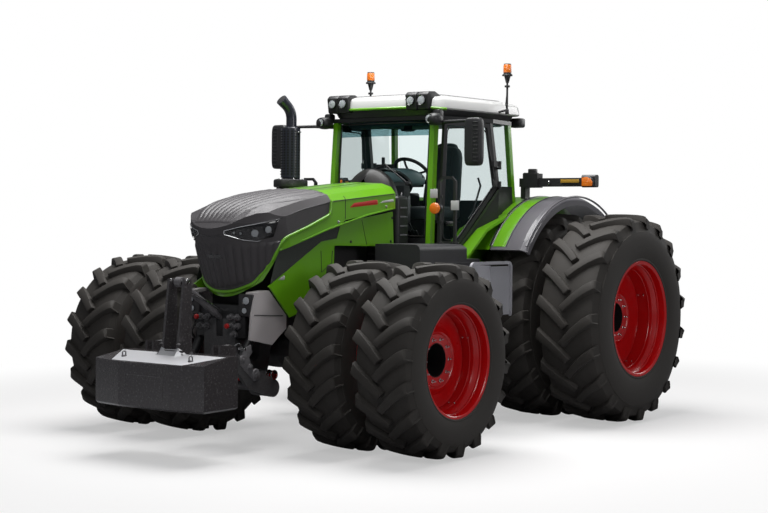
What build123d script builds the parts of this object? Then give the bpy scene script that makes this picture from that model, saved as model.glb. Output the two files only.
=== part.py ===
"""Large four-wheel-drive farm tractor on twin wheels, with a ballast block on its front linkage.

Millimetres. +X is forward, +Y is the driver's left, +Z is up. Everything is first placed from the rear
axle's line on the ground (x = 0, z = 0), and save() then moves it so that the origin lies in the middle
of the tractor's length, on the ground.
"""

import math
import os

from build123d import *

# ---------------------------------------------------------------- driving dimensions
WHEELBASE = 3300
WEIGHT_LENGTH = 500  # depth of the ballast block
WEIGHT_SETBACK = 130  # hitch pin to the rear face of the ballast block
LIFT_REACH = (580, 370)  # lower arms' pivot to the hitch pin, with the arms raised
LIFT_PIVOT = (WHEELBASE + 570, 560)  # x and z of the lower arms' pivot
FRONT_REACH = LIFT_PIVOT[0] + LIFT_REACH[0] + WEIGHT_SETBACK + WEIGHT_LENGTH  # rear axle to the front face
REAR_REACH = 1280  # rear axle to the tips of the rear lower links
SEAT_GAP = 0.3  # clearance where one piece seats on another
RUNNING_GAP = 6  # clearance between pieces that move past each other
MODEL_SHIFT = -(FRONT_REACH - REAR_REACH) / 2

# wheels: axle x, tyre radius, section width, tread width, centre of inner and outer wheel, rim, hub, lugs
# in a row and how far a lug's inner end leads its outer end
FRONT_WHEEL = dict(x=WHEELBASE, radius=856, section=600, tread=552, inner_y=1018, outer_y=1768,
                   rim=507, rim_width=540, hub=190, hub_face=832, lugs=18, lead=235)
REAR_WHEEL = dict(x=0, radius=1081, section=684, tread=640, inner_y=980, outer_y=1768,
                  rim=600, rim_width=640, hub=230, hub_face=660, lugs=19, lead=280)
LUG_HEIGHT = 50
LUG_FOOT = (112, 94)  # width of a lug's foot round the tyre, at its inner and outer end
LUG_HEAD = (85, 71)  # width of its head
SHOULDER_DROP = (92, 22)  # fall of the casing and of the lugs' heads at the shoulder
HEAD_INSET = 16  # shoulder to the outer end of a lug's head
BEAD_INSET = 12  # rim's flange to the tyre's bead
RIM_WALL = 14
RIM_LIP = 24  # height of the rim's flange over its bead seat
RIM_WELL = 62  # depth of the rim's well below its flange
DISC_WALL = 26
DISC_BORE = 150
DISC_BOLTS = 10
DISC_BOLT_R = 12
SHAFT_R = 80
SHAFT_DEPTH = 90

# front axle and steering
KINGPIN_Y = 600
KINGPIN_R = 40
KINGPIN_BOSS_R = 88
KINGPIN_HALF = 150  # half height of the axle's kingpin boss
KNUCKLE_ARM = 56
AXLE_BEAM_R = 120

# frame, engine and covers
FRAME_HALF = 190
FRAME_REAR = 1990
FRAME_TOP = 1180
FRAME_FRONT = WHEELBASE + 830
AXLE_PAD = 205  # axle's centre to the top of its rocking pad
TUNNEL_R = 95  # radius of the axle's drive tunnel
GEARBOX_HALF = 300
GEARBOX_OUTLINE = [(-330, 700), (-330, 1500), (250, 1560), (700, 1420), (FRAME_REAR, 1340), (FRAME_REAR, 720),
                   (900, 640), (0, 600)]
ENGINE_HALF = 290
ENGINE_REAR = 2330
ENGINE_FRONT = WHEELBASE + 340
ENGINE_TOP = 1990
PANEL_Y = 455  # outside of the lower engine panels
PANEL_WALL = 16
PANEL_OUTLINE = [(2110, 1821), (2130, 2160), (WHEELBASE - 350, 2050), (WHEELBASE - 286, 1901),
                 (WHEELBASE - 57, 1874), (WHEELBASE + 230, 1722), (WHEELBASE + 690, 1475),
                 (WHEELBASE + 660, 1462), (WHEELBASE + 390, 1190), (WHEELBASE, 1290), (WHEELBASE - 240, 1500),
                 (WHEELBASE - 250, 1835)]
COVER_Y = 425  # outside of the grey front cover
COVER_WALL = 18
COVER_MOUTH = 310  # half width of the opening under the bonnet's nose

# bonnet
BONNET_HALF = 500
BONNET_WALL = 18
BONNET_CUT_Z = 1200  # below the bonnet's lowest edge
BONNET_OVER_Z = 2700  # above its crown
BONNET_REAR = 2150
BONNET_NOSE = WHEELBASE + 1000
BONNET_HINGE = (2135, 2370)
BONNET_HINGE_Y = 300
HINGE_LUG = 24
BONNET_PIN_R = 12

# cab
CAB_WALL = 40
GLASS_WALL = 8
SCREEN_BOW = 60  # depth of the windscreen's curve
CAB_FLOOR_Z = 1780
CAB_FLOOR_WALL = 60
ROOF_Z = 3130  # underside of the roof
A_POST_FOOT = (1735, 1780)  # x and z of the front post's foot
A_POST_HEAD = (1655, ROOF_Z)
A_POST_Y = 655  # outer face of the front posts
B_POST_Y = 830
C_POST_Y = 770
B_POST_X = 900
C_POST_X = 450
DOOR_HINGE = (812, 862)  # x and y of the left door's hinge line

DOOR_FRONT = (1700, 690)  # x and y of the door plane's two ends
DOOR_REAR = (880, 838)
DOOR_CORNERS = [(960, 3080), (832, 2420), (1390, 1830), (1672, 1830), (1606, 3080)]
DOOR_WALL = 34
DOOR_RAIL = 42
DOOR_HINGE_R = 16
DOOR_PIN_R = 8
DOOR_HINGE_HEIGHTS = (2430, 2640)
RING_DEPTH = 40
RING_FRONT = 1700
RING_WIDTH = 75
B_POST_LINE = ((1370, 720, 1815), (795, 810, 2400), (920, 790, 3090))
C_POST_FOOT = (420, 770, 2281.6)
CAB_REAR = 360
CAB_FRONT = 1700
QUARTER_LOW = 2440
QUARTER_CORNERS = [(880, 3085), (765, QUARTER_LOW + SEAT_GAP), (472, QUARTER_LOW + SEAT_GAP), (520, 3085)]
ROOF_FRONT = 1840
ROOF_REAR = 200
ROOF_HALF = 800
SEAT_X = 900
BEACON_AT = (730, 890, 3714)
ROOF_LAMP_Y = 500
MIRROR_AT = (1865, 1230)
MIRROR_ARM_FOOT = (1660, 652.8, 3055)
MARKER_X = 300
MARKER_Z = 2490
RAIL_X = 1790
RAIL_IN_Y = 776
RAIL_OUT_Y = 990
RAIL_TOP = 2515
RAIL_BEND = 50
RAIL_WIDTH = 28

# rear mudguards
FENDER_RADIUS = 1262
FENDER_WALL = 22
FENDER_IN_Y = 560
FENDER_MID_Y = 900
FENDER_OUT_Y = 1330

FENDER_REAR_ANGLE = 138
FENDER_FRONT_ANGLE = 34
FENDER_TONGUE_ANGLE = 58
FENDER_TONGUE = (1440, 1730)

# tanks, steps, cowl, exhaust
TANK_IN_Y = 520
TANK_OUT_Y = 1050
TANK_REAR = 1470
TANK_FRONT = 2500
TANK_LOW = 1150
TANK_TOP = 1850
TANK_LOW_TOP = 1700
TANK_SCOOP_R = 1110
TANK_SHOULDER = 1700  # rear end of the tank's high outer part
TANK_SHOULDER_Y = 740
STEP_OUT_Y = 1290
STEP_REAR = 1640
STEP_FRONT = 1980
STEP_WALL = 16
STEP_DEPTH = 200
STEP_HEIGHTS = (540, 820, 1100, 1380)
COWL_FRONT = 2080
COWL_REAR = 1830
COWL_WALL = 24
COWL_FOOT_Z = 1860
COWL_LEG = 34
COWL_LEG_X = 1968
COWL_LEG_Z = 1240
EXHAUST_AT = (2360, -662)

# front linkage and ballast
TOP_PIVOT = (LIFT_PIVOT[0] + 190, LIFT_PIVOT[1] + 590)  # x and z of the top link's pivot on the frame
ARM_Y = 400  # middle of each lower arm
ARM_WALL = 44
LINK_PIN_R = 22
LIFT_SHAFT_R = 40
TOP_LINK_HALF = 34
CYLINDER_Y = 300
CYLINDER_R = 42
CYLINDER_PIN_R = 22
CYLINDER_TOP = (LIFT_PIVOT[0] + 130, LIFT_PIVOT[1] + 520)
CYLINDER_FOOT = (360, 180)  # from the lower arms' pivot
CYLINDER_EYE_R = 36
WEIGHT_HALF = 650
WEIGHT_PANEL_HALF = 308
WEIGHT_BOTTOM = 450
WEIGHT_TOP_FRONT = 838
WEIGHT_TOP_REAR = 905
TOWER_PLATE = 26
TOWER_GAP = 150

# rear linkage, a parallelogram of lower links, lift rods and lift arms
REAR_PIVOT = (-260, 620)
REAR_EYE_R = 25.5
REAR_EYE_WALL = 24
REAR_LINK = (REAR_EYE_R + REAR_EYE_WALL - REAR_REACH - REAR_PIVOT[0], -60)  # pivot to hitch eye, at rest
REAR_ARM_PIVOT = (-450, 1330)
REAR_LINK_Y = 430
REAR_ROD_SHARE = 0.5
REAR_LINK_WALL = 50
REAR_PIN_R = 19
REAR_ROD_WALL = 30
REAR_ARM_WALL = 40
REAR_SHAFT_R = 45
LIFT_HOUSING_HALF = 330
OPEN_PIN_GAP = 6
DRAWBAR_HALF = 60
DRAWBAR_WALL = 50
DRAWBAR_Z = 440
DRAWBAR_REACH = 950
DRAWBAR_PIN_R = 16.5
PTO_Z = 720
PTO_R = 22.2
ARM_EYE_R = 56
ARM_PIN_R = 25
EAR_WALL = 24


def save(builder, name):
    """Label the piece, move it to the model's frame and write its STEP file."""
    shape = builder.part.moved(Location((MODEL_SHIFT, 0, 0)))
    shape.label = name
    export_step(shape, f"parts/{name}.step")


def side_plane(y):
    """A sketch plane at this y whose axes are the model's X and Z."""
    return Plane(origin=(0, y, 0), x_dir=(1, 0, 0), z_dir=(0, -1, 0))


def across(half):
    """The side plane from which an extrusion of 2 * half towards -Y is symmetric."""
    return side_plane(half)


def both_sides():
    """Add the mirror image of everything made so far, across the middle plane."""
    mirror(about=Plane.XZ, mode=Mode.ADD)


# ---------------------------------------------------------------- wheels
def lug_row(wheel, middle, row):
    """Corners of one row of lugs and of the casing beside it.

    Each pitch is a dictionary of points. "in" and "out" are a lug's inner and outer end, "back" and
    "fore" its trailing and leading edge, "foot" and "head" its base and top.
    """
    top, half, pitch = wheel["radius"], wheel["tread"] / 2, 2 * math.pi / wheel["lugs"]
    start = math.pi - (wheel["lead"] + LUG_HEAD[0] / 2) / top + (0 if row > 0 else pitch / 2)
    bead = (wheel["rim"] - RIM_LIP + SEAT_GAP) / math.cos(pitch / 2)
    rims = {"wall": (0, wheel["section"] / 2, (bead + top) / 2),
            "bead": (0, wheel["rim_width"] / 2 - RIM_WALL - BEAD_INSET, bead)}
    for edge, way in (("back", -0.5), ("fore", 0.5)):
        rims[f"in foot {edge}"] = (wheel["lead"] + way * LUG_FOOT[0], 0, top - LUG_HEIGHT)
        rims[f"in head {edge}"] = (wheel["lead"] + way * LUG_HEAD[0], 0, top)
        rims[f"out foot {edge}"] = (way * LUG_FOOT[1], half, top - SHOULDER_DROP[0])
        rims[f"out head {edge}"] = (way * LUG_HEAD[1], half - HEAD_INSET, top - SHOULDER_DROP[1])
    pitches = []
    for index in range(wheel["lugs"]):
        pitches.append({})
        for name, (arc, across, out) in rims.items():
            angle = start + index * pitch + arc / top
            pitches[-1][name] = (wheel["x"] + out * math.sin(angle), middle + row * across,
                                 top + out * math.cos(angle))
    return pitches


def tyre_faces(wheel, middle):
    """Flat faces that close one tyre: both staggered rows of lugs, the casing and its bore."""
    rows = {row: lug_row(wheel, middle, row) for row in (1, -1)}
    count = wheel["lugs"]
    faces = []
    for row in (1, -1):
        for index, here in enumerate(rows[row]):
            ahead = rows[row][(index + 1) % count]
            between = rows[-row][index if row > 0 else (index + 1) % count]
            for edge in ("back", "fore"):
                inner, outer = here[f"in foot {edge}"], here[f"out foot {edge}"]
                faces += [(inner, outer, here[f"out head {edge}"]),
                          (inner, here[f"out head {edge}"], here[f"in head {edge}"])]
            for end in ("in", "out"):
                faces += [(here[f"{end} foot back"], here[f"{end} foot fore"], here[f"{end} head fore"]),
                          (here[f"{end} foot back"], here[f"{end} head fore"], here[f"{end} head back"])]
            faces += [(here["in head back"], here["in head fore"], here["out head fore"]),
                      (here["in head back"], here["out head fore"], here["out head back"]),
                      (here["out foot fore"], here["in foot fore"], between["in foot back"]),
                      (here["out foot fore"], between["in foot back"], between["in foot fore"]),
                      (here["out foot fore"], between["in foot fore"], ahead["out foot back"]),
                      (ahead["out foot back"], between["in foot fore"], ahead["in foot back"]),
                      (here["out foot back"], here["out foot fore"], here["wall"]),
                      (here["out foot fore"], here["wall"], ahead["wall"]),
                      (here["out foot fore"], ahead["out foot back"], ahead["wall"]),
                      (here["wall"], ahead["wall"], ahead["bead"], here["bead"])]
            faces.append((here["bead"], ahead["bead"], between["bead"]))
    return faces


def make_tyres(wheel, side, name):
    """The inner and outer tyre of one twin wheel, each a closed skin of flat faces."""
    with BuildPart() as tyres:
        for y in (wheel["inner_y"], wheel["outer_y"]):
            skin = [Face(Wire.make_polygon(corners, close=True)) for corners in tyre_faces(wheel, side * y)]
            add(Solid(Shell(skin)))
    save(tyres, name)


def rim_profile(wheel):
    """Outline of one rim's barrel, as axial position and radius."""
    half, lip = wheel["rim_width"] / 2, wheel["rim"]
    seat, well = lip - RIM_LIP, lip - RIM_WELL
    ledge = half - RIM_WALL - 12 - 70
    outer = [(-half, lip), (-half + RIM_WALL, lip), (-half + RIM_WALL, seat), (-ledge, seat),
             (-ledge + 40, well), (ledge - 40, well), (ledge, seat), (half - RIM_WALL, seat),
             (half - RIM_WALL, lip), (half, lip)]
    inner = [(half, seat - RIM_WALL), (ledge - 8, seat - RIM_WALL), (ledge - 48, well - RIM_WALL),
             (-ledge + 48, well - RIM_WALL), (-ledge + 8, seat - RIM_WALL), (-half, seat - RIM_WALL)]
    return outer + inner


def make_rims(wheel, side, name):
    """Both rims of one twin wheel with their discs, the drum between them and the hub."""
    axis = Axis((wheel["x"], 0, wheel["radius"]), (0, 1, 0))
    centre_z, barrel = wheel["radius"], wheel["rim"] - RIM_WELL - RIM_WALL
    with BuildPart() as rims:
        for y in (wheel["inner_y"], wheel["outer_y"]):
            with BuildSketch(Plane(origin=(wheel["x"], side * y, centre_z), x_dir=(0, 1, 0),
                                   z_dir=(1, 0, 0))):
                Polygon(*rim_profile(wheel), align=None)
                with Locations((0, (DISC_BORE + barrel) / 2)):
                    Rectangle(DISC_WALL, barrel - DISC_BORE + 4)
            revolve(axis=axis)
        drum = Plane(origin=(wheel["x"], side * wheel["inner_y"], centre_z), z_dir=(0, side, 0))
        drum_length = wheel["outer_y"] - wheel["inner_y"] - DISC_WALL
        with BuildSketch(drum.offset(DISC_WALL / 2)):
            Circle(DISC_BORE + 80)
            Circle(DISC_BORE + 55, mode=Mode.SUBTRACT)
        extrude(amount=drum_length)
        with BuildSketch(drum.offset(-DISC_WALL / 2)):
            Circle(wheel["hub"])
        extrude(amount=-(wheel["inner_y"] - DISC_WALL / 2 - wheel["hub_face"]))
        with BuildSketch(drum.offset(-DISC_WALL / 2)):
            Circle(DISC_BORE + 4)
        extrude(amount=DISC_WALL + 40)
        hub_plane = Plane(origin=(wheel["x"], side * wheel["hub_face"], centre_z), z_dir=(0, side, 0))
        with BuildSketch(hub_plane):
            Circle(SHAFT_R + SEAT_GAP)
        extrude(amount=SHAFT_DEPTH + RUNNING_GAP, mode=Mode.SUBTRACT)
        outer_disc = Plane(origin=(wheel["x"], side * (wheel["outer_y"] + DISC_WALL / 2), centre_z),
                           z_dir=(0, side, 0))
        with BuildSketch(outer_disc):
            with PolarLocations(DISC_BORE + 38, DISC_BOLTS):
                RegularPolygon(DISC_BOLT_R * 1.5, 6)
        extrude(amount=14)
    save(rims, name)


# ---------------------------------------------------------------- axles
def make_rear_axle():
    """Trumpet housings from the gearbox out to the hubs, with the driven shafts' ends."""
    wheel = REAR_WHEEL
    face = wheel["hub_face"] - RUNNING_GAP
    with BuildPart() as axle:
        with BuildSketch(Plane(origin=(0, 0, wheel["radius"]), x_dir=(0, 1, 0), z_dir=(1, 0, 0))):
            Polygon((300, 0), (300, 235), (430, 205), (face - 60, 205), (face - 60, 235), (face, 235),
                    (face, SHAFT_R), (wheel["hub_face"] + SHAFT_DEPTH, SHAFT_R),
                    (wheel["hub_face"] + SHAFT_DEPTH, 0), align=None)
        revolve(axis=Axis((0, 0, wheel["radius"]), (0, 1, 0)))
        both_sides()
    save(axle, "rear_axle")


def make_front_axle():
    """The suspended beam with its differential, drive tunnel and kingpin bosses."""
    x, z = WHEELBASE, FRONT_WHEEL["radius"]
    with BuildPart() as axle:
        with BuildSketch(Plane(origin=(x, 0, z), x_dir=(0, 1, 0), z_dir=(1, 0, 0))):
            Polygon((0, 0), (0, 175), (110, 170), (210, AXLE_BEAM_R), (KINGPIN_Y - 60, AXLE_BEAM_R - 20),
                    (KINGPIN_Y - 60, 0), align=None)
        revolve(axis=Axis((x, 0, z), (0, 1, 0)))
        with BuildSketch(Plane.XY.offset(z - KINGPIN_HALF)):
            with Locations((x, KINGPIN_Y)):
                Circle(KINGPIN_BOSS_R)
        extrude(amount=2 * KINGPIN_HALF)
        with BuildSketch(Plane.XY.offset(z - KINGPIN_HALF)):
            with Locations((x, KINGPIN_Y)):
                Circle(KINGPIN_R + SEAT_GAP)
        extrude(amount=2 * KINGPIN_HALF, mode=Mode.SUBTRACT)
        both_sides()
        with BuildSketch(Plane(origin=(x - 150, 0, z), z_dir=(-1, 0, 0))):
            Circle(TUNNEL_R)
        extrude(amount=640)
        with BuildSketch(side_plane(70)):
            Polygon((x - 120, z + 100), (x + 120, z + 100), (x + 80, z + AXLE_PAD),
                    (x - 80, z + AXLE_PAD), align=None)
        extrude(amount=140)
    save(axle, "front_axle")


def make_knuckle(side, name):
    """A steering knuckle: two arms round the kingpin boss, the carrier and the wheel shaft."""
    x, z = WHEELBASE, FRONT_WHEEL["radius"]
    hub_face = FRONT_WHEEL["hub_face"]
    arm_z = KINGPIN_HALF + RUNNING_GAP
    web_y = KINGPIN_Y + KINGPIN_BOSS_R + RUNNING_GAP
    carrier = hub_face - RUNNING_GAP - web_y
    with BuildPart() as knuckle:
        for up in (1, -1):
            with BuildSketch(Plane.XY.offset(z + up * arm_z)):
                with Locations((x, side * KINGPIN_Y)):
                    Circle(KINGPIN_BOSS_R - 8)
                with Locations((x, side * (KINGPIN_Y + web_y + 60) / 2)):
                    Rectangle(2 * KINGPIN_BOSS_R - 16, web_y + 60 - KINGPIN_Y)
            extrude(amount=up * KNUCKLE_ARM)
            with BuildSketch(Plane.XY.offset(z + up * arm_z)):
                with Locations((x, side * KINGPIN_Y)):
                    Circle(KINGPIN_R)
            extrude(amount=-up * 70)
        with BuildSketch(Plane(origin=(x, side * web_y, z), z_dir=(0, side, 0))):
            Circle(arm_z + KNUCKLE_ARM - 20)
        extrude(amount=carrier)
        with BuildSketch(Plane(origin=(x, side * (web_y + carrier), z), z_dir=(0, side, 0))):
            Circle(SHAFT_R)
        extrude(amount=RUNNING_GAP + SHAFT_DEPTH)
    save(knuckle, name)


# ---------------------------------------------------------------- frame, engine, gearbox
def make_front_frame():
    """The narrow cast half-frame that carries the engine, the front axle and the front linkage."""
    x, axle_z = WHEELBASE, FRONT_WHEEL["radius"]
    axle_top = axle_z + AXLE_PAD + SEAT_GAP
    belly = axle_z + TUNNEL_R + 9
    with BuildPart() as frame:
        with BuildSketch(across(FRAME_HALF)):
            Polygon((FRAME_REAR + SEAT_GAP, 1000), (FRAME_REAR + SEAT_GAP, FRAME_TOP),
                    (FRAME_FRONT, FRAME_TOP),
                    (FRAME_FRONT, LIFT_PIVOT[1] + 200), (x + 680, LIFT_PIVOT[1] + 80),
                    (x + 400, LIFT_PIVOT[1] + 80), (x + 320, belly + 40), (x + 80, axle_top),
                    (x - 80, axle_top), (x - 400, belly), (FRAME_REAR + 310, belly), align=None)
        extrude(amount=2 * FRAME_HALF)
        with BuildSketch(across(FRAME_HALF)):
            with Locations((LIFT_PIVOT[0], LIFT_PIVOT[1] + 370)):
                SlotOverall(260, 150, rotation=90)
        extrude(amount=2 * FRAME_HALF, mode=Mode.SUBTRACT)
        boss_end = ARM_Y - ARM_WALL / 2 - RUNNING_GAP
        for y in (boss_end, -FRAME_HALF):
            with BuildSketch(side_plane(y)):
                with Locations(LIFT_PIVOT):
                    Circle(LIFT_SHAFT_R + 38)
                with Locations((LIFT_PIVOT[0], LIFT_PIVOT[1] + 80)):
                    Rectangle(150, 140)
            extrude(amount=boss_end - FRAME_HALF)
        with BuildSketch(across(boss_end)):
            with Locations(LIFT_PIVOT):
                Circle(LIFT_SHAFT_R + SEAT_GAP)
        extrude(amount=2 * boss_end, mode=Mode.SUBTRACT)
        with BuildSketch(across(CYLINDER_Y + CYLINDER_R)):
            with Locations(CYLINDER_TOP):
                Circle(CYLINDER_PIN_R)
        extrude(amount=2 * (CYLINDER_Y + CYLINDER_R))
        with BuildSketch(across(TOP_LINK_HALF + RUNNING_GAP + TOWER_PLATE)):
            with Locations(TOP_PIVOT):
                Circle(50)
            with Locations((TOP_PIVOT[0], TOP_PIVOT[1] + 10)):
                Rectangle(100, 80)
        extrude(amount=2 * (TOP_LINK_HALF + RUNNING_GAP + TOWER_PLATE))
        with BuildSketch(across(TOP_LINK_HALF + RUNNING_GAP)):
            with Locations((TOP_PIVOT[0] + 40, TOP_PIVOT[1])):
                Rectangle(220, 260)
        extrude(amount=2 * (TOP_LINK_HALF + RUNNING_GAP), mode=Mode.SUBTRACT)
        with BuildSketch(across(TOP_LINK_HALF + RUNNING_GAP + TOWER_PLATE)):
            with Locations(TOP_PIVOT):
                Circle(LINK_PIN_R)
        extrude(amount=2 * (TOP_LINK_HALF + RUNNING_GAP + TOWER_PLATE))
    save(frame, "front_frame")


def make_engine_block():
    """The engine as one block, with its sump below and cylinder head on top."""
    with BuildPart() as engine:
        with BuildSketch(across(ENGINE_HALF)):
            Polygon((ENGINE_REAR, FRAME_TOP + SEAT_GAP), (ENGINE_FRONT, FRAME_TOP + SEAT_GAP),
                    (ENGINE_FRONT, ENGINE_TOP - 150), (ENGINE_FRONT - 140, ENGINE_TOP),
                    (ENGINE_REAR + 70, ENGINE_TOP), (ENGINE_REAR, ENGINE_TOP - 90), align=None)
        extrude(amount=2 * ENGINE_HALF)
    save(engine, "engine_block")


def make_transmission():
    """The gearbox and rear axle centre housing in one casting."""
    with BuildPart() as gearbox:
        with BuildSketch(across(GEARBOX_HALF - SEAT_GAP)):
            Polygon(*GEARBOX_OUTLINE, align=None)
        extrude(amount=2 * (GEARBOX_HALF - SEAT_GAP))
    save(gearbox, "transmission_housing")


def make_engine_panels():
    """The two fixed green panels beside the engine, below the bonnet."""
    with BuildPart() as panels:
        with BuildSketch(side_plane(PANEL_Y)):
            Polygon(*PANEL_OUTLINE, align=None)
        extrude(amount=PANEL_WALL)
        for x, z in ((ENGINE_REAR + 170, 1890), (ENGINE_FRONT - 80, 1560)):
            with BuildSketch(side_plane(PANEL_Y - PANEL_WALL)):
                with Locations((x, z)):
                    Rectangle(60, 120)
            extrude(amount=PANEL_Y - PANEL_WALL - ENGINE_HALF - SEAT_GAP)
        both_sides()
    save(panels, "engine_panels")


def make_front_cover():
    """The grey box round the front end of the frame, open in front for the linkage."""
    rear = WHEELBASE + 405
    top, front = rear + 240, rear + 495
    outline = [(rear, 1205), (top, 1440), (front - 75, 1425), (front - 20, 1231), (front, 1010),
               (rear + 195, 950), (rear, 1090)]
    with BuildPart() as cover:
        with BuildSketch(across(COVER_Y)):
            Polygon(*outline, align=None)
        extrude(amount=2 * COVER_Y)
        with BuildSketch(across(COVER_Y - COVER_WALL)):
            Polygon((rear - 15, 900), (rear - 15, 1186), (rear + 20, 1194), (top + 8, 1414),
                    (front - 90, 1401), (front + 5, 1290), (front + 5, 900), align=None)
        extrude(amount=2 * (COVER_Y - COVER_WALL), mode=Mode.SUBTRACT)
        with BuildSketch(across(75)):
            Polygon((front - 250, 1100), (front - 250, 1450), (front + 10, 1450), (front + 10, 1100),
                    align=None)
        extrude(amount=150, mode=Mode.SUBTRACT)
        with BuildSketch(across(COVER_MOUTH)):
            Polygon((top - 60, 1300), (top - 60, 1500), (front + 10, 1500), (front + 10, 1300), align=None)
        extrude(amount=2 * COVER_MOUTH, mode=Mode.SUBTRACT)
        for y in (COVER_Y - COVER_WALL + 2, -FRAME_HALF - SEAT_GAP):
            with BuildSketch(side_plane(y)):
                with Locations((rear + 55, FRAME_TOP - 60), (rear + 155, FRAME_TOP - 60)):
                    Rectangle(60, 60)
            extrude(amount=COVER_Y - COVER_WALL + 2 - FRAME_HALF - SEAT_GAP)
    save(cover, "front_cover")


# ---------------------------------------------------------------- bonnet
def bonnet_solid(inset):
    """The bonnet's outer form, drawn in by inset on every side: long sections meet a rounded plan."""
    # x of the section, its crown's height and its crease's height
    x_axle = WHEELBASE
    sections = [(BONNET_REAR, 2455, 2343), (x_axle - 150, 2362, 2252), (x_axle + 250, 2312, 2169),
                (x_axle + 570, 2243, 2090), (x_axle + 780, 2170, 2041), (x_axle + 910, 2070, 2008),
                (x_axle + 1010, 1960, 1955)]
    half = BONNET_HALF - inset
    with BuildPart() as body:
        for x, crown, crease in sections:
            crown, crease = crown - inset, crease - inset
            with BuildSketch(Plane(origin=(x, 0, 0), x_dir=(0, 1, 0), z_dir=(1, 0, 0))):
                shoulder, slope = crown - (crown - crease) * 0.12, crown - (crown - crease) * 0.45
                right = [(half, BONNET_CUT_Z), (half, crease), (half * 0.9, slope), (half * 0.66, shoulder)]
                left = [(-y, z) for y, z in reversed(right)]
                Polygon(*right, (0, crown), *left, align=None)
        loft(ruled=True)
    with BuildPart() as plan:
        for z, shift in ((BONNET_CUT_Z, -285), (2040, 0), (BONNET_OVER_Z, 0)):
            nose = BONNET_NOSE + shift - inset
            corner, flank = BONNET_NOSE - 285 + shift - inset * 0.7, BONNET_NOSE - 600 + shift
            cheek = nose - 115
            with BuildSketch(Plane.XY.offset(z)):
                with BuildLine():
                    Line((BONNET_REAR - 150, -half), (BONNET_REAR - 150, half))
                    Line((BONNET_REAR - 150, half), (flank, half))
                    ThreePointArc((flank, half), (corner, half * 0.88), (cheek, half * 0.62))
                    ThreePointArc((cheek, half * 0.62), (nose, 0), (cheek, -half * 0.62))
                    ThreePointArc((cheek, -half * 0.62), (corner, -half * 0.88), (flank, -half))
                    Line((flank, -half), (BONNET_REAR - 150, -half))
                make_face()
        loft(ruled=True)
    with BuildPart() as whole:
        add(body.part)
        add(plan.part, mode=Mode.INTERSECT)
    return whole


# x ahead of the front axle and z: the green shell's lower edge, then the dark nose's rear and lower edge
GREEN_LOWER = [(-360, 2075), (-300, 2046), (560, 1795), (660, 1525), (730, 1450), (790, 1347)]
GRILLE_REAR = [(-140, 2250), (-120, 2123), (510, 1911), (565, 1850), (685, 1545), (750, 1470), (790, 1419)]
BONNET_REAR_LOW = 2190  # lower edge of the bonnet's rear end


def nose_cut(edge, start):
    """Outline of what lies above an edge and ahead of a start line, past the nose and over the crown."""
    beyond = BONNET_NOSE + 150
    line = [(WHEELBASE + x, z) for x, z in edge]
    Polygon((start, BONNET_OVER_Z), *line, (beyond, line[-1][1]), (beyond, BONNET_OVER_Z), align=None)


def make_bonnet():
    """The bonnet's green shell and, in front of it, the dark nose with its mesh panels."""
    outer, inner = bonnet_solid(0), bonnet_solid(BONNET_WALL)
    with BuildPart() as shell:
        add(outer.part)
        add(inner.part, mode=Mode.SUBTRACT)
        with BuildSketch(across(600)):
            nose_cut([(BONNET_REAR - WHEELBASE, BONNET_REAR_LOW), *GREEN_LOWER], BONNET_REAR)
        extrude(amount=1200, mode=Mode.INTERSECT)
        with BuildSketch(across(600)):
            nose_cut(GRILLE_REAR, WHEELBASE + GRILLE_REAR[0][0])
        extrude(amount=1200, mode=Mode.SUBTRACT)
        for y in (BONNET_HINGE_Y + HINGE_LUG + RUNNING_GAP, -BONNET_HINGE_Y - RUNNING_GAP):
            with BuildSketch(side_plane(y)):
                with Locations(BONNET_HINGE):
                    Circle(BONNET_PIN_R + 12)
                Polygon((BONNET_HINGE[0], BONNET_HINGE[1] - 24), (BONNET_HINGE[0] + 10, BONNET_HINGE[1] + 24),
                        (BONNET_REAR + 20, 2412), (BONNET_REAR + 180, 2404), align=None)
                with Locations(BONNET_HINGE):
                    Circle(BONNET_PIN_R + SEAT_GAP, mode=Mode.SUBTRACT)
            extrude(amount=HINGE_LUG)
    save(shell, "bonnet_shell")
    with BuildPart() as grille:
        add(outer.part)
        add(inner.part, mode=Mode.SUBTRACT)
        with BuildSketch(across(600)):
            nose_cut(GRILLE_REAR, WHEELBASE + GRILLE_REAR[0][0])
        extrude(amount=1200, mode=Mode.INTERSECT)
    save(grille, "bonnet_grille")


# ---------------------------------------------------------------- cowl, exhaust, tanks, steps
def section_plane(x):
    """A plane across the tractor at this x, whose axes are the model's Y and Z."""
    return Plane(origin=(x, 0, 0), x_dir=(0, 1, 0), z_dir=(1, 0, 0))


# the cowl's sections: x, half width at the foot, then half width and height of the crease and the shoulder,
# and height of the crown
COWL_SECTIONS = [(COWL_FRONT, 490, 490, 2340, 350, 2437, 2450), (COWL_REAR, 365, 312, 2350, 205, 2510, 2600)]


def cowl_form(inset, overrun):
    """The cowl's outer form drawn in by inset, run past both of its ends by overrun."""
    with BuildPart(mode=Mode.PRIVATE) as form:
        for (x, foot, crease, crease_z, shoulder, shoulder_z, crown), way in zip(COWL_SECTIONS, (1, -1)):
            with BuildSketch(section_plane(x + way * overrun)):
                right = [(foot - inset, COWL_FOOT_Z - overrun), (crease - inset, crease_z - inset / 2),
                         (shoulder - inset / 2, shoulder_z - inset)]
                left = [(-y, z) for y, z in reversed(right)]
                Polygon(*right, (0, crown - inset), *left, align=None)
        loft(ruled=True)
    return form.part


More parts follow.
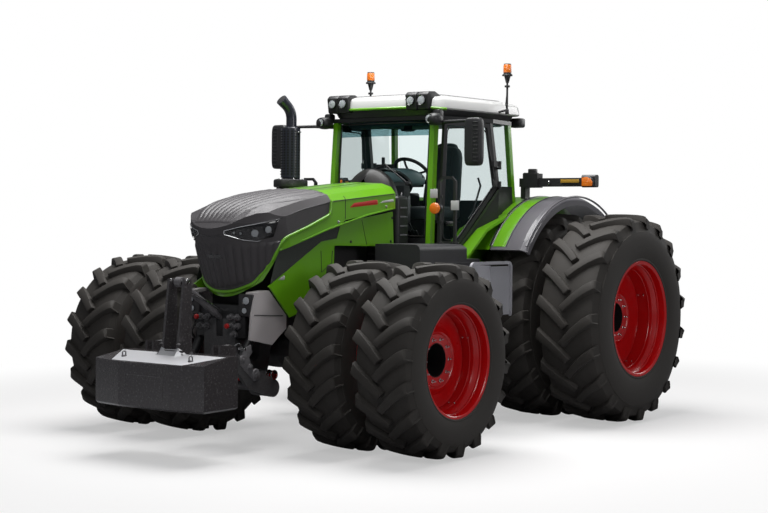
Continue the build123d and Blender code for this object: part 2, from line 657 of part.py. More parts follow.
def make_cowl():
    """The domed black cowl that closes the gap between the bonnet and the windscreen."""
    with BuildPart() as cowl:
        add(cowl_form(0, 0))
        add(cowl_form(COWL_WALL, 1), mode=Mode.SUBTRACT)
        for side in (1, -1):
            with BuildSketch(Plane.XY.offset(COWL_LEG_Z)):
                with Locations((COWL_LEG_X, side * (BONNET_HALF - 60))):
                    Rectangle(COWL_LEG, 90)
            extrude(amount=1940 - COWL_LEG_Z)
            with BuildSketch(Plane.XY.offset(COWL_LEG_Z)):
                with Locations((COWL_LEG_X, side * (GEARBOX_HALF + 60))):
                    Rectangle(COWL_LEG, 120)
            extrude(amount=80)
        for y in (BONNET_HINGE_Y, -BONNET_HINGE_Y + HINGE_LUG):
            with BuildSketch(side_plane(y)):
                with Locations(BONNET_HINGE):
                    Circle(BONNET_PIN_R + 12)
                Polygon((COWL_FRONT - 40, BONNET_HINGE[1] + 24), (BONNET_HINGE[0], BONNET_HINGE[1] + 24),
                        (BONNET_HINGE[0], BONNET_HINGE[1] - 24), (COWL_FRONT - 40, BONNET_HINGE[1] - 60),
                        align=None)
            extrude(amount=HINGE_LUG)
            with BuildSketch(side_plane(y + HINGE_LUG + RUNNING_GAP)):
                with Locations(BONNET_HINGE):
                    Circle(BONNET_PIN_R)
            extrude(amount=3 * HINGE_LUG + 2 * RUNNING_GAP)
        with BuildSketch(section_plane(COWL_FRONT - 60)):
            Polygon((-BONNET_HALF + 48, 2290), (BONNET_HALF - 48, 2290), (BONNET_HINGE_Y + 60, 2425),
                    (-BONNET_HINGE_Y - 60, 2425), align=None)
        extrude(amount=30)
    save(cowl, "cowl")


def make_exhaust():
    """The right-hand silencer on its base, with a slash-cut pipe curving forward at the top."""
    x, y = EXHAUST_AT
    path_z = 3080
    with BuildPart() as stack:
        for low, high, radius in ((TANK_TOP + SEAT_GAP, 2370, 118), (2370, 2400, 150), (2400, 3020, 80)):
            with BuildSketch(Plane.XY.offset(low)):
                with Locations((x, y)):
                    Circle(radius)
            extrude(amount=high - low)
        with BuildLine(Plane(origin=(x, y, 3020), x_dir=(1, 0, 0), z_dir=(0, -1, 0))):
            Line((0, 0), (0, 90))
            ThreePointArc((0, 90), (32, 195), (110, 275))
        with BuildSketch(Plane.XY.offset(3020)):
            with Locations((x, y)):
                Circle(56)
        sweep()
        tip = Plane(origin=(x + 60, y, path_z + 230), x_dir=(0, 1, 0), z_dir=(0.25, 0, 1))
        split(bisect_by=tip, keep=Keep.BOTTOM)
        with BuildSketch(Plane.XY.offset(3060)):
            with Locations((x, y)):
                Circle(48)
        extrude(amount=40, mode=Mode.SUBTRACT)
    save(stack, "exhaust_stack")


def make_tanks():
    """The side tanks below the cab's doors, scooped in front clear of the steered front wheels."""
    outer = TANK_OUT_Y
    with BuildPart() as tanks:
        with BuildSketch(side_plane(outer)):
            Polygon((TANK_REAR, TANK_LOW), (TANK_REAR, TANK_LOW_TOP), (1900, TANK_LOW_TOP), (1940, TANK_TOP),
                    (TANK_FRONT, TANK_TOP), (TANK_FRONT, TANK_LOW), align=None)
            with Locations((WHEELBASE, FRONT_WHEEL["radius"])):
                Circle(TANK_SCOOP_R, mode=Mode.SUBTRACT)
        extrude(amount=outer - TANK_IN_Y)
        with BuildSketch(side_plane(outer)):
            Polygon((TANK_SHOULDER, TANK_LOW_TOP - 100), (TANK_SHOULDER, TANK_TOP - 40),
                    (TANK_SHOULDER + 60, TANK_TOP), (2000, TANK_TOP), (2000, TANK_LOW_TOP - 100), align=None)
        extrude(amount=outer - TANK_SHOULDER_Y)
        fillet(tanks.edges().filter_by(Axis.X).group_by(Axis.Y)[-1].group_by(Axis.Z)[-1], 60)
        with BuildSketch(side_plane(TANK_IN_Y)):
            with Locations((TANK_REAR + 150, TANK_LOW + 100), (TANK_REAR + 430, TANK_LOW + 100)):
                Rectangle(90, 110)
        extrude(amount=TANK_IN_Y - GEARBOX_HALF - SEAT_GAP)
        both_sides()
    save(tanks, "side_tanks")


def make_steps():
    """Treads up to each door between two cheeks, with a grey shield and a tube rail behind them."""
    inner, outer = TANK_OUT_Y + SEAT_GAP, STEP_OUT_Y
    with BuildPart() as steps:
        for x in (STEP_REAR, STEP_FRONT):
            with BuildSketch(section_plane(x - STEP_WALL / 2)):
                Polygon((inner, 1180), (inner, 1640), (outer, 1640), (outer, 520), (outer - 220, 520),
                        align=None)
            extrude(amount=STEP_WALL)
        for z in STEP_HEIGHTS:
            with BuildSketch(Plane.XY.offset(z)):
                with Locations(((STEP_REAR + STEP_FRONT) / 2, outer - STEP_DEPTH / 2)):
                    Rectangle(STEP_FRONT - STEP_REAR, STEP_DEPTH)
            extrude(amount=26)
        with BuildSketch(side_plane(outer)):
            Polygon((STEP_REAR - 360, 1150), (STEP_REAR - 360, 1630), (STEP_REAR, 1630), (STEP_REAR, 1150),
                    align=None)
        extrude(amount=STEP_WALL)
        with BuildSketch(side_plane(outer - STEP_WALL)):
            with Locations((STEP_REAR - 60, 1500)):
                Rectangle(120, 60)
        extrude(amount=outer - STEP_WALL - inner)
        with BuildSketch(side_plane(outer + 22)):
            with Locations((STEP_REAR, 1400)):
                RectangleRounded(740, 560, 60)
                RectangleRounded(684, 504, 32, mode=Mode.SUBTRACT)
            with Locations((STEP_REAR, 1120)):
                Rectangle(700, 120, mode=Mode.SUBTRACT)
        extrude(amount=26)
        both_sides()
    save(steps, "steps")


# ---------------------------------------------------------------- mudguards
def radial_plane(angle):
    """A plane through the rear axle's line whose axes are +Y and the outward radius at this angle."""
    sine, cosine = math.sin(math.radians(angle)), math.cos(math.radians(angle))
    return Plane(origin=(0, 0, REAR_WHEEL["radius"]), x_dir=(0, 1, 0), z_dir=(sine, 0, -cosine))


def fender_tongue(lift):
    """Outline of the mudguard's straight front part, its top raised by lift."""
    angle = math.radians(FENDER_TONGUE_ANGLE)
    join = (FENDER_RADIUS * math.cos(angle), REAR_WHEEL["radius"] + FENDER_RADIUS * math.sin(angle))
    return [(join[0] - 18, join[1] + 8 + lift), (1100, 2000 + lift),
            (FENDER_TONGUE[0], FENDER_TONGUE[1] + lift),
            (FENDER_TONGUE[0], FENDER_TONGUE[1] - 30), (1090, 1972), (join[0] - 18, join[1] - FENDER_WALL)]


def make_fenders():
    """Green inner mudguards and, bolted outside them, grey extensions over the inner tyres."""
    axis = Axis((0, 0, REAR_WHEEL["radius"]), (0, 1, 0))
    radius, wall = FENDER_RADIUS, FENDER_WALL
    centre_z = REAR_WHEEL["radius"]
    join_angle = math.radians(FENDER_TONGUE_ANGLE)
    join = (radius * math.cos(join_angle), centre_z + radius * math.sin(join_angle))
    with BuildPart() as green:
        with BuildSketch(radial_plane(FENDER_REAR_ANGLE)):
            with Locations((FENDER_IN_Y, radius - wall)):
                Rectangle(FENDER_MID_Y - FENDER_IN_Y, wall, align=(Align.MIN, Align.MIN))
        revolve(axis=axis, revolution_arc=FENDER_REAR_ANGLE - FENDER_TONGUE_ANGLE)
        with BuildSketch(side_plane(FENDER_MID_Y)):
            Polygon(*fender_tongue(0), align=None)
        extrude(amount=FENDER_MID_Y - FENDER_IN_Y)
        with BuildSketch(side_plane(FENDER_IN_Y + wall)):
            with BuildLine():
                Line((FENDER_TONGUE[0], FENDER_TONGUE[1] - 10), (1095, 1986))
                Line((1095, 1986), (join[0] - 10, join[1] - 5))
                ThreePointArc((join[0] - 10, join[1] - 5), (0, centre_z + radius - 5), (-900, 1930))
                Line((-900, 1930), (-700, 1560))
                Line((-700, 1560), (1200, 1500))
                Line((1200, 1500), (FENDER_TONGUE[0], FENDER_TONGUE[1] - 10))
            make_face()
        extrude(amount=wall)
        with BuildSketch(side_plane(FENDER_IN_Y)):
            with Locations((-80, 1560), (560, 1530)):
                Rectangle(120, 60)
        extrude(amount=FENDER_IN_Y - 300 - SEAT_GAP)
        both_sides()
    save(green, "rear_fenders")
    inner = FENDER_MID_Y + SEAT_GAP
    with BuildPart() as grey:
        with BuildSketch(radial_plane(FENDER_REAR_ANGLE)):
            Polygon((inner, radius), (FENDER_OUT_Y - 70, radius), (FENDER_OUT_Y, radius - 38),
                    (FENDER_OUT_Y, radius - 90), (FENDER_OUT_Y - wall, radius - 90),
                    (FENDER_OUT_Y - wall, radius - 48), (FENDER_OUT_Y - 78, radius - wall),
                    (inner, radius - wall), align=None)
        revolve(axis=axis, revolution_arc=FENDER_REAR_ANGLE - FENDER_FRONT_ANGLE)
        both_sides()
    save(grey, "fender_extensions")


# ---------------------------------------------------------------- cab
def post(points, width, depth):
    """A post that runs through these centre points, each x, y, z, as one ruled loft."""
    with BuildPart(mode=Mode.PRIVATE) as beam:
        for x, y, z in points:
            with BuildSketch(Plane(origin=(x, y, z))):
                Rectangle(width, depth)
        loft(ruled=True)
    return beam.part


def door_plane(side, lift=0):
    """The upright plane of a door's outer face, with X forward and Y up, moved outwards by lift."""
    run, fall = DOOR_FRONT[0] - DOOR_REAR[0], DOOR_FRONT[1] - DOOR_REAR[1]
    length = math.hypot(run, fall)
    forward = (run / length, side * fall / length, 0)
    outward = (-side * forward[1], side * forward[0], 0)
    origin = (DOOR_REAR[0] + outward[0] * lift, side * DOOR_REAR[1] + outward[1] * lift, 0)
    return Plane(origin=origin, x_dir=forward, z_dir=(forward[1], -forward[0], 0))


def door_outline(grow):
    """The door's outline in its plane, grown on every side: along the door, and height."""
    scale = math.hypot(DOOR_FRONT[0] - DOOR_REAR[0], DOOR_FRONT[1] - DOOR_REAR[1]) \
        / (DOOR_FRONT[0] - DOOR_REAR[0])
    corners = [((x - DOOR_REAR[0]) * scale, z) for x, z in DOOR_CORNERS]
    Polygon(*corners, align=None)
    if grow:
        offset(amount=grow, kind=Kind.INTERSECTION, mode=Mode.REPLACE)


def door_rear_edge(z):
    """x of the door's sloping rear edge at this height."""
    (top_x, top_z), (low_x, low_z) = DOOR_CORNERS[0], DOOR_CORNERS[1]
    return low_x + (z - low_z) * (top_x - low_x) / (top_z - low_z)


def make_door(side, name):
    """A door: the frame with its hinge knuckles, and the pane that it holds."""
    inward = side
    with BuildPart() as frame:
        with BuildSketch(door_plane(side)):
            door_outline(0)
        extrude(amount=inward * DOOR_WALL)
        with BuildSketch(door_plane(side)):
            door_outline(-DOOR_RAIL)
        extrude(amount=inward * DOOR_WALL, mode=Mode.SUBTRACT)
        for z in DOOR_HINGE_HEIGHTS:
            with BuildSketch(Plane.XY.offset(z)):
                with Locations((DOOR_HINGE[0], side * DOOR_HINGE[1])):
                    Circle(DOOR_HINGE_R)
                with Locations((DOOR_HINGE[0] + 58, side * (DOOR_HINGE[1] - 10))):
                    Rectangle(116, 20)
                with Locations((door_rear_edge(z + 30) + 19, side * (DOOR_HINGE[1] - 25))):
                    Rectangle(18, 50)
            extrude(amount=60)
            with BuildSketch(Plane.XY.offset(z)):
                with Locations((DOOR_HINGE[0], side * DOOR_HINGE[1])):
                    Circle(DOOR_PIN_R + SEAT_GAP)
            extrude(amount=60, mode=Mode.SUBTRACT)
    save(frame, f"door_{name}")
    with BuildPart() as glass:
        with BuildSketch(door_plane(side, -(DOOR_WALL - GLASS_WALL) / 2)):
            door_outline(-DOOR_RAIL - SEAT_GAP)
        extrude(amount=inward * GLASS_WALL)
    save(glass, f"door_glass_{name}")


def make_cab_frame():
    """The cab's black structure: top ring, the two door surrounds, rear wall and front bulkhead."""
    ring_low = ROOF_Z - RING_DEPTH
    inner = RING_WIDTH
    with BuildPart() as ring:
        with BuildSketch(Plane.XY.offset(ring_low)):
            Polygon((RING_FRONT, 640), (RING_FRONT, -640), (B_POST_X, -B_POST_Y), (C_POST_X, -C_POST_Y),
                    (C_POST_X, C_POST_Y), (B_POST_X, B_POST_Y), align=None)
            Polygon((RING_FRONT - inner - 15, 560), (RING_FRONT - inner - 15, -560),
                    (B_POST_X, -B_POST_Y + inner),
                    (C_POST_X + 60, -C_POST_Y + inner), (C_POST_X + 60, C_POST_Y - inner),
                    (B_POST_X, B_POST_Y - inner), align=None, mode=Mode.SUBTRACT)
        extrude(amount=RING_DEPTH)
    save(ring, "cab_ring")
    with BuildPart() as sides:
        for side in (1, -1):
            with BuildSketch(side_plane(side * (C_POST_Y + 18) + PANEL_WALL / 2)):
                Polygon((466, QUARTER_LOW), (790, QUARTER_LOW), (810, 2380), (810, 1900), (450, 1900),
                        (452, 2290), align=None)
            extrude(amount=PANEL_WALL)
            with BuildSketch(door_plane(side, -20)):
                Polygon((-90, 2385), (-60, 2385), (500, 1822), (-90, 1822), align=None)
            extrude(amount=side * PANEL_WALL)
        with BuildSketch(across(1000)):
            with Locations((0, REAR_WHEEL["radius"])):
                Circle(FENDER_RADIUS + SEAT_GAP)
            top_edge = fender_tongue(SEAT_GAP)[:3]
            Polygon(*top_edge, (FENDER_TONGUE[0], 1500), (top_edge[0][0], 1500), align=None)
        extrude(amount=2000, mode=Mode.SUBTRACT)
        for side in (1, -1):
            foot, knee, head = B_POST_LINE
            add(post([(foot[0], side * foot[1], foot[2]), (knee[0], side * knee[1], knee[2]),
                      (head[0], side * head[1], ring_low - SEAT_GAP)], 50, 60))
            with BuildSketch(Plane.XY.offset(CAB_FLOOR_Z)):
                Polygon((foot[0] + 15, side * 690), (foot[0] + 15, side * 740), (1690, side * 680),
                        (1690, side * 630), align=None)
            extrude(amount=40)
            for z in DOOR_HINGE_HEIGHTS:
                with BuildSketch(Plane.XY.offset(z - 26)):
                    with Locations((DOOR_HINGE[0], side * DOOR_HINGE[1])):
                        Circle(DOOR_HINGE_R)
                    with Locations((DOOR_HINGE[0] - 4, side * (DOOR_HINGE[1] - 26))):
                        Rectangle(30, 52)
                extrude(amount=24)
                with BuildSketch(Plane.XY.offset(z - 10)):
                    with Locations((DOOR_HINGE[0], side * DOOR_HINGE[1])):
                        Circle(DOOR_PIN_R)
                extrude(amount=66)
    save(sides, "cab_sides")
    with BuildPart() as bulkheads:
        with BuildSketch(section_plane(CAB_REAR)):
            Polygon((-555, CAB_FLOOR_Z), (555, CAB_FLOOR_Z), (555, 2300), (-555, 2300), align=None)
        extrude(amount=CAB_WALL)
        with BuildSketch(section_plane(CAB_FRONT)):
            Polygon((-590, CAB_FLOOR_Z), (590, CAB_FLOOR_Z), (590, 1900), (-590, 1900), align=None)
        extrude(amount=CAB_WALL)
    save(bulkheads, "cab_bulkheads")


def make_cab_posts():
    """The green front and rear corner posts."""
    with BuildPart() as posts:
        add(post([(A_POST_FOOT[0], A_POST_Y - 30, A_POST_FOOT[1]), (1690, A_POST_Y - 34, 2600),
                  (A_POST_HEAD[0], A_POST_Y - 38, ROOF_Z - RING_DEPTH - SEAT_GAP)], 72, 56))
        add(post([(C_POST_FOOT[0], C_POST_FOOT[1], C_POST_FOOT[2]),
                  (C_POST_X + 30, C_POST_Y - 30, ROOF_Z - RING_DEPTH - SEAT_GAP)], 60, 50))
        both_sides()
    save(posts, "cab_posts")


def make_cab_floor():
    """The floor pan between the mudguards, widening in front of them to the door sills."""
    with BuildPart() as floor:
        with BuildSketch(Plane.XY.offset(CAB_FLOOR_Z - CAB_FLOOR_WALL - SEAT_GAP)):
            Polygon((CAB_REAR, -550), (1450, -550), (1490, -690), (1640, -690), (CAB_FRONT + 75, -655),
                    (CAB_FRONT + 75, 655), (1640, 690), (1490, 690), (1450, 550), (CAB_REAR, 550), align=None)
        extrude(amount=CAB_FLOOR_WALL)
        for x in (600, 1560):
            with BuildSketch(Plane.XY.offset(1350)):
                with Locations((x, 220), (x, -220)):
                    Circle(50)
            extrude(amount=CAB_FLOOR_Z - CAB_FLOOR_WALL - 1340)
        with BuildSketch(across(400)):
            Polygon(*GEARBOX_OUTLINE, align=None)
            offset(amount=SEAT_GAP, kind=Kind.INTERSECTION, mode=Mode.REPLACE)
        extrude(amount=800, mode=Mode.SUBTRACT)
    save(floor, "cab_floor")


def make_cab_glass():
    """The curved windscreen, the flat rear pane and the two quarter panes."""
    with BuildPart() as screen:
        for z, shift in ((1900 + SEAT_GAP, 0), (ROOF_Z - RING_DEPTH - 5, A_POST_HEAD[0] - A_POST_FOOT[0])):
            with BuildSketch(Plane.XY.offset(z)):
                with BuildLine():
                    front, half = CAB_FRONT + 30 + shift, A_POST_Y - 70
                    back = front - GLASS_WALL
                    ThreePointArc((front, half), (front + SCREEN_BOW, 0), (front, -half))
                    Line((front, -half), (back, -half))
                    ThreePointArc((back, -half), (back + SCREEN_BOW, 0), (back, half))
                    Line((back, half), (front, half))
                make_face()
        loft(ruled=True)
    save(screen, "windscreen")
    with BuildPart() as panes:
        with BuildSketch(side_plane(C_POST_Y + 26)):
            Polygon(*QUARTER_CORNERS, align=None)
        extrude(amount=GLASS_WALL)
        both_sides()
        for z, x in ((2300 + SEAT_GAP, CAB_REAR + 4), (ROOF_Z - RING_DEPTH - 5, C_POST_X + 8)):
            with BuildSketch(Plane(origin=(x, 0, z))):
                Rectangle(GLASS_WALL, 2 * (C_POST_Y - 70), align=(Align.MIN, Align.CENTER))
        loft(ruled=True)
    save(panes, "rear_glass")


def make_roof():
    """The white roof: a crowned shell with a recessed headliner."""
    centre = (ROOF_FRONT + ROOF_REAR) / 2
    length = ROOF_FRONT - ROOF_REAR
    with BuildPart() as roof:
        # height, trim at the ends, trim at the sides
        for z, ends, sides in ((ROOF_Z + SEAT_GAP, 30, 40), (ROOF_Z + 110, 0, 0), (ROOF_Z + 250, 60, 60),
                               (ROOF_Z + 300, 260, 230)):
            with BuildSketch(Plane.XY.offset(z)):
                with Locations((centre, 0)):
                    RectangleRounded(length - 2 * ends, 2 * (ROOF_HALF - sides), 110)
        loft(ruled=True)
        with BuildSketch(Plane.XY.offset(ROOF_Z + SEAT_GAP)):
            with Locations((centre, 0)):
                RectangleRounded(length - 420, 2 * (ROOF_HALF - 190), 80)
        extrude(amount=60, mode=Mode.SUBTRACT)
    save(roof, "cab_roof")


def make_cab_inside():
    """The seat with its pedestal and arm console, and the steering column with wheel and dash."""
    with BuildPart() as base:
        with BuildSketch(Plane.XY.offset(CAB_FLOOR_Z)):
            with Locations((SEAT_X + 30, 0)):
                Rectangle(420, 380)
        extrude(amount=270)
        with BuildSketch(Plane.XY.offset(CAB_FLOOR_Z + 270)):
            with Locations((SEAT_X + 30, 0)):
                Rectangle(460, 620)
        extrude(amount=30)
        with BuildSketch(side_plane(-250)):
            Polygon((SEAT_X - 220, 2240), (SEAT_X + 380, 2290), (SEAT_X + 420, 2360), (SEAT_X + 400, 2400),
                    (SEAT_X - 220, 2340), align=None)
        extrude(amount=120)
        with BuildSketch(side_plane(-255)):
            with Locations((SEAT_X + 30, 2170)):
                Rectangle(120, 240)
        extrude(amount=55)
    save(base, "seat_base")
    with BuildPart() as seat:
        with BuildSketch(Plane.XY.offset(CAB_FLOOR_Z + 300 + SEAT_GAP)):
            with Locations((SEAT_X + 40, 0)):
                RectangleRounded(500, 490, 60)
        extrude(amount=130)
        for z, shift, half in ((CAB_FLOOR_Z + 430, -225, 230), (2700, -345, 240), (2920, -385, 150)):
            with BuildSketch(Plane.XY.offset(z)):
                with Locations((SEAT_X + shift, 0)):
                    Rectangle(110, 2 * half)
        loft(ruled=True)
    save(seat, "seat")
    with BuildPart() as column:
        with BuildSketch(across(110)):
            Polygon((1600, CAB_FLOOR_Z), (1700, CAB_FLOOR_Z), (1660, 2330), (1560, 2420), (1500, 2360),
                    (1580, 2200), align=None)
        extrude(amount=220)
        with BuildSketch(across(260)):
            Polygon((1560, 2340), (1690, 2250), (1670, 2430), (1590, 2470), align=None)
        extrude(amount=520)
        wheel = Plane(origin=(1500, 0, 2470), x_dir=(0, 1, 0), z_dir=(-0.62, 0, 0.78))
        with BuildSketch(wheel.offset(-130)):
            Circle(32)
        extrude(amount=140)
        with BuildSketch(wheel):
            Circle(205)
            Circle(172, mode=Mode.SUBTRACT)
            for turn in (0, 120, 240):
                with Locations(Rotation(0, 0, turn)):
                    with Locations((95, 0)):
                        Rectangle(190, 34)
            Circle(50)
        extrude(amount=26)
    save(column, "steering_column")


# ---------------------------------------------------------------- things on the cab
def make_cab_fittings():
    """Beacons, roof lamps, mirrors, marker bars and handrails."""
    x, y, top = BEACON_AT
    with BuildPart() as beacons:
        with BuildSketch(Plane.XY.offset(ROOF_Z + 60)):
            with Locations((x, (y + ROOF_HALF + SEAT_GAP) / 2 + 14)):
                Rectangle(70, y - ROOF_HALF + 28 - SEAT_GAP)
        extrude(amount=60)
        for low, high, radius in ((ROOF_Z + 110, top - 190, 13), (top - 190, top - 150, 52),
                                  (top - 150, top, 46)):
            with BuildSketch(Plane.XY.offset(low)):
                with Locations((x, y)):
                    Circle(radius)
            extrude(amount=high - low)
        both_sides()
    save(beacons, "beacons")
    with BuildPart() as lamps:
        with BuildSketch(side_plane(ROOF_LAMP_Y + 140)):
            Polygon((ROOF_FRONT - 200, ROOF_Z + 285.6), (ROOF_FRONT - 59.5, ROOF_Z + 250.6),
                    (ROOF_FRONT - 13.8, ROOF_Z + 144), (ROOF_FRONT + 60, ROOF_Z + 135),
                    (ROOF_FRONT + 65, ROOF_Z + 240), (ROOF_FRONT - 40, ROOF_Z + 335),
                    (ROOF_FRONT - 180, ROOF_Z + 320), align=None)
        extrude(amount=280)
        with BuildSketch(side_plane(ROOF_HALF - 40)):
            with Locations((ROOF_FRONT - 40, ROOF_Z - 70)):
                Circle(66)
            with Locations((ROOF_FRONT - 60, ROOF_Z - 20)):
                Rectangle(40, 40 - 2 * SEAT_GAP, align=(Align.CENTER, Align.CENTER))
        extrude(amount=120)
        with BuildSketch(side_plane(ROOF_HALF - 60)):
            with Locations((ROOF_REAR + 30, ROOF_Z - 60)):
                Rectangle(110, 120 - 2 * SEAT_GAP)
        extrude(amount=130)
        both_sides()
    save(lamps, "roof_lamps")
    x, y = MIRROR_AT
    with BuildPart() as mirrors:
        with BuildSketch(Plane.XY.offset(2610)):
            with Locations((x, y)):
                RectangleRounded(90, 190, 30)
        extrude(amount=470)
        reach = (x - MIRROR_ARM_FOOT[0], y - MIRROR_ARM_FOOT[1], 0)
        with BuildSketch(Plane(origin=MIRROR_ARM_FOOT, x_dir=(0, 0, 1), z_dir=reach)):
            Circle(20)
        extrude(amount=math.hypot(reach[0], reach[1]) - 30)
        both_sides()
    save(mirrors, "mirrors")
    with BuildPart() as bars:
        with BuildSketch(side_plane(1560)):
            with Locations((MARKER_X, MARKER_Z)):
                Rectangle(50, 90)
        extrude(amount=1560 - 800)
        with BuildSketch(side_plane(1040)):
            with Locations((MARKER_X, MARKER_Z + 20)):
                Rectangle(110, 150)
        extrude(amount=180)
        seat_z = REAR_WHEEL["radius"] + math.sqrt(FENDER_RADIUS ** 2 - (MARKER_X - 45) ** 2) + SEAT_GAP
        with BuildSketch(Plane.XY.offset(seat_z)):
            with Locations((MARKER_X, 860)):
                Rectangle(90, 60)
        extrude(amount=MARKER_Z - seat_z)
        with BuildSketch(side_plane(1720)):
            with Locations((MARKER_X, MARKER_Z + 10)):
                RectangleRounded(80, 130, 25)
        extrude(amount=160)
        both_sides()
    save(bars, "marker_bars")
    with BuildPart() as rails:
        with BuildSketch(section_plane(RAIL_X)):
            Polygon((RAIL_IN_Y, TANK_TOP + SEAT_GAP), (RAIL_IN_Y, RAIL_TOP - RAIL_BEND),
                    (RAIL_IN_Y + RAIL_BEND, RAIL_TOP), (RAIL_OUT_Y - RAIL_BEND, RAIL_TOP),
                    (RAIL_OUT_Y, RAIL_TOP - RAIL_BEND), (RAIL_OUT_Y, TANK_TOP + SEAT_GAP),
                    (RAIL_OUT_Y - RAIL_WIDTH, TANK_TOP + SEAT_GAP),
                    (RAIL_OUT_Y - RAIL_WIDTH, RAIL_TOP - RAIL_BEND),
                    (RAIL_OUT_Y - RAIL_BEND, RAIL_TOP - RAIL_WIDTH),
                    (RAIL_IN_Y + RAIL_BEND, RAIL_TOP - RAIL_WIDTH),
                    (RAIL_IN_Y + RAIL_WIDTH, RAIL_TOP - RAIL_BEND),
                    (RAIL_IN_Y + RAIL_WIDTH, TANK_TOP + SEAT_GAP), align=None)
        extrude(amount=RAIL_WIDTH)
        both_sides()
    save(rails, "handrails")


# ---------------------------------------------------------------- front linkage
def make_front_arms():
    """Both lower arms on their cross shaft, each with a hitch eye and a pin for its lift cylinder."""
    px, pz = LIFT_PIVOT
    tip = (px + LIFT_REACH[0], pz + LIFT_REACH[1])
    foot = (px + CYLINDER_FOOT[0], pz + CYLINDER_FOOT[1])
    with BuildPart() as arms:
        with BuildSketch(across(ARM_Y)):
            with Locations(LIFT_PIVOT):
                Circle(LIFT_SHAFT_R)
        extrude(amount=2 * ARM_Y)
        for y in (ARM_Y + ARM_WALL / 2, -ARM_Y + ARM_WALL / 2):
            with BuildSketch(side_plane(y)):
                with Locations(LIFT_PIVOT):
                    Circle(80)
                with Locations(tip):
                    Circle(ARM_EYE_R)
                Polygon((px - 20, pz + 78), (px + 20, pz - 78), (px + 330, pz + 20),
                        (tip[0] + 55, tip[1] - 30),
                        (tip[0] - 50, tip[1] + 20), (px + 330, pz + 210), align=None)
                with Locations(tip):
                    Circle(ARM_PIN_R + SEAT_GAP, mode=Mode.SUBTRACT)
            extrude(amount=ARM_WALL)
        for y in (ARM_Y, -CYLINDER_Y + CYLINDER_R):
            with BuildSketch(side_plane(y)):
                with Locations(foot):
                    Circle(CYLINDER_PIN_R)
            extrude(amount=ARM_Y - CYLINDER_Y + CYLINDER_R)
    save(arms, "front_arms")


def make_front_weight():
    """The ballast block with its hitch ears and pins, and the tower that takes the top link."""
    px, pz = LIFT_PIVOT
    pin = (px + LIFT_REACH[0], pz + LIFT_REACH[1])
    top_pin = (TOP_PIVOT[0] + LIFT_REACH[0], TOP_PIVOT[1] + LIFT_REACH[1])
    rear = FRONT_REACH - WEIGHT_LENGTH
    corner = FRONT_REACH - 60
    with BuildPart() as weight:
        with BuildSketch(Plane.XY.offset(WEIGHT_BOTTOM)):
            Polygon((rear, -WEIGHT_HALF + 20), (corner, -WEIGHT_HALF), (FRONT_REACH, -WEIGHT_PANEL_HALF),
                    (FRONT_REACH, WEIGHT_PANEL_HALF), (corner, WEIGHT_HALF), (rear, WEIGHT_HALF - 20),
                    align=None)
        extrude(amount=WEIGHT_TOP_REAR - WEIGHT_BOTTOM)
        with BuildSketch(across(WEIGHT_HALF + 10)):
            Polygon((rear - 10, WEIGHT_BOTTOM - 10), (FRONT_REACH + 10, WEIGHT_BOTTOM - 10),
                    (FRONT_REACH + 10, WEIGHT_TOP_FRONT), (rear + 120, WEIGHT_TOP_REAR),
                    (rear - 10, WEIGHT_TOP_REAR), align=None)
        extrude(amount=2 * WEIGHT_HALF + 20, mode=Mode.INTERSECT)
        chamfer(weight.edges().group_by(Axis.Z)[0], 18)
        ear_gap = ARM_WALL + 2 * RUNNING_GAP
        for middle in (ARM_Y, -ARM_Y):
            for y in (middle + ear_gap / 2 + EAR_WALL, middle - ear_gap / 2):
                with BuildSketch(side_plane(y)):
                    with Locations(pin):
                        Circle(ARM_EYE_R - 4)
                    Polygon((pin[0] - 30, pin[1] + 40), (rear + 30, pin[1] + 60), (rear + 30, pin[1] - 160),
                            (pin[0] - 25, pin[1] - 50), align=None)
                extrude(amount=EAR_WALL)
            with BuildSketch(side_plane(middle + ear_gap / 2 + EAR_WALL)):
                with Locations(pin):
                    Circle(ARM_PIN_R)
            extrude(amount=ear_gap + 2 * EAR_WALL)
        for y in (TOWER_GAP / 2 + TOWER_PLATE, -TOWER_GAP / 2):
            with BuildSketch(side_plane(y)):
                Polygon((rear + 10, WEIGHT_TOP_REAR - 20), (rear + 190, WEIGHT_TOP_REAR - 20),
                        (top_pin[0] + 50, top_pin[1] + 30), (top_pin[0] - 40, top_pin[1] + 30), align=None)
            extrude(amount=TOWER_PLATE)
        with BuildSketch(Plane.XY.offset(WEIGHT_TOP_REAR - 10)):
            with Locations((rear + 100, 0)):
                Rectangle(180, 2 * (TOWER_GAP / 2 + TOWER_PLATE) + 60)
        extrude(amount=40)
        with BuildSketch(across(TOWER_GAP / 2 + TOWER_PLATE)):
            with Locations(top_pin):
                Circle(LINK_PIN_R)
        extrude(amount=TOWER_GAP + 2 * TOWER_PLATE)
    save(weight, "front_weight")


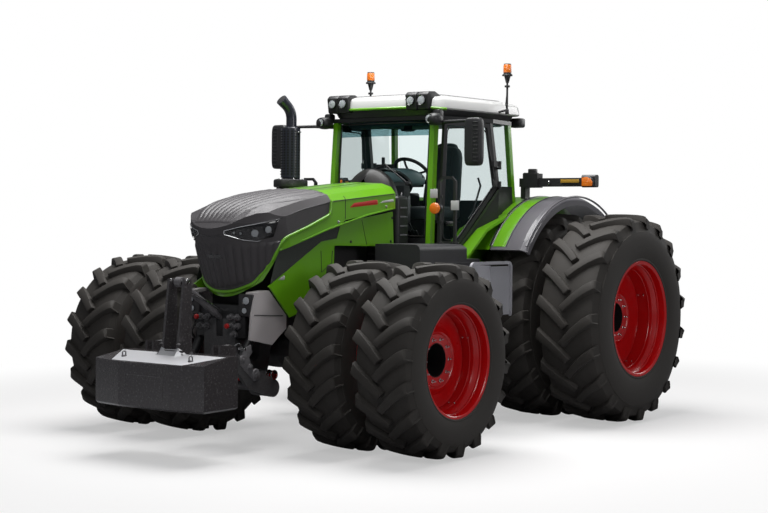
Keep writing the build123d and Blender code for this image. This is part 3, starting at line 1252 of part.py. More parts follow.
def make_front_top_link():
    """The top link: two eyes and a turnbuckle between them."""
    x, z = TOP_PIVOT
    top_pin = (x + LIFT_REACH[0], z + LIFT_REACH[1])
    length = math.hypot(*LIFT_REACH)
    along = (LIFT_REACH[0] / length, 0, LIFT_REACH[1] / length)
    with BuildPart() as link:
        for at in (TOP_PIVOT, top_pin):
            with BuildSketch(across(TOP_LINK_HALF)):
                with Locations(at):
                    Circle(LINK_PIN_R + 22)
            extrude(amount=2 * TOP_LINK_HALF)
        with BuildSketch(Plane(origin=(x, 0, z), x_dir=(0, 1, 0), z_dir=along)):
            Circle(24)
        extrude(amount=length)
        with BuildSketch(Plane(origin=(x + along[0] * 150, 0, z + along[2] * 150), x_dir=(0, 1, 0),
                               z_dir=along)):
            Circle(32)
        extrude(amount=length - 300)
        for at, play in ((TOP_PIVOT, SEAT_GAP), (top_pin, OPEN_PIN_GAP)):
            with BuildSketch(across(TOP_LINK_HALF + 1)):
                with Locations(at):
                    Circle(LINK_PIN_R + play)
            extrude(amount=2 * TOP_LINK_HALF + 2, mode=Mode.SUBTRACT)
    save(link, "front_top_link")


def cylinder_plane(down, along):
    """The plane across a lift cylinder's line, this far along it from the upper pin."""
    return Plane(origin=(CYLINDER_TOP[0] + down[0] * along, CYLINDER_Y, CYLINDER_TOP[1] + down[2] * along),
                 x_dir=(0, 1, 0), z_dir=down)


def make_front_cylinders():
    """The two lift cylinders: barrels hung from the frame and rods that reach the arms' pins."""
    foot = (LIFT_PIVOT[0] + CYLINDER_FOOT[0], LIFT_PIVOT[1] + CYLINDER_FOOT[1])
    run, drop = foot[0] - CYLINDER_TOP[0], foot[1] - CYLINDER_TOP[1]
    length = math.hypot(run, drop)
    down = (run / length, 0, drop / length)
    bore_r = CYLINDER_R - 10
    gland = length - 72
    with BuildPart() as barrels:
        with BuildSketch(side_plane(CYLINDER_Y + CYLINDER_R - 8)):
            with Locations(CYLINDER_TOP):
                Circle(CYLINDER_PIN_R + 20)
        extrude(amount=2 * CYLINDER_R - 16)
        with BuildSketch(cylinder_plane(down, 30)):
            Circle(CYLINDER_R)
        extrude(amount=gland - 30)
        with BuildSketch(cylinder_plane(down, 70)):
            Circle(bore_r)
        extrude(amount=gland, mode=Mode.SUBTRACT)
        with BuildSketch(side_plane(CYLINDER_Y + CYLINDER_R)):
            with Locations(CYLINDER_TOP):
                Circle(CYLINDER_PIN_R + SEAT_GAP)
        extrude(amount=2 * CYLINDER_R, mode=Mode.SUBTRACT)
        both_sides()
    save(barrels, "front_cylinder_barrels")
    with BuildPart() as rods:
        with BuildSketch(side_plane(CYLINDER_Y + 30)):
            with Locations(foot):
                Circle(CYLINDER_EYE_R + 16)
        extrude(amount=60)
        with BuildSketch(cylinder_plane(down, 76)):
            Circle(bore_r - SEAT_GAP)
        extrude(amount=30)
        with BuildSketch(cylinder_plane(down, 100)):
            Circle(22)
        extrude(amount=length - 100 - CYLINDER_EYE_R - 2)
        with BuildSketch(side_plane(CYLINDER_Y + 31)):
            with Locations(foot):
                Circle(CYLINDER_EYE_R)
        extrude(amount=62, mode=Mode.SUBTRACT)
        both_sides()
    save(rods, "front_cylinder_rods")


# ---------------------------------------------------------------- rear linkage and hitch
def make_rear_linkage():
    """Lower links, lift arms and lift rods as a parallelogram, with their housing above the axle."""
    px, pz = REAR_PIVOT
    hook = (px + REAR_LINK[0], pz + REAR_LINK[1])
    rod_foot = (px + REAR_LINK[0] * REAR_ROD_SHARE, pz + REAR_LINK[1] * REAR_ROD_SHARE)
    ax, az = REAR_ARM_PIVOT
    arm_tip = (ax + REAR_LINK[0] * REAR_ROD_SHARE, az + REAR_LINK[1] * REAR_ROD_SHARE)
    link_out = REAR_LINK_Y + REAR_LINK_WALL / 2
    rod_y = link_out + RUNNING_GAP + REAR_ROD_WALL / 2
    with BuildPart() as links:
        for at in (REAR_PIVOT, hook):
            with BuildSketch(side_plane(link_out)):
                with Locations(at):
                    Circle(REAR_EYE_R + REAR_EYE_WALL)
            extrude(amount=REAR_LINK_WALL)
        with BuildSketch(side_plane(link_out - 8)):
            Polygon((px, pz - 45), (px, pz + 45), (rod_foot[0], rod_foot[1] + 52), (hook[0], hook[1] + 38),
                    (hook[0], hook[1] - 38), (rod_foot[0], rod_foot[1] - 52), align=None)
        extrude(amount=REAR_LINK_WALL - 16)
        with BuildSketch(side_plane(rod_y + REAR_ROD_WALL / 2)):
            with Locations(rod_foot):
                Circle(REAR_PIN_R)
        extrude(amount=rod_y + REAR_ROD_WALL / 2 - REAR_LINK_Y)
        for at in (REAR_PIVOT, hook):
            with BuildSketch(side_plane(link_out)):
                with Locations(at):
                    Circle(REAR_EYE_R)
            extrude(amount=REAR_LINK_WALL, mode=Mode.SUBTRACT)
        both_sides()
    save(links, "rear_links")
    arm_out = LIFT_HOUSING_HALF + RUNNING_GAP + REAR_ARM_WALL
    with BuildPart() as arms:
        with BuildSketch(across(arm_out)):
            with Locations(REAR_ARM_PIVOT):
                Circle(REAR_SHAFT_R)
        extrude(amount=2 * arm_out)
        for y in (arm_out, -arm_out + REAR_ARM_WALL):
            with BuildSketch(side_plane(y)):
                with Locations(REAR_ARM_PIVOT):
                    Circle(REAR_SHAFT_R + 40)
                with Locations(arm_tip):
                    Circle(46)
                Polygon((ax, az + 80), (ax, az - 80), (arm_tip[0], arm_tip[1] - 45),
                        (arm_tip[0], arm_tip[1] + 45), align=None)
            extrude(amount=REAR_ARM_WALL)
        pin_end = rod_y + REAR_ROD_WALL / 2
        for y in (pin_end, -arm_out + 10):
            with BuildSketch(side_plane(y)):
                with Locations(arm_tip):
                    Circle(REAR_PIN_R)
            extrude(amount=pin_end - arm_out + 10)
    save(arms, "rear_lift_arms")
    with BuildPart() as rods:
        for at in (arm_tip, rod_foot):
            with BuildSketch(side_plane(rod_y + REAR_ROD_WALL / 2)):
                with Locations(at):
                    Circle(48)
            extrude(amount=REAR_ROD_WALL)
        length = math.hypot(rod_foot[0] - arm_tip[0], rod_foot[1] - arm_tip[1])
        down = ((rod_foot[0] - arm_tip[0]) / length, 0, (rod_foot[1] - arm_tip[1]) / length)
        with BuildSketch(Plane(origin=(arm_tip[0] + down[0] * 40, rod_y, arm_tip[1] + down[2] * 40),
                               x_dir=(0, 1, 0), z_dir=down)):
            Circle(REAR_ROD_WALL / 2 - 2)
        extrude(amount=length - 80)
        with BuildSketch(Plane(origin=(arm_tip[0] + down[0] * 90, rod_y, arm_tip[1] + down[2] * 90),
                               x_dir=(0, 1, 0), z_dir=down)):
            Circle(34)
        extrude(amount=length - 330)
        for at, play in ((arm_tip, SEAT_GAP), (rod_foot, OPEN_PIN_GAP)):
            with BuildSketch(side_plane(rod_y + REAR_ROD_WALL / 2)):
                with Locations(at):
                    Circle(REAR_PIN_R + play)
            extrude(amount=REAR_ROD_WALL, mode=Mode.SUBTRACT)
        both_sides()
    save(rods, "rear_lift_rods")
    with BuildPart() as housing:
        with BuildSketch(across(LIFT_HOUSING_HALF)):
            with Locations(REAR_ARM_PIVOT):
                Circle(110)
            Polygon((ax - 40, az + 100), (-330 - SEAT_GAP, az + 150), (-330 - SEAT_GAP, az - 150),
                    (ax - 40, az - 100), align=None)
        extrude(amount=2 * LIFT_HOUSING_HALF)
        with BuildSketch(across(LIFT_HOUSING_HALF)):
            with Locations(REAR_ARM_PIVOT):
                Circle(REAR_SHAFT_R + SEAT_GAP)
        extrude(amount=2 * LIFT_HOUSING_HALF, mode=Mode.SUBTRACT)
    save(housing, "lift_housing")


def make_hitch():
    """The drawbar, its cage, the lower link brackets and the power take-off shaft."""
    px, pz = REAR_PIVOT
    face = -330 - SEAT_GAP
    link_in = REAR_LINK_Y - REAR_LINK_WALL / 2 - RUNNING_GAP
    with BuildPart() as hitch:
        with BuildSketch(across(150)):
            Polygon((face, 560), (face, 980), (face - 40, 980), (face - 40, 520), (-560, 500), (-560, 400),
                    (-200, 400), (-200, 560), align=None)
        extrude(amount=300)
        with BuildSketch(across(DRAWBAR_HALF)):
            Polygon((-500, DRAWBAR_Z + DRAWBAR_WALL), (-500, DRAWBAR_Z), (-DRAWBAR_REACH, DRAWBAR_Z),
                    (-DRAWBAR_REACH, DRAWBAR_Z + DRAWBAR_WALL), align=None)
        extrude(amount=2 * DRAWBAR_HALF)
        with BuildSketch(Plane.XY.offset(DRAWBAR_Z)):
            with Locations((-DRAWBAR_REACH + 70, 0)):
                Circle(DRAWBAR_PIN_R)
        extrude(amount=DRAWBAR_WALL, mode=Mode.SUBTRACT)
        with BuildSketch(Plane(origin=(face - 20, 0, PTO_Z), x_dir=(0, 1, 0), z_dir=(-1, 0, 0))):
            Circle(PTO_R)
        extrude(amount=150)
        for y in (link_in, -300 - SEAT_GAP):
            with BuildSketch(side_plane(y)):
                with Locations(REAR_PIVOT):
                    Circle(REAR_EYE_R + 34)
                with Locations((px + 60, pz + 60)):
                    Rectangle(180, 160)
            extrude(amount=link_in - 300 - SEAT_GAP)
        for y in (REAR_LINK_Y + REAR_LINK_WALL / 2, -link_in + 20):
            with BuildSketch(side_plane(y)):
                with Locations(REAR_PIVOT):
                    Circle(REAR_EYE_R - SEAT_GAP)
            extrude(amount=REAR_LINK_Y + REAR_LINK_WALL / 2 - link_in + 20)
        with BuildSketch(Plane.XY.offset(400)):
            Polygon((-330, -link_in), (-330, link_in), (-150, link_in), (-150, -link_in), align=None)
        extrude(amount=60)
        for y in (link_in, -link_in + 40):
            with BuildSketch(side_plane(y)):
                Polygon((-330, 400), (-150, 400), (-150, 620), (-330, 620), align=None)
            extrude(amount=40)
    save(hitch, "hitch")


def main():
    """Make every piece in order, from the wheels to the hitch."""
    os.makedirs("parts", exist_ok=True)
    for name, side in (("left", 1), ("right", -1)):
        make_tyres(FRONT_WHEEL, side, f"tyres_front_{name}")
        make_tyres(REAR_WHEEL, side, f"tyres_rear_{name}")
        make_rims(FRONT_WHEEL, side, f"rims_front_{name}")
        make_rims(REAR_WHEEL, side, f"rims_rear_{name}")
        make_knuckle(side, f"knuckle_{name}")
        make_door(side, name)
    for make in (make_rear_axle, make_front_axle, make_front_frame, make_engine_block, make_transmission,
                 make_engine_panels, make_front_cover, make_bonnet, make_cowl, make_exhaust, make_tanks,
                 make_steps, make_fenders, make_cab_frame, make_cab_posts, make_cab_floor,
                 make_cab_glass, make_roof, make_cab_inside,
                 make_cab_fittings, make_front_arms, make_front_weight, make_front_top_link,
                 make_front_cylinders, make_rear_linkage, make_hitch):
        make()


main()
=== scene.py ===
"""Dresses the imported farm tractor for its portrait.

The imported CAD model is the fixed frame. Each sub-assembly below is a class that models its own
pieces with bmesh operators and gives them their finishes. Lengths are metres, and places are
taken from the frame: x ahead of the rear axle through at(), y to the driver's left, z above the
ground.
"""

import logging
import math
from dataclasses import dataclass, field
from enum import Enum
from typing import Any, Callable, Iterable, Sequence

import bmesh
import bpy
from mathutils import Matrix, Vector
from mathutils.bvhtree import BVHTree


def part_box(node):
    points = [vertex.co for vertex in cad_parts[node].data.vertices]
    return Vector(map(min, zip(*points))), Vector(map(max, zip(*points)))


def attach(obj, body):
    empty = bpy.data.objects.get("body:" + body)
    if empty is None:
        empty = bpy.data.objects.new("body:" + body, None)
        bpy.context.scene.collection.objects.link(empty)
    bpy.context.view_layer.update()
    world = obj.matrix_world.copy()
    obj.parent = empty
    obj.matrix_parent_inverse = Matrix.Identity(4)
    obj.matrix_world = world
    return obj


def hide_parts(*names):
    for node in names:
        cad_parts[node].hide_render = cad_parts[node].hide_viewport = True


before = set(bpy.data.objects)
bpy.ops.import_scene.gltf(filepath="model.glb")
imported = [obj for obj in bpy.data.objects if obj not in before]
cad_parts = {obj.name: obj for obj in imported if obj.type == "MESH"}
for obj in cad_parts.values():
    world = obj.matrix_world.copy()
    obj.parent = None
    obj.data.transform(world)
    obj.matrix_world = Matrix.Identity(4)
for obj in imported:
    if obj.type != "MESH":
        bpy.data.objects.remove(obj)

log = logging.getLogger("tractor")

Point = Sequence[float]
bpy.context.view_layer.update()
DOWN, BACKWARDS, INWARDS, FORWARDS, UP = (0, 0, -1), (-1, 0, 0), (0, -1, 0), (1, 0, 0), (0, 0, 1)
REAR_AXLE_X = sum(corner.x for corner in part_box("tyres_rear_left")) / 2
SEAM, THIN = 0.0035, 8  # radius of a shut line and the sides of a thin tube
DRAFT = 0.92  # how much a cast boss narrows to its face


def at(x: float, y: float, z: float) -> Vector:
    """The place x ahead of the rear axle, y to the left and z above the ground, in the frame."""
    return Vector((REAR_AXLE_X + x, y, z))


def by(x: float, y: float, z: float) -> Vector:
    """A step this far ahead, to the left and up."""
    return Vector((x, y, z))


def leaning(degrees: float) -> Matrix:
    """A turn about the axis that runs across the tractor."""
    return Matrix.Rotation(math.radians(degrees), 4, "Y")


def flank(places: Iterable[tuple[float, float]], y: float = 1.2) -> list[Vector]:
    """Places beside the tractor's left flank, each given by x and z."""
    return [at(x, y, z) for x, z in places]


def span(node: str) -> tuple[Vector, Vector]:
    """The lowest and highest corners of a CAD node, with x measured ahead of the rear axle.

    Args:
        node: The CAD node's name.

    Returns:
        Its lowest and highest corners.
    """
    low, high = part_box(node)
    shift = by(REAR_AXLE_X, 0, 0)
    return low - shift, high - shift


# ---------------------------------------------------------------- shader graphs
class Term:
    """A socket's value in a sum. Each operator adds the Math node that works it out."""

    def __init__(self, graph: "Graph", socket: bpy.types.NodeSocket) -> None:
        """Wraps one output socket of the graph."""
        self.graph = graph
        self.socket = socket

    def __add__(self, other: "Term | float") -> "Term":
        """The sum."""
        return self.graph.math("ADD", self, other)

    def __mul__(self, other: "Term | float") -> "Term":
        """The product."""
        return self.graph.math("MULTIPLY", self, other)


class Graph:
    """The node tree of one material."""

    def __init__(self, name: str) -> None:
        """Starts an empty material of this name.

        Args:
            name: The material's name.
        """
        self.material = bpy.data.materials.new(name)
        self.material.use_nodes = True
        self.tree = self.material.node_tree
        self.tree.nodes.clear()
        self.place = None

    def node(self, kind: str, settings: dict[str, Any] | None = None,
             values: dict[str | int, Any] | None = None) -> bpy.types.Node:
        """Adds a node.

        Args:
            kind: The node's type.
            settings: Properties to set first.
            values: A number, colour or Term for each named or numbered input socket.

        Returns:
            The new node.
        """
        made = self.tree.nodes.new(kind)
        for key, value in (settings or {}).items():
            setattr(made, key, value)
        for key, value in (values or {}).items():
            socket = made.inputs[key]
            if isinstance(value, Term):
                self.tree.links.new(value.socket, socket)
            elif socket.type == "RGBA" and len(value) == 3:
                socket.default_value = (*value, 1.0)
            else:
                socket.default_value = value
        return made

    def math(self, operation: str, first: Term, second: Term | float) -> Term:
        """A Math node on one or two values.

        Args:
            operation: The sum to do.
            first: The first value.
            second: The second value.

        Returns:
            The result.
        """
        made = self.node("ShaderNodeMath", {"operation": operation}, {0: first, 1: second})
        return Term(self, made.outputs[0])

    def position(self) -> Term:
        """The place on the object, read once for the whole graph.

        Returns:
            The object's own coordinates.
        """
        if self.place is None:
            self.place = Term(self, self.node("ShaderNodeTexCoord").outputs["Object"])
        return self.place

    def mapped(self, scale: Point, shift: Point = (0, 0, 0)) -> Term:
        """The object's place, scaled and shifted.

        Args:
            scale: Stretch along each axis.
            shift: Distance moved along each axis.

        Returns:
            The new coordinates.
        """
        made = self.node("ShaderNodeMapping", {}, {"Vector": self.position(), "Location": shift,
                                                   "Scale": scale})
        return Term(self, made.outputs[0])

    def noise(self, scale: float, detail: float = 3.0, rough: float = 0.5,
              stretch: Point = (1, 1, 1)) -> Term:
        """Noise between 0 and 1 with this many grains to the metre.

        Args:
            scale: Grains to the metre.
            detail: Octaves of finer grain.
            rough: Strength of the finer grain.
            stretch: Stretch along each axis.

        Returns:
            A value between 0 and 1.
        """
        made = self.node("ShaderNodeTexNoise", {}, {"Vector": self.mapped(stretch), "Scale": scale,
                                                    "Detail": detail, "Roughness": rough})
        return Term(self, made.outputs[0])

    def cells(self, scale: float) -> Term:
        """A Voronoi texture's distance with this many cells to the metre.

        Args:
            scale: Cells to the metre.

        Returns:
            Distance to the cell's middle.
        """
        made = self.node("ShaderNodeTexVoronoi", {}, {"Vector": self.position(), "Scale": scale})
        return Term(self, made.outputs["Distance"])

    def waves(self, scale: float, direction: str) -> Term:
        """Bands across one axis: X, Y or Z.

        Args:
            scale: Density of the bands.
            direction: The axis they cross.

        Returns:
            A value between 0 and 1.
        """
        made = self.node("ShaderNodeTexWave", {"wave_type": "BANDS", "bands_direction": direction},
                         {"Vector": self.position(), "Scale": scale})
        return Term(self, made.outputs["Fac"])

    def axis(self, name: str) -> Term:
        """The object's X, Y or Z coordinate."""
        made = self.node("ShaderNodeSeparateXYZ", {}, {0: self.position()})
        return Term(self, made.outputs[name])

    def step(self, value: Term, low: float, high: float) -> Term:
        """0 below low, 1 above high and a smooth rise between them.

        Args:
            value: What is compared.
            low: Where the rise starts.
            high: Where it ends.

        Returns:
            A value between 0 and 1.
        """
        made = self.node("ShaderNodeMapRange", {"interpolation_type": "SMOOTHSTEP"},
                         {"Value": value, "From Min": low, "From Max": high})
        return Term(self, made.outputs["Result"])

    def mix(self, first: Term | Point, second: Term | Point, factor: Term | float) -> Term:
        """A blend of two colours."""
        made = self.node("ShaderNodeMix", {"data_type": "RGBA"}, {0: factor, 6: first, 7: second})
        return Term(self, made.outputs[2])

    def bump(self, height: Term, depth: float, strength: float = 1.0) -> Term:
        """A normal that lifts the surface by depth metres where height is 1.

        Args:
            height: Where the surface stands up, from 0 to 1.
            depth: How far, in metres.
            strength: Share of the effect.

        Returns:
            The normal.
        """
        made = self.node("ShaderNodeBump", {},
                         {"Height": height, "Distance": depth, "Strength": strength})
        return Term(self, made.outputs["Normal"])

    def principled(self, values: dict[str, Any]) -> Term:
        """A Principled surface with these inputs."""
        return Term(self, self.node("ShaderNodeBsdfPrincipled", {}, values).outputs[0])

    def finish(self, surface: Term) -> bpy.types.Material:
        """Connects the surface to the output and returns the material."""
        self.node("ShaderNodeOutputMaterial", {}, {"Surface": surface})
        return self.material


# ---------------------------------------------------------------- finishes
DUST = (0.16, 0.14, 0.115)
# Painted shade: the black seen down small holes.
PAINTED_SHADE_BLACK = (0.002, 0.002, 0.002)


@dataclass(frozen=True)
class Finish:
    """What every finish has: its own name, the record's slot it stands for, and a base colour."""

    name: str
    slot: str
    colour: tuple[float, float, float]

    def material(self) -> bpy.types.Material:
        """The finish's material, made once and then shared."""
        found = bpy.data.materials.get(self.name)
        return found or self.make(Graph(self.name))

    def tone(self, factor: float) -> tuple[float, ...]:
        """The base colour, darkened or brightened by a factor."""
        return tuple(part * factor for part in self.colour)

    def make(self, graph: Graph) -> bpy.types.Material:
        """Fills the graph. Each kind of finish has its own way."""
        raise NotImplementedError


@dataclass(frozen=True)
class Paint(Finish):
    """Sprayed and lacquered metal, with a faint orange peel and a little road dust low down."""

    rough: float = 0.32
    coat: float = 0.6
    peel: float = 0.00012
    dust: float = 0.25

    def make(self, graph: Graph) -> bpy.types.Material:
        """Lacquered colour whose tone and gloss drift slowly over the panel.

        Args:
            graph: The material's empty graph.

        Returns:
            The finished material.
        """
        drift = graph.noise(1.7, 3)
        dark = self.tone(0.88)
        tone = graph.mix(dark, self.colour, drift)
        dust = graph.step(graph.noise(9, 6, 0.7) + graph.axis("Z") * -0.35, 0.25, 0.7) * self.dust
        shade = graph.mix(tone, DUST, dust * 0.35)
        grain = graph.noise(420, 2)
        return graph.finish(graph.principled({
            "Base Color": shade,
            "Roughness": graph.noise(26, 4) * 0.12 + dust * 0.3 + (self.rough - 0.06),
            "Coat Weight": self.coat,
            "Coat Roughness": 0.08,
            "Normal": graph.bump(grain, self.peel),
        }))


@dataclass(frozen=True)
class Plastic(Finish):
    """Moulded plastic with a fine leather grain."""

    rough: float = 0.5
    grain: float = 0.00035
    grains: float = 260.0

    def make(self, graph: Graph) -> bpy.types.Material:
        """A grained skin, a little paler on the crowns of its grain.

        Args:
            graph: The material's empty graph.

        Returns:
            The finished material.
        """
        cells = graph.cells(self.grains)
        drift = graph.noise(3.0, 4)
        pale = self.tone(1.35)
        shade = graph.mix(self.colour, pale, cells * 0.35 + drift * 0.3)
        return graph.finish(graph.principled({
            "Base Color": shade,
            "Roughness": graph.noise(14, 4) * 0.16 + (self.rough - 0.08),
            "Normal": graph.bump(cells, self.grain),
        }))


@dataclass(frozen=True)
class Casting(Finish):
    """Painted cast iron: a pebbly skin with rubbed high spots."""

    rough: float = 0.5
    pebble: float = 0.0012
    coat: float = 0.15

    def make(self, graph: Graph) -> bpy.types.Material:
        """Two sizes of pebble under satin paint.

        Args:
            graph: The material's empty graph.

        Returns:
            The finished material.
        """
        coarse = graph.noise(55, 5, 0.6)
        fine = graph.noise(240, 3)
        pale = self.tone(1.3)
        dark = self.tone(0.75)
        shade = graph.mix(dark, pale, graph.step(coarse, 0.3, 0.7) * 0.7 + fine * 0.3)
        return graph.finish(graph.principled({
            "Base Color": shade,
            "Roughness": coarse * 0.25 + (self.rough - 0.12),
            "Coat Weight": self.coat,
            "Coat Roughness": 0.16,
            "Normal": graph.bump(coarse * 0.7 + fine * 0.3, self.pebble),
        }))


@dataclass(frozen=True)
class Rubber(Finish):
    """Tyre rubber: dull in its pores, a little shinier and browner where it is handled."""

    rough: float = 0.55

    def make(self, graph: Graph) -> bpy.types.Material:
        """Fine pores with brown dust that gathers in patches.

        Args:
            graph: The material's empty graph.

        Returns:
            The finished material.
        """
        pores = graph.noise(180, 5, 0.65)
        patches = graph.step(graph.noise(5.5, 5, 0.6), 0.35, 0.75)
        brown = (self.colour[0] * 2.1, self.colour[1] * 1.8, self.colour[2] * 1.55)
        shade = graph.mix(self.colour, brown, patches * 0.6 + pores * 0.15)
        return graph.finish(graph.principled({
            "Base Color": shade,
            "Roughness": pores * 0.2 + patches * 0.12 + (self.rough - 0.16),
            "Specular IOR Level": 0.42,
            "Normal": graph.bump(pores, 0.0009),
        }))


@dataclass(frozen=True)
class Steel(Finish):
    """Bare or plated metal with fine brush lines."""

    rough: float = 0.22

    def make(self, graph: Graph) -> bpy.types.Material:
        """Bright metal, its gloss streaked along the piece.

        Args:
            graph: The material's empty graph.

        Returns:
            The finished material.
        """
        streaks = graph.noise(60, 4, 0.6, (1, 8, 8))
        shade = graph.mix(self.tone(0.8), self.colour, streaks)
        return graph.finish(graph.principled({
            "Base Color": shade,
            "Metallic": 1.0,
            "Roughness": streaks * 0.16 + self.rough * 0.6,
            "Normal": graph.bump(streaks, 0.00008),
        }))


@dataclass(frozen=True)
class Glass(Finish):
    """A tinted safety pane that light passes through."""

    clear: tuple[float, float, float] = (0.965, 0.993, 0.992)
    film: float = 0.012
    gloss: float = 0.22

    def make(self, graph: Graph) -> bpy.types.Material:
        """A thin coloured pane, see-through but for a film that grows at grazing angles.

        Args:
            graph: The material's empty graph.

        Returns:
            The finished material.
        """
        facing = graph.node("ShaderNodeLayerWeight", {}, {"Blend": 0.35})
        through = Term(graph,
                       graph.node("ShaderNodeBsdfTransparent", {},
                                  {"Color": self.clear}).outputs[0])
        film = graph.principled({
            "Base Color": self.colour,
            "Roughness": 0.03,
            "Coat Weight": 0.5,
            "Normal": graph.bump(graph.noise(2.2, 1), 0.0006),
        })
        share = Term(graph, facing.outputs["Fresnel"]) * self.gloss + self.film
        mixed = graph.node("ShaderNodeMixShader", {}, {0: share, 1: through, 2: film})
        return graph.finish(Term(graph, mixed.outputs[0]))


@dataclass(frozen=True)
class Lens(Finish):
    """A moulded lamp lens, ribbed inside and clear outside."""

    ribs: float = 60.0
    glow: float = 0.0

    def make(self, graph: Graph) -> bpy.types.Material:
        """Coloured plastic whose prisms show as fine crossed ribs.

        Args:
            graph: The material's empty graph.

        Returns:
            The finished material.
        """
        ribs = graph.waves(self.ribs, "Z") * graph.waves(self.ribs, "Y")
        shade = graph.mix(self.tone(0.55), self.colour, ribs)
        return graph.finish(graph.principled({
            "Base Color": shade,
            "Roughness": 0.16,
            "Coat Weight": 1.0,
            "Coat Roughness": 0.03,
            "Emission Color": shade,
            "Emission Strength": self.glow,
            "Normal": graph.bump(ribs, 0.0012),
        }))


@dataclass(frozen=True)
class Mesh(Finish):
    """Pressed sheet with rows of small round holes."""

    holes: float = 90.0

    def make(self, graph: Graph) -> bpy.types.Material:
        """Black holes that paint the shade inside them, in a satin sheet, sunk at their edges.

        Args:
            graph: The material's empty graph.

        Returns:
            The finished material.
        """
        rows = graph.waves(self.holes, "X") * graph.waves(self.holes, "Z")
        sheet = graph.step(rows, 0.55, 0.30)
        pale = self.tone(3.0)
        return graph.finish(graph.principled({
            "Base Color": graph.mix(PAINTED_SHADE_BLACK, pale, sheet),
            "Roughness": sheet * -0.3 + 0.75,
            "Normal": graph.bump(sheet, 0.001),
        }))


@dataclass(frozen=True)
class Cloth(Finish):
    """Woven seat cloth."""

    threads: float = 420.0

    def make(self, graph: Graph) -> bpy.types.Material:
        """Crossed threads over a slow drift of wear.

        Args:
            graph: The material's empty graph.

        Returns:
            The finished material.
        """
        weave = graph.waves(self.threads, "X") * 0.5 + graph.waves(self.threads, "Z") * 0.5
        drift = graph.noise(7, 4)
        pale = self.tone(1.7)
        shade = graph.mix(self.colour, pale, weave * 0.5 + drift * 0.4)
        return graph.finish(graph.principled({
            "Base Color": shade,
            "Roughness": 0.9,
            "Sheen Weight": 0.3,
            "Normal": graph.bump(weave, 0.0006),
        }))


GREEN = Paint("green_lacquer", "green_paint", (0.140, 0.400, 0.007))
RIM_RED = Paint("rim_red_lacquer", "rim_red", (0.58, 0.0014, 0.0028), rough=0.30, coat=0.35,
                dust=0.02)
WHITE = Paint("roof_white", "white_plastic", (0.56, 0.56, 0.55), rough=0.38, dust=0.05)
SILVER = Paint("stripe_silver", "white_plastic", (0.55, 0.56, 0.57), rough=0.3, dust=0.05)
STRIPE_RED = Paint("stripe_red", "rim_red", (0.55, 0.02, 0.015), rough=0.3, dust=0.05)
CHARCOAL = Plastic("charcoal_moulding", "charcoal_plastic", (0.046, 0.042, 0.045), rough=0.48)
BLACK = Plastic("black_moulding", "charcoal_plastic", (0.016, 0.016, 0.017), rough=0.42)
GLOSS_BLACK = Paint("gloss_black", "black_metal", (0.010, 0.010, 0.012), rough=0.2, coat=0.8,
                    dust=0.05)
GREY = Plastic("grey_moulding", "grey_plastic", (0.105, 0.104, 0.112), rough=0.46)
BLACK_METAL = Paint("satin_black", "black_metal", (0.018, 0.018, 0.019), rough=0.42, coat=0.2,
                    dust=0.2)
CAST_GREY = Casting("frame_casting", "cast_grey", (0.075, 0.073, 0.075))
DARK_CAST = Casting("dark_casting", "cast_grey", (0.028, 0.027, 0.028))
BALLAST = Casting("ballast_casting", "ballast_grey", (0.055, 0.050, 0.052), rough=0.24,
                  pebble=0.00012, coat=1.0)
TYRE = Rubber("tyre_rubber", "tyre_rubber", (0.0050, 0.0040, 0.0034), rough=0.44)
HOSE = Rubber("hose_rubber", "tyre_rubber", (0.012, 0.012, 0.012), rough=0.45)
BRIGHT = Steel("bright_steel", "bright_steel", (0.62, 0.61, 0.60))
CHROME = Steel("lamp_chrome", "bright_steel", (0.86, 0.87, 0.88), rough=0.06)
PANE = Glass("cab_glass", "tinted_glass", (0.010, 0.030, 0.030))
AMBER = Lens("amber_lens", "amber_lamp", (0.85, 0.20, 0.01), glow=0.35)
CLEAR_LENS = Lens("clear_lens", "bright_steel", (0.72, 0.76, 0.80), ribs=90)
RED_LENS = Lens("red_lens", "amber_lamp", (0.5, 0.01, 0.01))
SEAT_CLOTH = Cloth("seat_cloth", "seat_fabric", (0.030, 0.042, 0.045))
LAMP_COVER = Glass("lamp_cover", "tinted_glass", (0.02, 0.02, 0.02), clear=(0.96, 0.96, 0.96),
                   film=0.05)
# The mesh's near-black colour is partly its own and partly painted shade for the shadow on it.
MESH = Mesh("air_mesh", "charcoal_plastic", (0.005, 0.007, 0.005))
COVER_GREY = Plastic("cover_grey", "cast_grey", (0.44, 0.41, 0.41), rough=0.40)
RED_CAP = Plastic("red_cap", "rim_red", (0.45, 0.012, 0.012), rough=0.4)
MIRROR = Steel("mirror_glass", "bright_steel", (0.78, 0.80, 0.82), rough=0.02)
# A dark band on the windscreen's top: painted shade under the roof's edge.
SCREEN_PAINTED_SHADE = Glass("screen_shade", "tinted_glass", (0.010, 0.020, 0.022), clear=(0.22, 0.36, 0.38),
              film=0.03)
DASH = Plastic("dash_moulding", "grey_plastic", (0.15, 0.22, 0.23), rough=0.45)
ORANGE_KEY = Plastic("orange_key", "amber_lamp", (0.75, 0.22, 0.02), rough=0.4)
FENDER_GREY = Paint("fender_grey", "grey_plastic", (0.125, 0.120, 0.132), rough=0.34, coat=0.4,
                    dust=0.1)
LINK_GREY = Casting("link_grey", "bright_steel", (0.13, 0.125, 0.13), rough=0.42, pebble=0.0004)
STACK = Paint("stack_black", "black_metal", (0.018, 0.020, 0.031), rough=0.30, coat=0.3, dust=0.1)
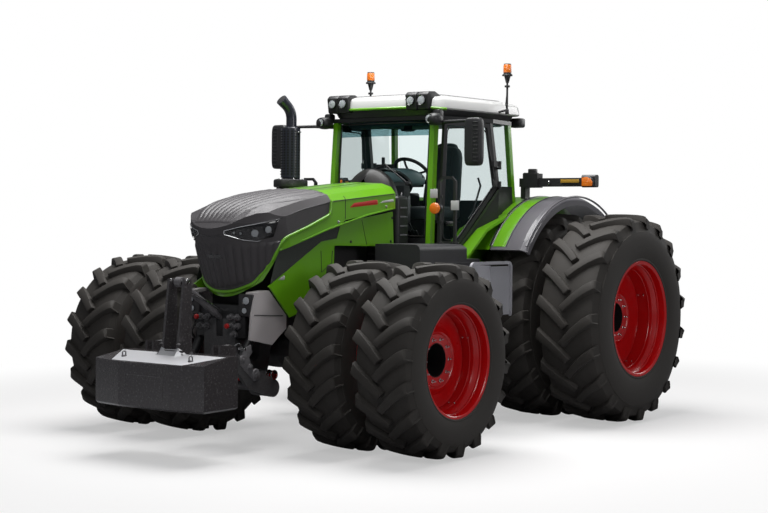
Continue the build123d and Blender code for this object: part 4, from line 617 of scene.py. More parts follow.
# Painted shade: the near-black inside holes and bores.
PIT_PAINTED_SHADE = Plastic("dark_pit", "black_metal", (0.002, 0.002, 0.002), rough=0.8)
OCHRE = Paint("ochre_strip", "amber_lamp", (0.42, 0.24, 0.03), rough=0.35, coat=0.4, dust=0.05)
TANK_GREY = Plastic("tank_grey", "grey_plastic", (0.034, 0.034, 0.036), rough=0.42)
PANEL_GREY = Plastic("panel_grey", "grey_plastic", (0.31, 0.31, 0.335), rough=0.40)
# A pale metal sheet laid on the ballast's top: a painted highlight of the light on it, not the
# casting's own colour.
BALLAST_TOP_PAINTED_HIGHLIGHT = Steel("ballast_top", "ballast_grey", (0.70, 0.70, 0.72), rough=0.75)
SKY_BLUE = Plastic("filler_blue", "grey_plastic", (0.10, 0.32, 0.62), rough=0.4)


# ---------------------------------------------------------------- shapes
def aim(direction: Point) -> Matrix:
    """A turn that takes the Z axis to this direction."""
    return Vector(direction).to_track_quat("Z", "Y").to_matrix().to_4x4()


def round_path(points: Sequence[Point], radius: float, steps: int = 5) -> list[Vector]:
    """A bent rod's line: the corners of a run of points rounded off.

    Args:
        points: The corners in order.
        radius: Distance from each corner at which its bend starts.
        steps: Points in each bend.

    Returns:
        The points of the rounded line.
    """
    corners = [Vector(point) for point in points]
    line = [corners[0]]
    for before, here, after in zip(corners, corners[1:], corners[2:]):
        reach = min(radius, (before - here).length * 0.49, (after - here).length * 0.49)
        start = here + (before - here).normalized() * reach
        end = here + (after - here).normalized() * reach
        for step in range(steps + 1):
            share = step / steps
            line.append(start.lerp(here, share).lerp(here.lerp(end, share), share))
    return line + [corners[-1]]


class Shape:
    """A mesh being made from bmesh operators, in the frame's own coordinates."""

    def __init__(self) -> None:
        """Starts with nothing."""
        self.bm = bmesh.new()

    def _soften(self, verts: Iterable[bmesh.types.BMVert], bevel: float, segments: int,
                angle: float = 30.0) -> None:
        """Rounds the edges among these vertices that turn by more than the angle.

        Args:
            verts: Vertices whose edges are looked at.
            bevel: Width of the rounding; 0 leaves the edges sharp.
            segments: Faces across the rounding.
            angle: Least turn of an edge, in degrees, that is rounded.
        """
        if bevel <= 0:
            return
        touched = {edge for vert in verts for edge in vert.link_edges}
        sharp = [edge for edge in touched
                 if edge.is_manifold and edge.calc_face_angle() > math.radians(angle)]
        bmesh.ops.bevel(self.bm, geom=sharp, offset=bevel, offset_type="OFFSET", segments=segments,
                        profile=0.5, affect="EDGES", clamp_overlap=True, material=-1)

    def box(self, centre: Point, size: Point, bevel: float = 0.004, segments: int = 2,
            turn: Matrix | None = None) -> "Shape":
        """Adds a block with rounded edges.

        Args:
            centre: Its middle.
            size: Its length, width and height.
            bevel: Width of the rounding.
            segments: Faces across the rounding.
            turn: A turn about its middle.

        Returns:
            This shape.
        """
        place = Matrix.Translation(centre) @ (turn or Matrix.Identity(4))
        place = place @ Matrix.Diagonal((*size, 1))
        made = bmesh.ops.create_cube(self.bm, size=1, matrix=place)["verts"]
        self._soften(made, bevel, segments)
        return self

    def lump(self, centre: Point, size: Point, power: float = 0.5, rings: int = 24,
             segments: int = 24, turn: Matrix | None = None, taper: float = 0.0) -> "Shape":
        """Adds a soft-cornered lump.

        Args:
            centre: Its middle.
            size: Its length, width and height.
            power: 1 for an ellipsoid, towards 0 for a block.
            rings: Rings from its foot to its top.
            segments: Points in each ring.
            turn: A turn about its middle.
            taper: How much narrower its top is than its foot, as a share.

        Returns:
            This shape.
        """
        made = bmesh.ops.create_uvsphere(self.bm, u_segments=segments, v_segments=rings,
                                         radius=1)["verts"]
        for vert in made:
            push = [math.copysign(abs(part) ** power, part) for part in vert.co]
            narrow = 1 - taper * (push[2] + 1) / 2
            local = by(push[0] * size[0] / 2, push[1] * size[1] / 2 * narrow, push[2] * size[2] / 2)
            vert.co = Vector(centre) + (turn.to_3x3() @ local if turn else local)
        return self

    def rod(self, start: Point, end: Point, radius: float, end_radius: float | None = None,
            sides: int = 28, bevel: float = 0.003, segments: int = 2) -> "Shape":
        """Adds a round bar or cone between two points, with rounded rims.

        Args:
            start: Middle of the first end.
            end: Middle of the other end.
            radius: Radius at the start.
            end_radius: Radius at the end, where it differs.
            sides: Faces round it.
            bevel: Width of the rounding at its rims.
            segments: Faces across the rounding.

        Returns:
            This shape.
        """
        start, end = Vector(start), Vector(end)
        place = Matrix.Translation((start + end) / 2) @ aim(end - start)
        made = bmesh.ops.create_cone(
            self.bm, cap_ends=True, cap_tris=False, segments=sides, radius1=radius,
            radius2=radius if end_radius is None else end_radius, depth=(end - start).length,
            matrix=place)["verts"]
        self._soften(made, bevel, segments, 50)
        return self

    def ball(self, centre: Point, size: Point, rings: int = 10) -> "Shape":
        """Adds a rounded lump of this size.

        Args:
            centre: Its middle.
            size: Its length, width and height.
            rings: Rings from its foot to its top.

        Returns:
            This shape.
        """
        place = Matrix.Translation(centre) @ Matrix.Diagonal((*size, 1))
        bmesh.ops.create_uvsphere(self.bm, u_segments=rings * 2, v_segments=rings, radius=0.5,
                                  matrix=place)
        return self

    def plate(self, outline: Sequence[Point], depth: Point, bevel: float = 0.003,
              segments: int = 2) -> "Shape":
        """Adds a flat plate: a closed outline thickened along depth, its edges rounded.

        Args:
            outline: Corners in order.
            depth: The thickness, as a step away from the outline.
            bevel: Width of the rounding.
            segments: Faces across the rounding.

        Returns:
            This shape.
        """
        verts = [self.bm.verts.new(point) for point in outline]
        face = self.bm.faces.new(verts)
        made = bmesh.ops.extrude_face_region(self.bm, geom=[face])["geom"]
        moved = [item for item in made if isinstance(item, bmesh.types.BMVert)]
        bmesh.ops.translate(self.bm, vec=Vector(depth), verts=moved)
        self._soften(verts + moved, bevel, segments)
        return self

    def tube(self, path: Sequence[Point], radius: float | Sequence[float],
             sides: int = 12) -> "Shape":
        """Adds a round bar along a line of points, closed at both ends.

        Args:
            path: Points along its middle.
            radius: One radius, or one for each point.
            sides: Faces round it.

        Returns:
            This shape.
        """
        points = [Vector(point) for point in path]
        radii = [radius] * len(points) if isinstance(radius, (int, float)) else list(radius)
        rings, last = [], None
        twist = aim(points[1] - points[0]).to_3x3()
        for index, point in enumerate(points):
            ahead = points[min(index + 1, len(points) - 1)] - points[max(index - 1, 0)]
            if last is not None:
                twist = last.rotation_difference(ahead).to_matrix() @ twist
            last = ahead
            place = Matrix.Translation(point) @ twist.to_4x4()
            ring = bmesh.ops.create_circle(self.bm, cap_ends=index in (0, len(points) - 1),
                                           radius=radii[index], segments=sides,
                                           matrix=place)["verts"]
            rings.append(ring)
        for first, second in zip(rings, rings[1:]):
            self._skin(first, second)
        return self

    def _skin(self, first: list[bmesh.types.BMVert], second: list[bmesh.types.BMVert]) -> None:
        """Joins two closed rings of vertices with faces.

        Args:
            first: One ring's vertices.
            second: The next ring's vertices.
        """
        both = set(first), set(second)
        edges = {edge for ring in both for vert in ring for edge in vert.link_edges
                 if edge.verts[0] in ring and edge.verts[1] in ring}
        bmesh.ops.bridge_loops(self.bm, edges=list(edges))

    def spin(self, profile: Sequence[tuple[float, float]], centre: Point, axis: Point = (0, 1, 0),
             out: Point = (0, 0, 1), steps: int = 64, closed: bool = False) -> "Shape":
        """Adds a turned piece.

        Args:
            profile: Distances along the axis and out from it, in order.
            centre: A point on the axis, from which distances along it are measured.
            axis: The axis's direction.
            out: The direction in which the profile is drawn.
            steps: Divisions of the turn.
            closed: Whether the profile's last point joins its first.

        Returns:
            This shape.
        """
        centre, axis, out = Vector(centre), Vector(axis).normalized(), Vector(out).normalized()
        verts = [self.bm.verts.new(centre + axis * along + out * radius) for along,
                 radius in profile]
        pairs = list(zip(verts, verts[1:])) + ([(verts[-1], verts[0])] if closed else [])
        edges = [self.bm.edges.new(pair) for pair in pairs]
        bmesh.ops.spin(self.bm, geom=verts + edges, cent=centre, axis=axis, dvec=(0, 0, 0),
                       angle=math.tau, steps=steps, use_merge=True)
        return self

    def surface(self, rule: Callable[[float, float], Point], columns: int, rows: int,
                wall: float = 0.0) -> "Shape":
        """Adds a curved sheet.

        Args:
            rule: Gives the place for each pair of shares, both from 0 to 1.
            columns: Cells along the first share.
            rows: Cells along the second share.
            wall: Thickness, to the side away from the sheet's front; 0 leaves a bare sheet.

        Returns:
            This shape.
        """
        made = bmesh.ops.create_grid(self.bm, x_segments=columns, y_segments=rows,
                                     size=0.5)["verts"]
        for vert in made:
            vert.co = Vector(rule(vert.co.x + 0.5, vert.co.y + 0.5))
        if wall:
            faces = list({face for vert in made for face in vert.link_faces})
            bmesh.ops.recalc_face_normals(self.bm, faces=faces)
            bmesh.ops.solidify(self.bm, geom=faces, thickness=wall)
        return self

    def laid(self, skin: "Skin", rule: Callable[[float, float], Point], direction: Point | Callable,
             columns: int, rows: int, lift: Callable[[float, float], float],
             blend: int = 0) -> "Shape":
        """Adds a sheet that follows a skin.

        Args:
            skin: The surface it lies on.
            rule: Gives the start of a ray for two shares from 0 to 1.
            direction: The rays' direction, or a rule for it.
            columns: Faces along the first share.
            rows: Faces along the second share.
            lift: Gives the height above the surface for each pair of shares.
            blend: Steps of the grid the surface is smoothed over, 0 to follow it exactly.

        Returns:
            This shape.
        """
        way = direction if callable(direction) else lambda u, v: Vector(direction)
        smooth = None
        if blend:
            grid = [[skin.hit(rule(i / blend, j / blend), way(i / blend, j / blend))
                     for i in range(blend + 1)]
                    for j in range(blend + 1)]
            if all(found for row in grid for found in row):
                smooth = blended([[found[0] for found in row] for row in grid])
            else:
                log.warning("a smoothed sheet misses its skin and follows it exactly instead")
        made = bmesh.ops.create_grid(self.bm, x_segments=columns, y_segments=rows,
                                     size=0.5)["verts"]
        missed, heights = [], {}
        for vert in made:
            u, v = vert.co.x + 0.5, vert.co.y + 0.5
            found = (smooth(u, v), -way(u, v)) if smooth else skin.hit(rule(u, v), way(u, v))
            if found is None:
                missed.append(vert)
                continue
            vert.co = found[0]
            heights[vert] = (found[1], lift(u, v))
        if smooth:
            bmesh.ops.recalc_face_normals(self.bm,
                                          faces=list({face for vert in made
                                                      for face in vert.link_faces}))
            for vert in made:
                vert.normal_update()
        for vert, (facing, height) in heights.items():
            out = vert.normal * math.copysign(1, vert.normal.dot(facing)) if smooth else facing
            vert.co = vert.co + out * height
        bmesh.ops.delete(self.bm, geom=missed, context="VERTS")
        return self

    def loft(self, sections: Sequence[Sequence[Point]], bevel: float = 0.0,
             capped: bool = True) -> "Shape":
        """Adds a body whose skin joins closed outlines of equal count, in order.

        Args:
            sections: Closed outlines in order.
            bevel: Width of the rounding; 0 leaves the edges sharp.
            capped: Whether both ends are closed.

        Returns:
            This shape.
        """
        rings = []
        for section in sections:
            ring = [self.bm.verts.new(point) for point in section]
            for pair in zip(ring, ring[1:] + ring[:1]):
                self.bm.edges.new(pair)
            rings.append(ring)
        for first, second in zip(rings, rings[1:]):
            for low, high, next_low, next_high in zip(first, second, first[1:] + first[:1],
                                                      second[1:] + second[:1]):
                self.bm.faces.new((low, next_low, next_high, high))
        if capped:
            self.bm.faces.new(rings[0])
            self.bm.faces.new(rings[-1])
        self._soften([vert for ring in rings for vert in ring], bevel, 2)
        return self

    def bolts(self, places: Iterable[Point], axis: Point, radius: float = 0.012,
              height: float = 0.009, washer: bool = True) -> "Shape":
        """Adds hexagon bolt heads on washers, standing along the axis.

        Args:
            places: Middles of their feet.
            axis: The way they stand.
            radius: Radius over the corners.
            height: Height of a head.
            washer: Whether each has a washer.

        Returns:
            This shape.
        """
        axis = Vector(axis).normalized()
        for place in places:
            foot = Vector(place)
            if washer:
                self.rod(foot, foot + axis * 0.003, radius * 1.45, sides=16, bevel=0.001,
                         segments=1)
            self.rod(foot, foot + axis * height, radius, sides=6, bevel=0.0015, segments=1)
        return self

    def shifted_copy(self, shift: Point) -> "Shape":
        """Adds a copy of everything made so far, moved by shift.

        Args:
            shift: How far the copy moves.

        Returns:
            This shape.
        """
        copy = bmesh.ops.duplicate(self.bm, geom=self.bm.verts[:] + self.bm.edges[:]
                                   + self.bm.faces[:])
        verts = [item for item in copy["geom"] if isinstance(item, bmesh.types.BMVert)]
        bmesh.ops.translate(self.bm, vec=Vector(shift), verts=verts)
        return self

    def both_sides(self) -> "Shape":
        """Adds the mirror image of everything made so far across the tractor's middle plane.

        Returns:
            This shape.
        """
        bmesh.ops.mirror(self.bm, geom=self.bm.verts[:] + self.bm.edges[:] + self.bm.faces[:],
                         axis="Y", merge_dist=0.00002)
        return self

    def piece(self, name: str, finish: Finish, replaces: Sequence[str] = (), body: str = "chassis",
              angle: float = 32.0, smoothing: int = 0) -> bpy.types.Object:
        """Makes the finished piece.

        Args:
            name: The piece's own name.
            finish: What it is painted or made of.
            replaces: CAD nodes that it stands for.
            body: The CAD body it moves with.
            angle: Edges that turn by more than this many degrees look sharp.
            smoothing: Levels of subdivision.

        Returns:
            The new object.
        """
        bmesh.ops.remove_doubles(self.bm, verts=self.bm.verts, dist=0.00001)
        bmesh.ops.recalc_face_normals(self.bm, faces=self.bm.faces)
        for face in self.bm.faces:
            face.smooth = True
        for edge in self.bm.edges:
            edge.smooth = not (edge.is_manifold and edge.calc_face_angle() > math.radians(angle))
        mesh = bpy.data.meshes.new(name)
        self.bm.to_mesh(mesh)
        self.bm.free()
        mesh.materials.append(finish.material())
        made = bpy.data.objects.new(name, mesh)
        bpy.context.scene.collection.objects.link(made)
        if smoothing:
            rounding = made.modifiers.new("rounding", "SUBSURF")
            rounding.levels = rounding.render_levels = smoothing
        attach(made, body)
        if replaces:
            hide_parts(*replaces)
        log.info("%s: %d faces on %s", name, len(mesh.polygons), body)
        return made


def dress(finish: Finish, *nodes: str) -> None:
    """Gives CAD nodes a procedural finish through their material slots.

    Args:
        finish: What the nodes are painted or made of.
        nodes: Their names.
    """
    for node in nodes:
        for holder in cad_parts[node].material_slots:
            holder.material = finish.material()
        log.info("%s: %s", node, finish.name)


# ---------------------------------------------------------------- pieces laid on the CAD's surface
class Skin:
    """The surface of some CAD nodes or pieces, found by rays, for laying pieces on it."""

    def __init__(self, *nodes: str | bpy.types.Object) -> None:
        """Gathers the nodes' faces into one searchable tree."""
        bpy.context.view_layer.update()
        verts, faces = [], []
        for node in nodes:
            holder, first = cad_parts[node] if isinstance(node, str) else node, len(verts)
            verts += [holder.matrix_world @ vert.co for vert in holder.data.vertices]
            faces += [[first + index for index in face.vertices] for face in holder.data.polygons]
        self.tree = BVHTree.FromPolygons(verts, faces)

    def hit(self, start: Point, direction: Point) -> tuple[Vector, Vector] | None:
        """Finds where a ray meets the surface.

        Args:
            start: The ray's first point.
            direction: The way it runs.

        Returns:
            The place and the surface's direction towards the ray, or None where the ray misses.
        """
        spot, normal, _, _ = self.tree.ray_cast(Vector(start), Vector(direction))
        if spot is None:
            return None
        return spot, -normal if normal.dot(Vector(direction)) > 0 else normal

    def line(self, points: Sequence[Point], direction: Point, lift: float = 0.0) -> list[Vector]:
        """The places where rays from these points meet the surface, raised by lift."""
        found = [self.hit(point, direction) for point in points]
        return [spot + normal * lift for spot, normal in (pair for pair in found if pair)]


def along(line: Sequence[Point], share: float) -> Vector:
    """The point at a share of a bent line's length.

    Args:
        line: Corners in order.
        share: How far along, from 0 to 1.

    Returns:
        The point.
    """
    points = [Vector(point) for point in line]
    lengths = [(end - start).length for start, end in zip(points, points[1:])]
    left = share * sum(lengths)
    for start, end, length in zip(points, points[1:], lengths):
        if left <= length:
            return start.lerp(end, left / length if length else 0.0)
        left -= length
    return points[-1]


def between(low: Sequence[Point], high: Sequence[Point]) -> Callable[[float, float], Vector]:
    """A rule for sheets: the first share runs along the lines, the second between them."""
    return lambda u, v: along(low, u).lerp(along(high, u), v)


def blended(rows: Sequence[Sequence[Vector]]) -> Callable[[float, float], Vector]:
    """A smooth rule drawn through the neighbourhood of a grid of points.

    Args:
        rows: The rows of points, the first row at v = 0.

    Returns:
        A rule that gives a place for two shares, exact at the grid's edges.
    """
    def pick(line: Sequence[Vector], share: float) -> Vector:
        """A smooth blend of the four points round a share.

        Args:
            line: Points in order.
            share: How far along, from 0 to 1.

        Returns:
            The blended point.
        """
        last = len(line) - 1
        index = min(int(share * last), last - 1)
        t = share * last - index
        before = line[index - 1] if index else 2 * line[0] - line[1]
        after = line[index + 2] if index + 2 <= last else 2 * line[last] - line[last - 1]
        return (before * (1 - t) ** 3 + line[index] * (3 * t ** 3 - 6 * t * t + 4)
                + line[index + 1] * (-3 * t ** 3 + 3 * t * t + 3 * t + 1) + after * t ** 3) / 6
    return lambda u, v: pick([pick(row, u) for row in rows], v)


def raised(height: float,
           relief: Callable[[float, float], float] | None = None
           ) -> Callable[[float, float], float]:
    """A lift for laid sheets whose outer edge dips into the surface.

    Args:
        height: The lift away from the edge.
        relief: What is added at each pair of shares.

    Returns:
        A rule for the lift at two shares.
    """
    def lift(u: float, v: float) -> float:
        """The height at two shares.

        Args:
            u: The first share.
            v: The second share.

        Returns:
            The lift.
        """
        if min(u, 1 - u, v, 1 - v) < 0.0001:
            return -0.002
        return height + (relief(u, v) if relief else 0.0)
    return lift


def fade(share: float, low: float, high: float) -> float:
    """0 at low, 1 at high and a smooth rise between them."""
    part = min(1.0, max(0.0, (share - low) / (high - low)))
    return part * part * (3 - 2 * part)


@dataclass
class LampSet:
    """Round lamps of one kind: one piece each of dark rings, bright bowls and lenses."""

    name: str
    body: str
    lens: Finish
    rims: Shape = field(default_factory=Shape)
    bowls: Shape = field(default_factory=Shape)
    lenses: Shape = field(default_factory=Shape)

    def lamp(self, centre: Point, direction: Point, radius: float, depth: float = 0.03) -> None:
        """Adds a round lamp.

        Args:
            centre: Middle of the lens.
            direction: The way the lamp shines.
            radius: Outer radius of its ring.
            depth: Length of its ring.
        """
        centre, out = Vector(centre), Vector(direction).normalized()
        side = out.orthogonal()
        ring = [(-depth, radius * 0.9), (-0.002, radius), (0.002, radius), (0.003, radius * 0.96),
                (0.0, radius * 0.86), (-depth * 0.8, radius * 0.8)]
        self.rims.spin(ring, centre, out, side, steps=28, closed=True)
        bowl = [(-0.004, radius * 0.86), (-depth * 0.45, radius * 0.62),
                (-depth * 0.7, radius * 0.25), (-depth * 0.35, radius * 0.18), (-depth * 0.3, 0.0)]
        self.bowls.spin(bowl, centre, out, side, steps=28)
        lens = [(-0.004, radius * 0.85), (0.001, radius * 0.78), (0.004, radius * 0.45),
                (0.005, 0.0)]
        self.lenses.spin(lens, centre, out, side, steps=28)

    def build(self) -> None:
        """Makes the three pieces."""
        self.rims.piece(f"{self.name}_rings", GLOSS_BLACK, body=self.body)
        self.bowls.piece(f"{self.name}_bowls", CHROME, body=self.body)
        self.lenses.piece(f"{self.name}_lenses", self.lens, body=self.body)


# ---------------------------------------------------------------- stage
@dataclass
class Stage:
    """The pale studio: camera, soft lights, backdrop and floor."""

    eye: tuple[float, float, float] = (12.49, 9.4485, 2.078)
    yaw: float = 0.6383
    pitch: float = 0.0236
    roll: float = 0.009
    lens: float = 72.293
    sensor: float = 36.0
    sky: float = 0.17
    floor_reach: float = 60.0
    floor_seen: tuple[float, float, float] = (0.80, 0.79, 0.785)
    floor_lit: tuple[float, float, float] = (0.30, 0.30, 0.31)

    def build(self) -> None:
        """Sets up everything that isn't the tractor."""
        self._camera()
        self._lights()
        self._world()
        self._floor()
        log.info("stage: camera, lights, world and floor")

    def _camera(self) -> None:
        """Places the camera and makes it the scene's own."""
        ahead = Vector((-math.cos(self.yaw) * math.cos(self.pitch),
                        -math.sin(self.yaw) * math.cos(self.pitch), -math.sin(self.pitch)))
        right = ahead.cross(by(0, 0, 1)).normalized()
        up = right.cross(ahead)
        level, tilted = math.cos(self.roll), math.sin(self.roll)
        across, rise = right * level + up * tilted, up * level - right * tilted
        turn = Matrix((across, rise, -ahead)).transposed().to_4x4()
        data = bpy.data.cameras.new("camera")
        data.lens = self.lens
        data.sensor_width = self.sensor
        data.clip_end = 200
        camera = bpy.data.objects.new("camera", data)
        camera.matrix_world = Matrix.Translation(self.eye) @ turn
        bpy.context.scene.collection.objects.link(camera)
        bpy.context.scene.camera = camera
        bpy.context.scene.view_settings.view_transform = "Standard"

    def _lights(self) -> None:
        """A wide ceiling panel, a key panel ahead on the tractor's left and a low fill."""
        panels = (
            ("ceiling", (0.2, 0.0, 7.6), (0, 0, 0.8), 6.0, 860.0),
            ("key", (8.0, 3.5, 6.4), (0.5, 0, 1.2), 3.2, 110.0),
            ("fill", (1.0, 10.5, 4.4), (0.0, 0, 1.3), 3.0, 120.0),
            ("back", (-8.5, 3.5, 5.0), (0, 0, 1.6), 4.0, 160.0),
        )
        for name, place, target, size, power in panels:
            data = bpy.data.lights.new(name, "AREA")
            data.shape = "DISK"
            data.size = size
            data.energy = power
            lamp = bpy.data.objects.new(name, data)
            lamp.matrix_world = Matrix.Translation(place) @ aim(Vector(place) - Vector(target))
            bpy.context.scene.collection.objects.link(lamp)

    def _world(self) -> None:
        """Pure white where the camera sees it, and a softer grey for the light it gives."""
        world = bpy.data.worlds.new("studio")
        world.use_nodes = True
        tree = world.node_tree
        tree.nodes.clear()
        rays = tree.nodes.new("ShaderNodeLightPath")
        seen = tree.nodes.new("ShaderNodeMath")
        seen.operation = "MAXIMUM"
        tree.links.new(rays.outputs["Is Camera Ray"], seen.inputs[0])
        tree.links.new(rays.outputs["Is Transmission Ray"], seen.inputs[1])
        lit = tree.nodes.new("ShaderNodeBackground")
        lit.inputs["Color"].default_value = (0.92, 0.95, 1.0, 1)
        lit.inputs["Strength"].default_value = self.sky
        white = tree.nodes.new("ShaderNodeBackground")
        white.inputs["Color"].default_value = (1, 1, 1, 1)
        white.inputs["Strength"].default_value = 1.0
        both = tree.nodes.new("ShaderNodeMixShader")
        tree.links.new(seen.outputs[0], both.inputs[0])
        tree.links.new(lit.outputs[0], both.inputs[1])
        tree.links.new(white.outputs[0], both.inputs[2])
        out = tree.nodes.new("ShaderNodeOutputWorld")
        tree.links.new(both.outputs[0], out.inputs[0])
        bpy.context.scene.world = world

    def _floor(self) -> None:
        """A seamless pale floor that keeps the tractor's shadow and fades to the backdrop."""
        bm = bmesh.new()
        bmesh.ops.create_grid(bm, x_segments=12, y_segments=12, size=self.floor_reach)
        mesh = bpy.data.meshes.new("floor")
        bm.to_mesh(mesh)
        bm.free()
        graph = Graph("studio_floor")
        rays = graph.node("ShaderNodeLightPath")
        seen = Term(graph, rays.outputs["Is Camera Ray"])
        shade = graph.mix(self.floor_lit, self.floor_seen, seen)
        ground = graph.principled({"Base Color": shade, "Roughness": 0.7,
                                   "Specular IOR Level": 0.15})
        glow = graph.node("ShaderNodeEmission", {}, {"Color": (1, 1, 1, 1), "Strength": 1.0})
        reach = graph.node("ShaderNodeVectorMath", {"operation": "LENGTH"},
                           {0: graph.mapped(shift=(0.2, 0, 0), scale=(0.8, 1.0, 1.0))})
        far = graph.step(Term(graph, reach.outputs["Value"]), 3.6, 7.5)
        share = seen * (far * 0.55 + 0.45)
        mixed = graph.node("ShaderNodeMixShader", {},
                           {0: share, 1: ground, 2: Term(graph, glow.outputs[0])})
        mesh.materials.append(graph.finish(Term(graph, mixed.outputs[0])))
        floor = bpy.data.objects.new("floor", mesh)
        floor.location.z = -0.001
        bpy.context.scene.collection.objects.link(floor)


# ---------------------------------------------------------------- wheels
class Side(Enum):
    """The driver's left and right."""

    LEFT = 1
    RIGHT = -1

    @property
    def word(self) -> str:
        """The side's name in lower case."""
        return self.name.lower()


class Axle(Enum):
    """The two axles: section width, rim width, rim radius, number of lug pairs and their lead."""

    FRONT = (0.600, 0.540, 0.507, 18, 0.235)
    REAR = (0.684, 0.640, 0.600, 19, 0.280)

    @property
    def word(self) -> str:
        """The axle's name in lower case."""
        return self.name.lower()


def along_table(table: Sequence[tuple[float, ...]], share: float) -> tuple[float, ...]:
    """The row of a table at a share between 0 and 1, found between its neighbours.

    Args:
        table: Rows that start with their shares, in order.
        share: The share looked up.

    Returns:
        The row at that share.
    """
    for low, high in zip(table, table[1:]):
        if share <= high[0]:
            part = (share - low[0]) / (high[0] - low[0])
            return tuple(a + (b - a) * part for a, b in zip(low, high))
    return tuple(table[-1])


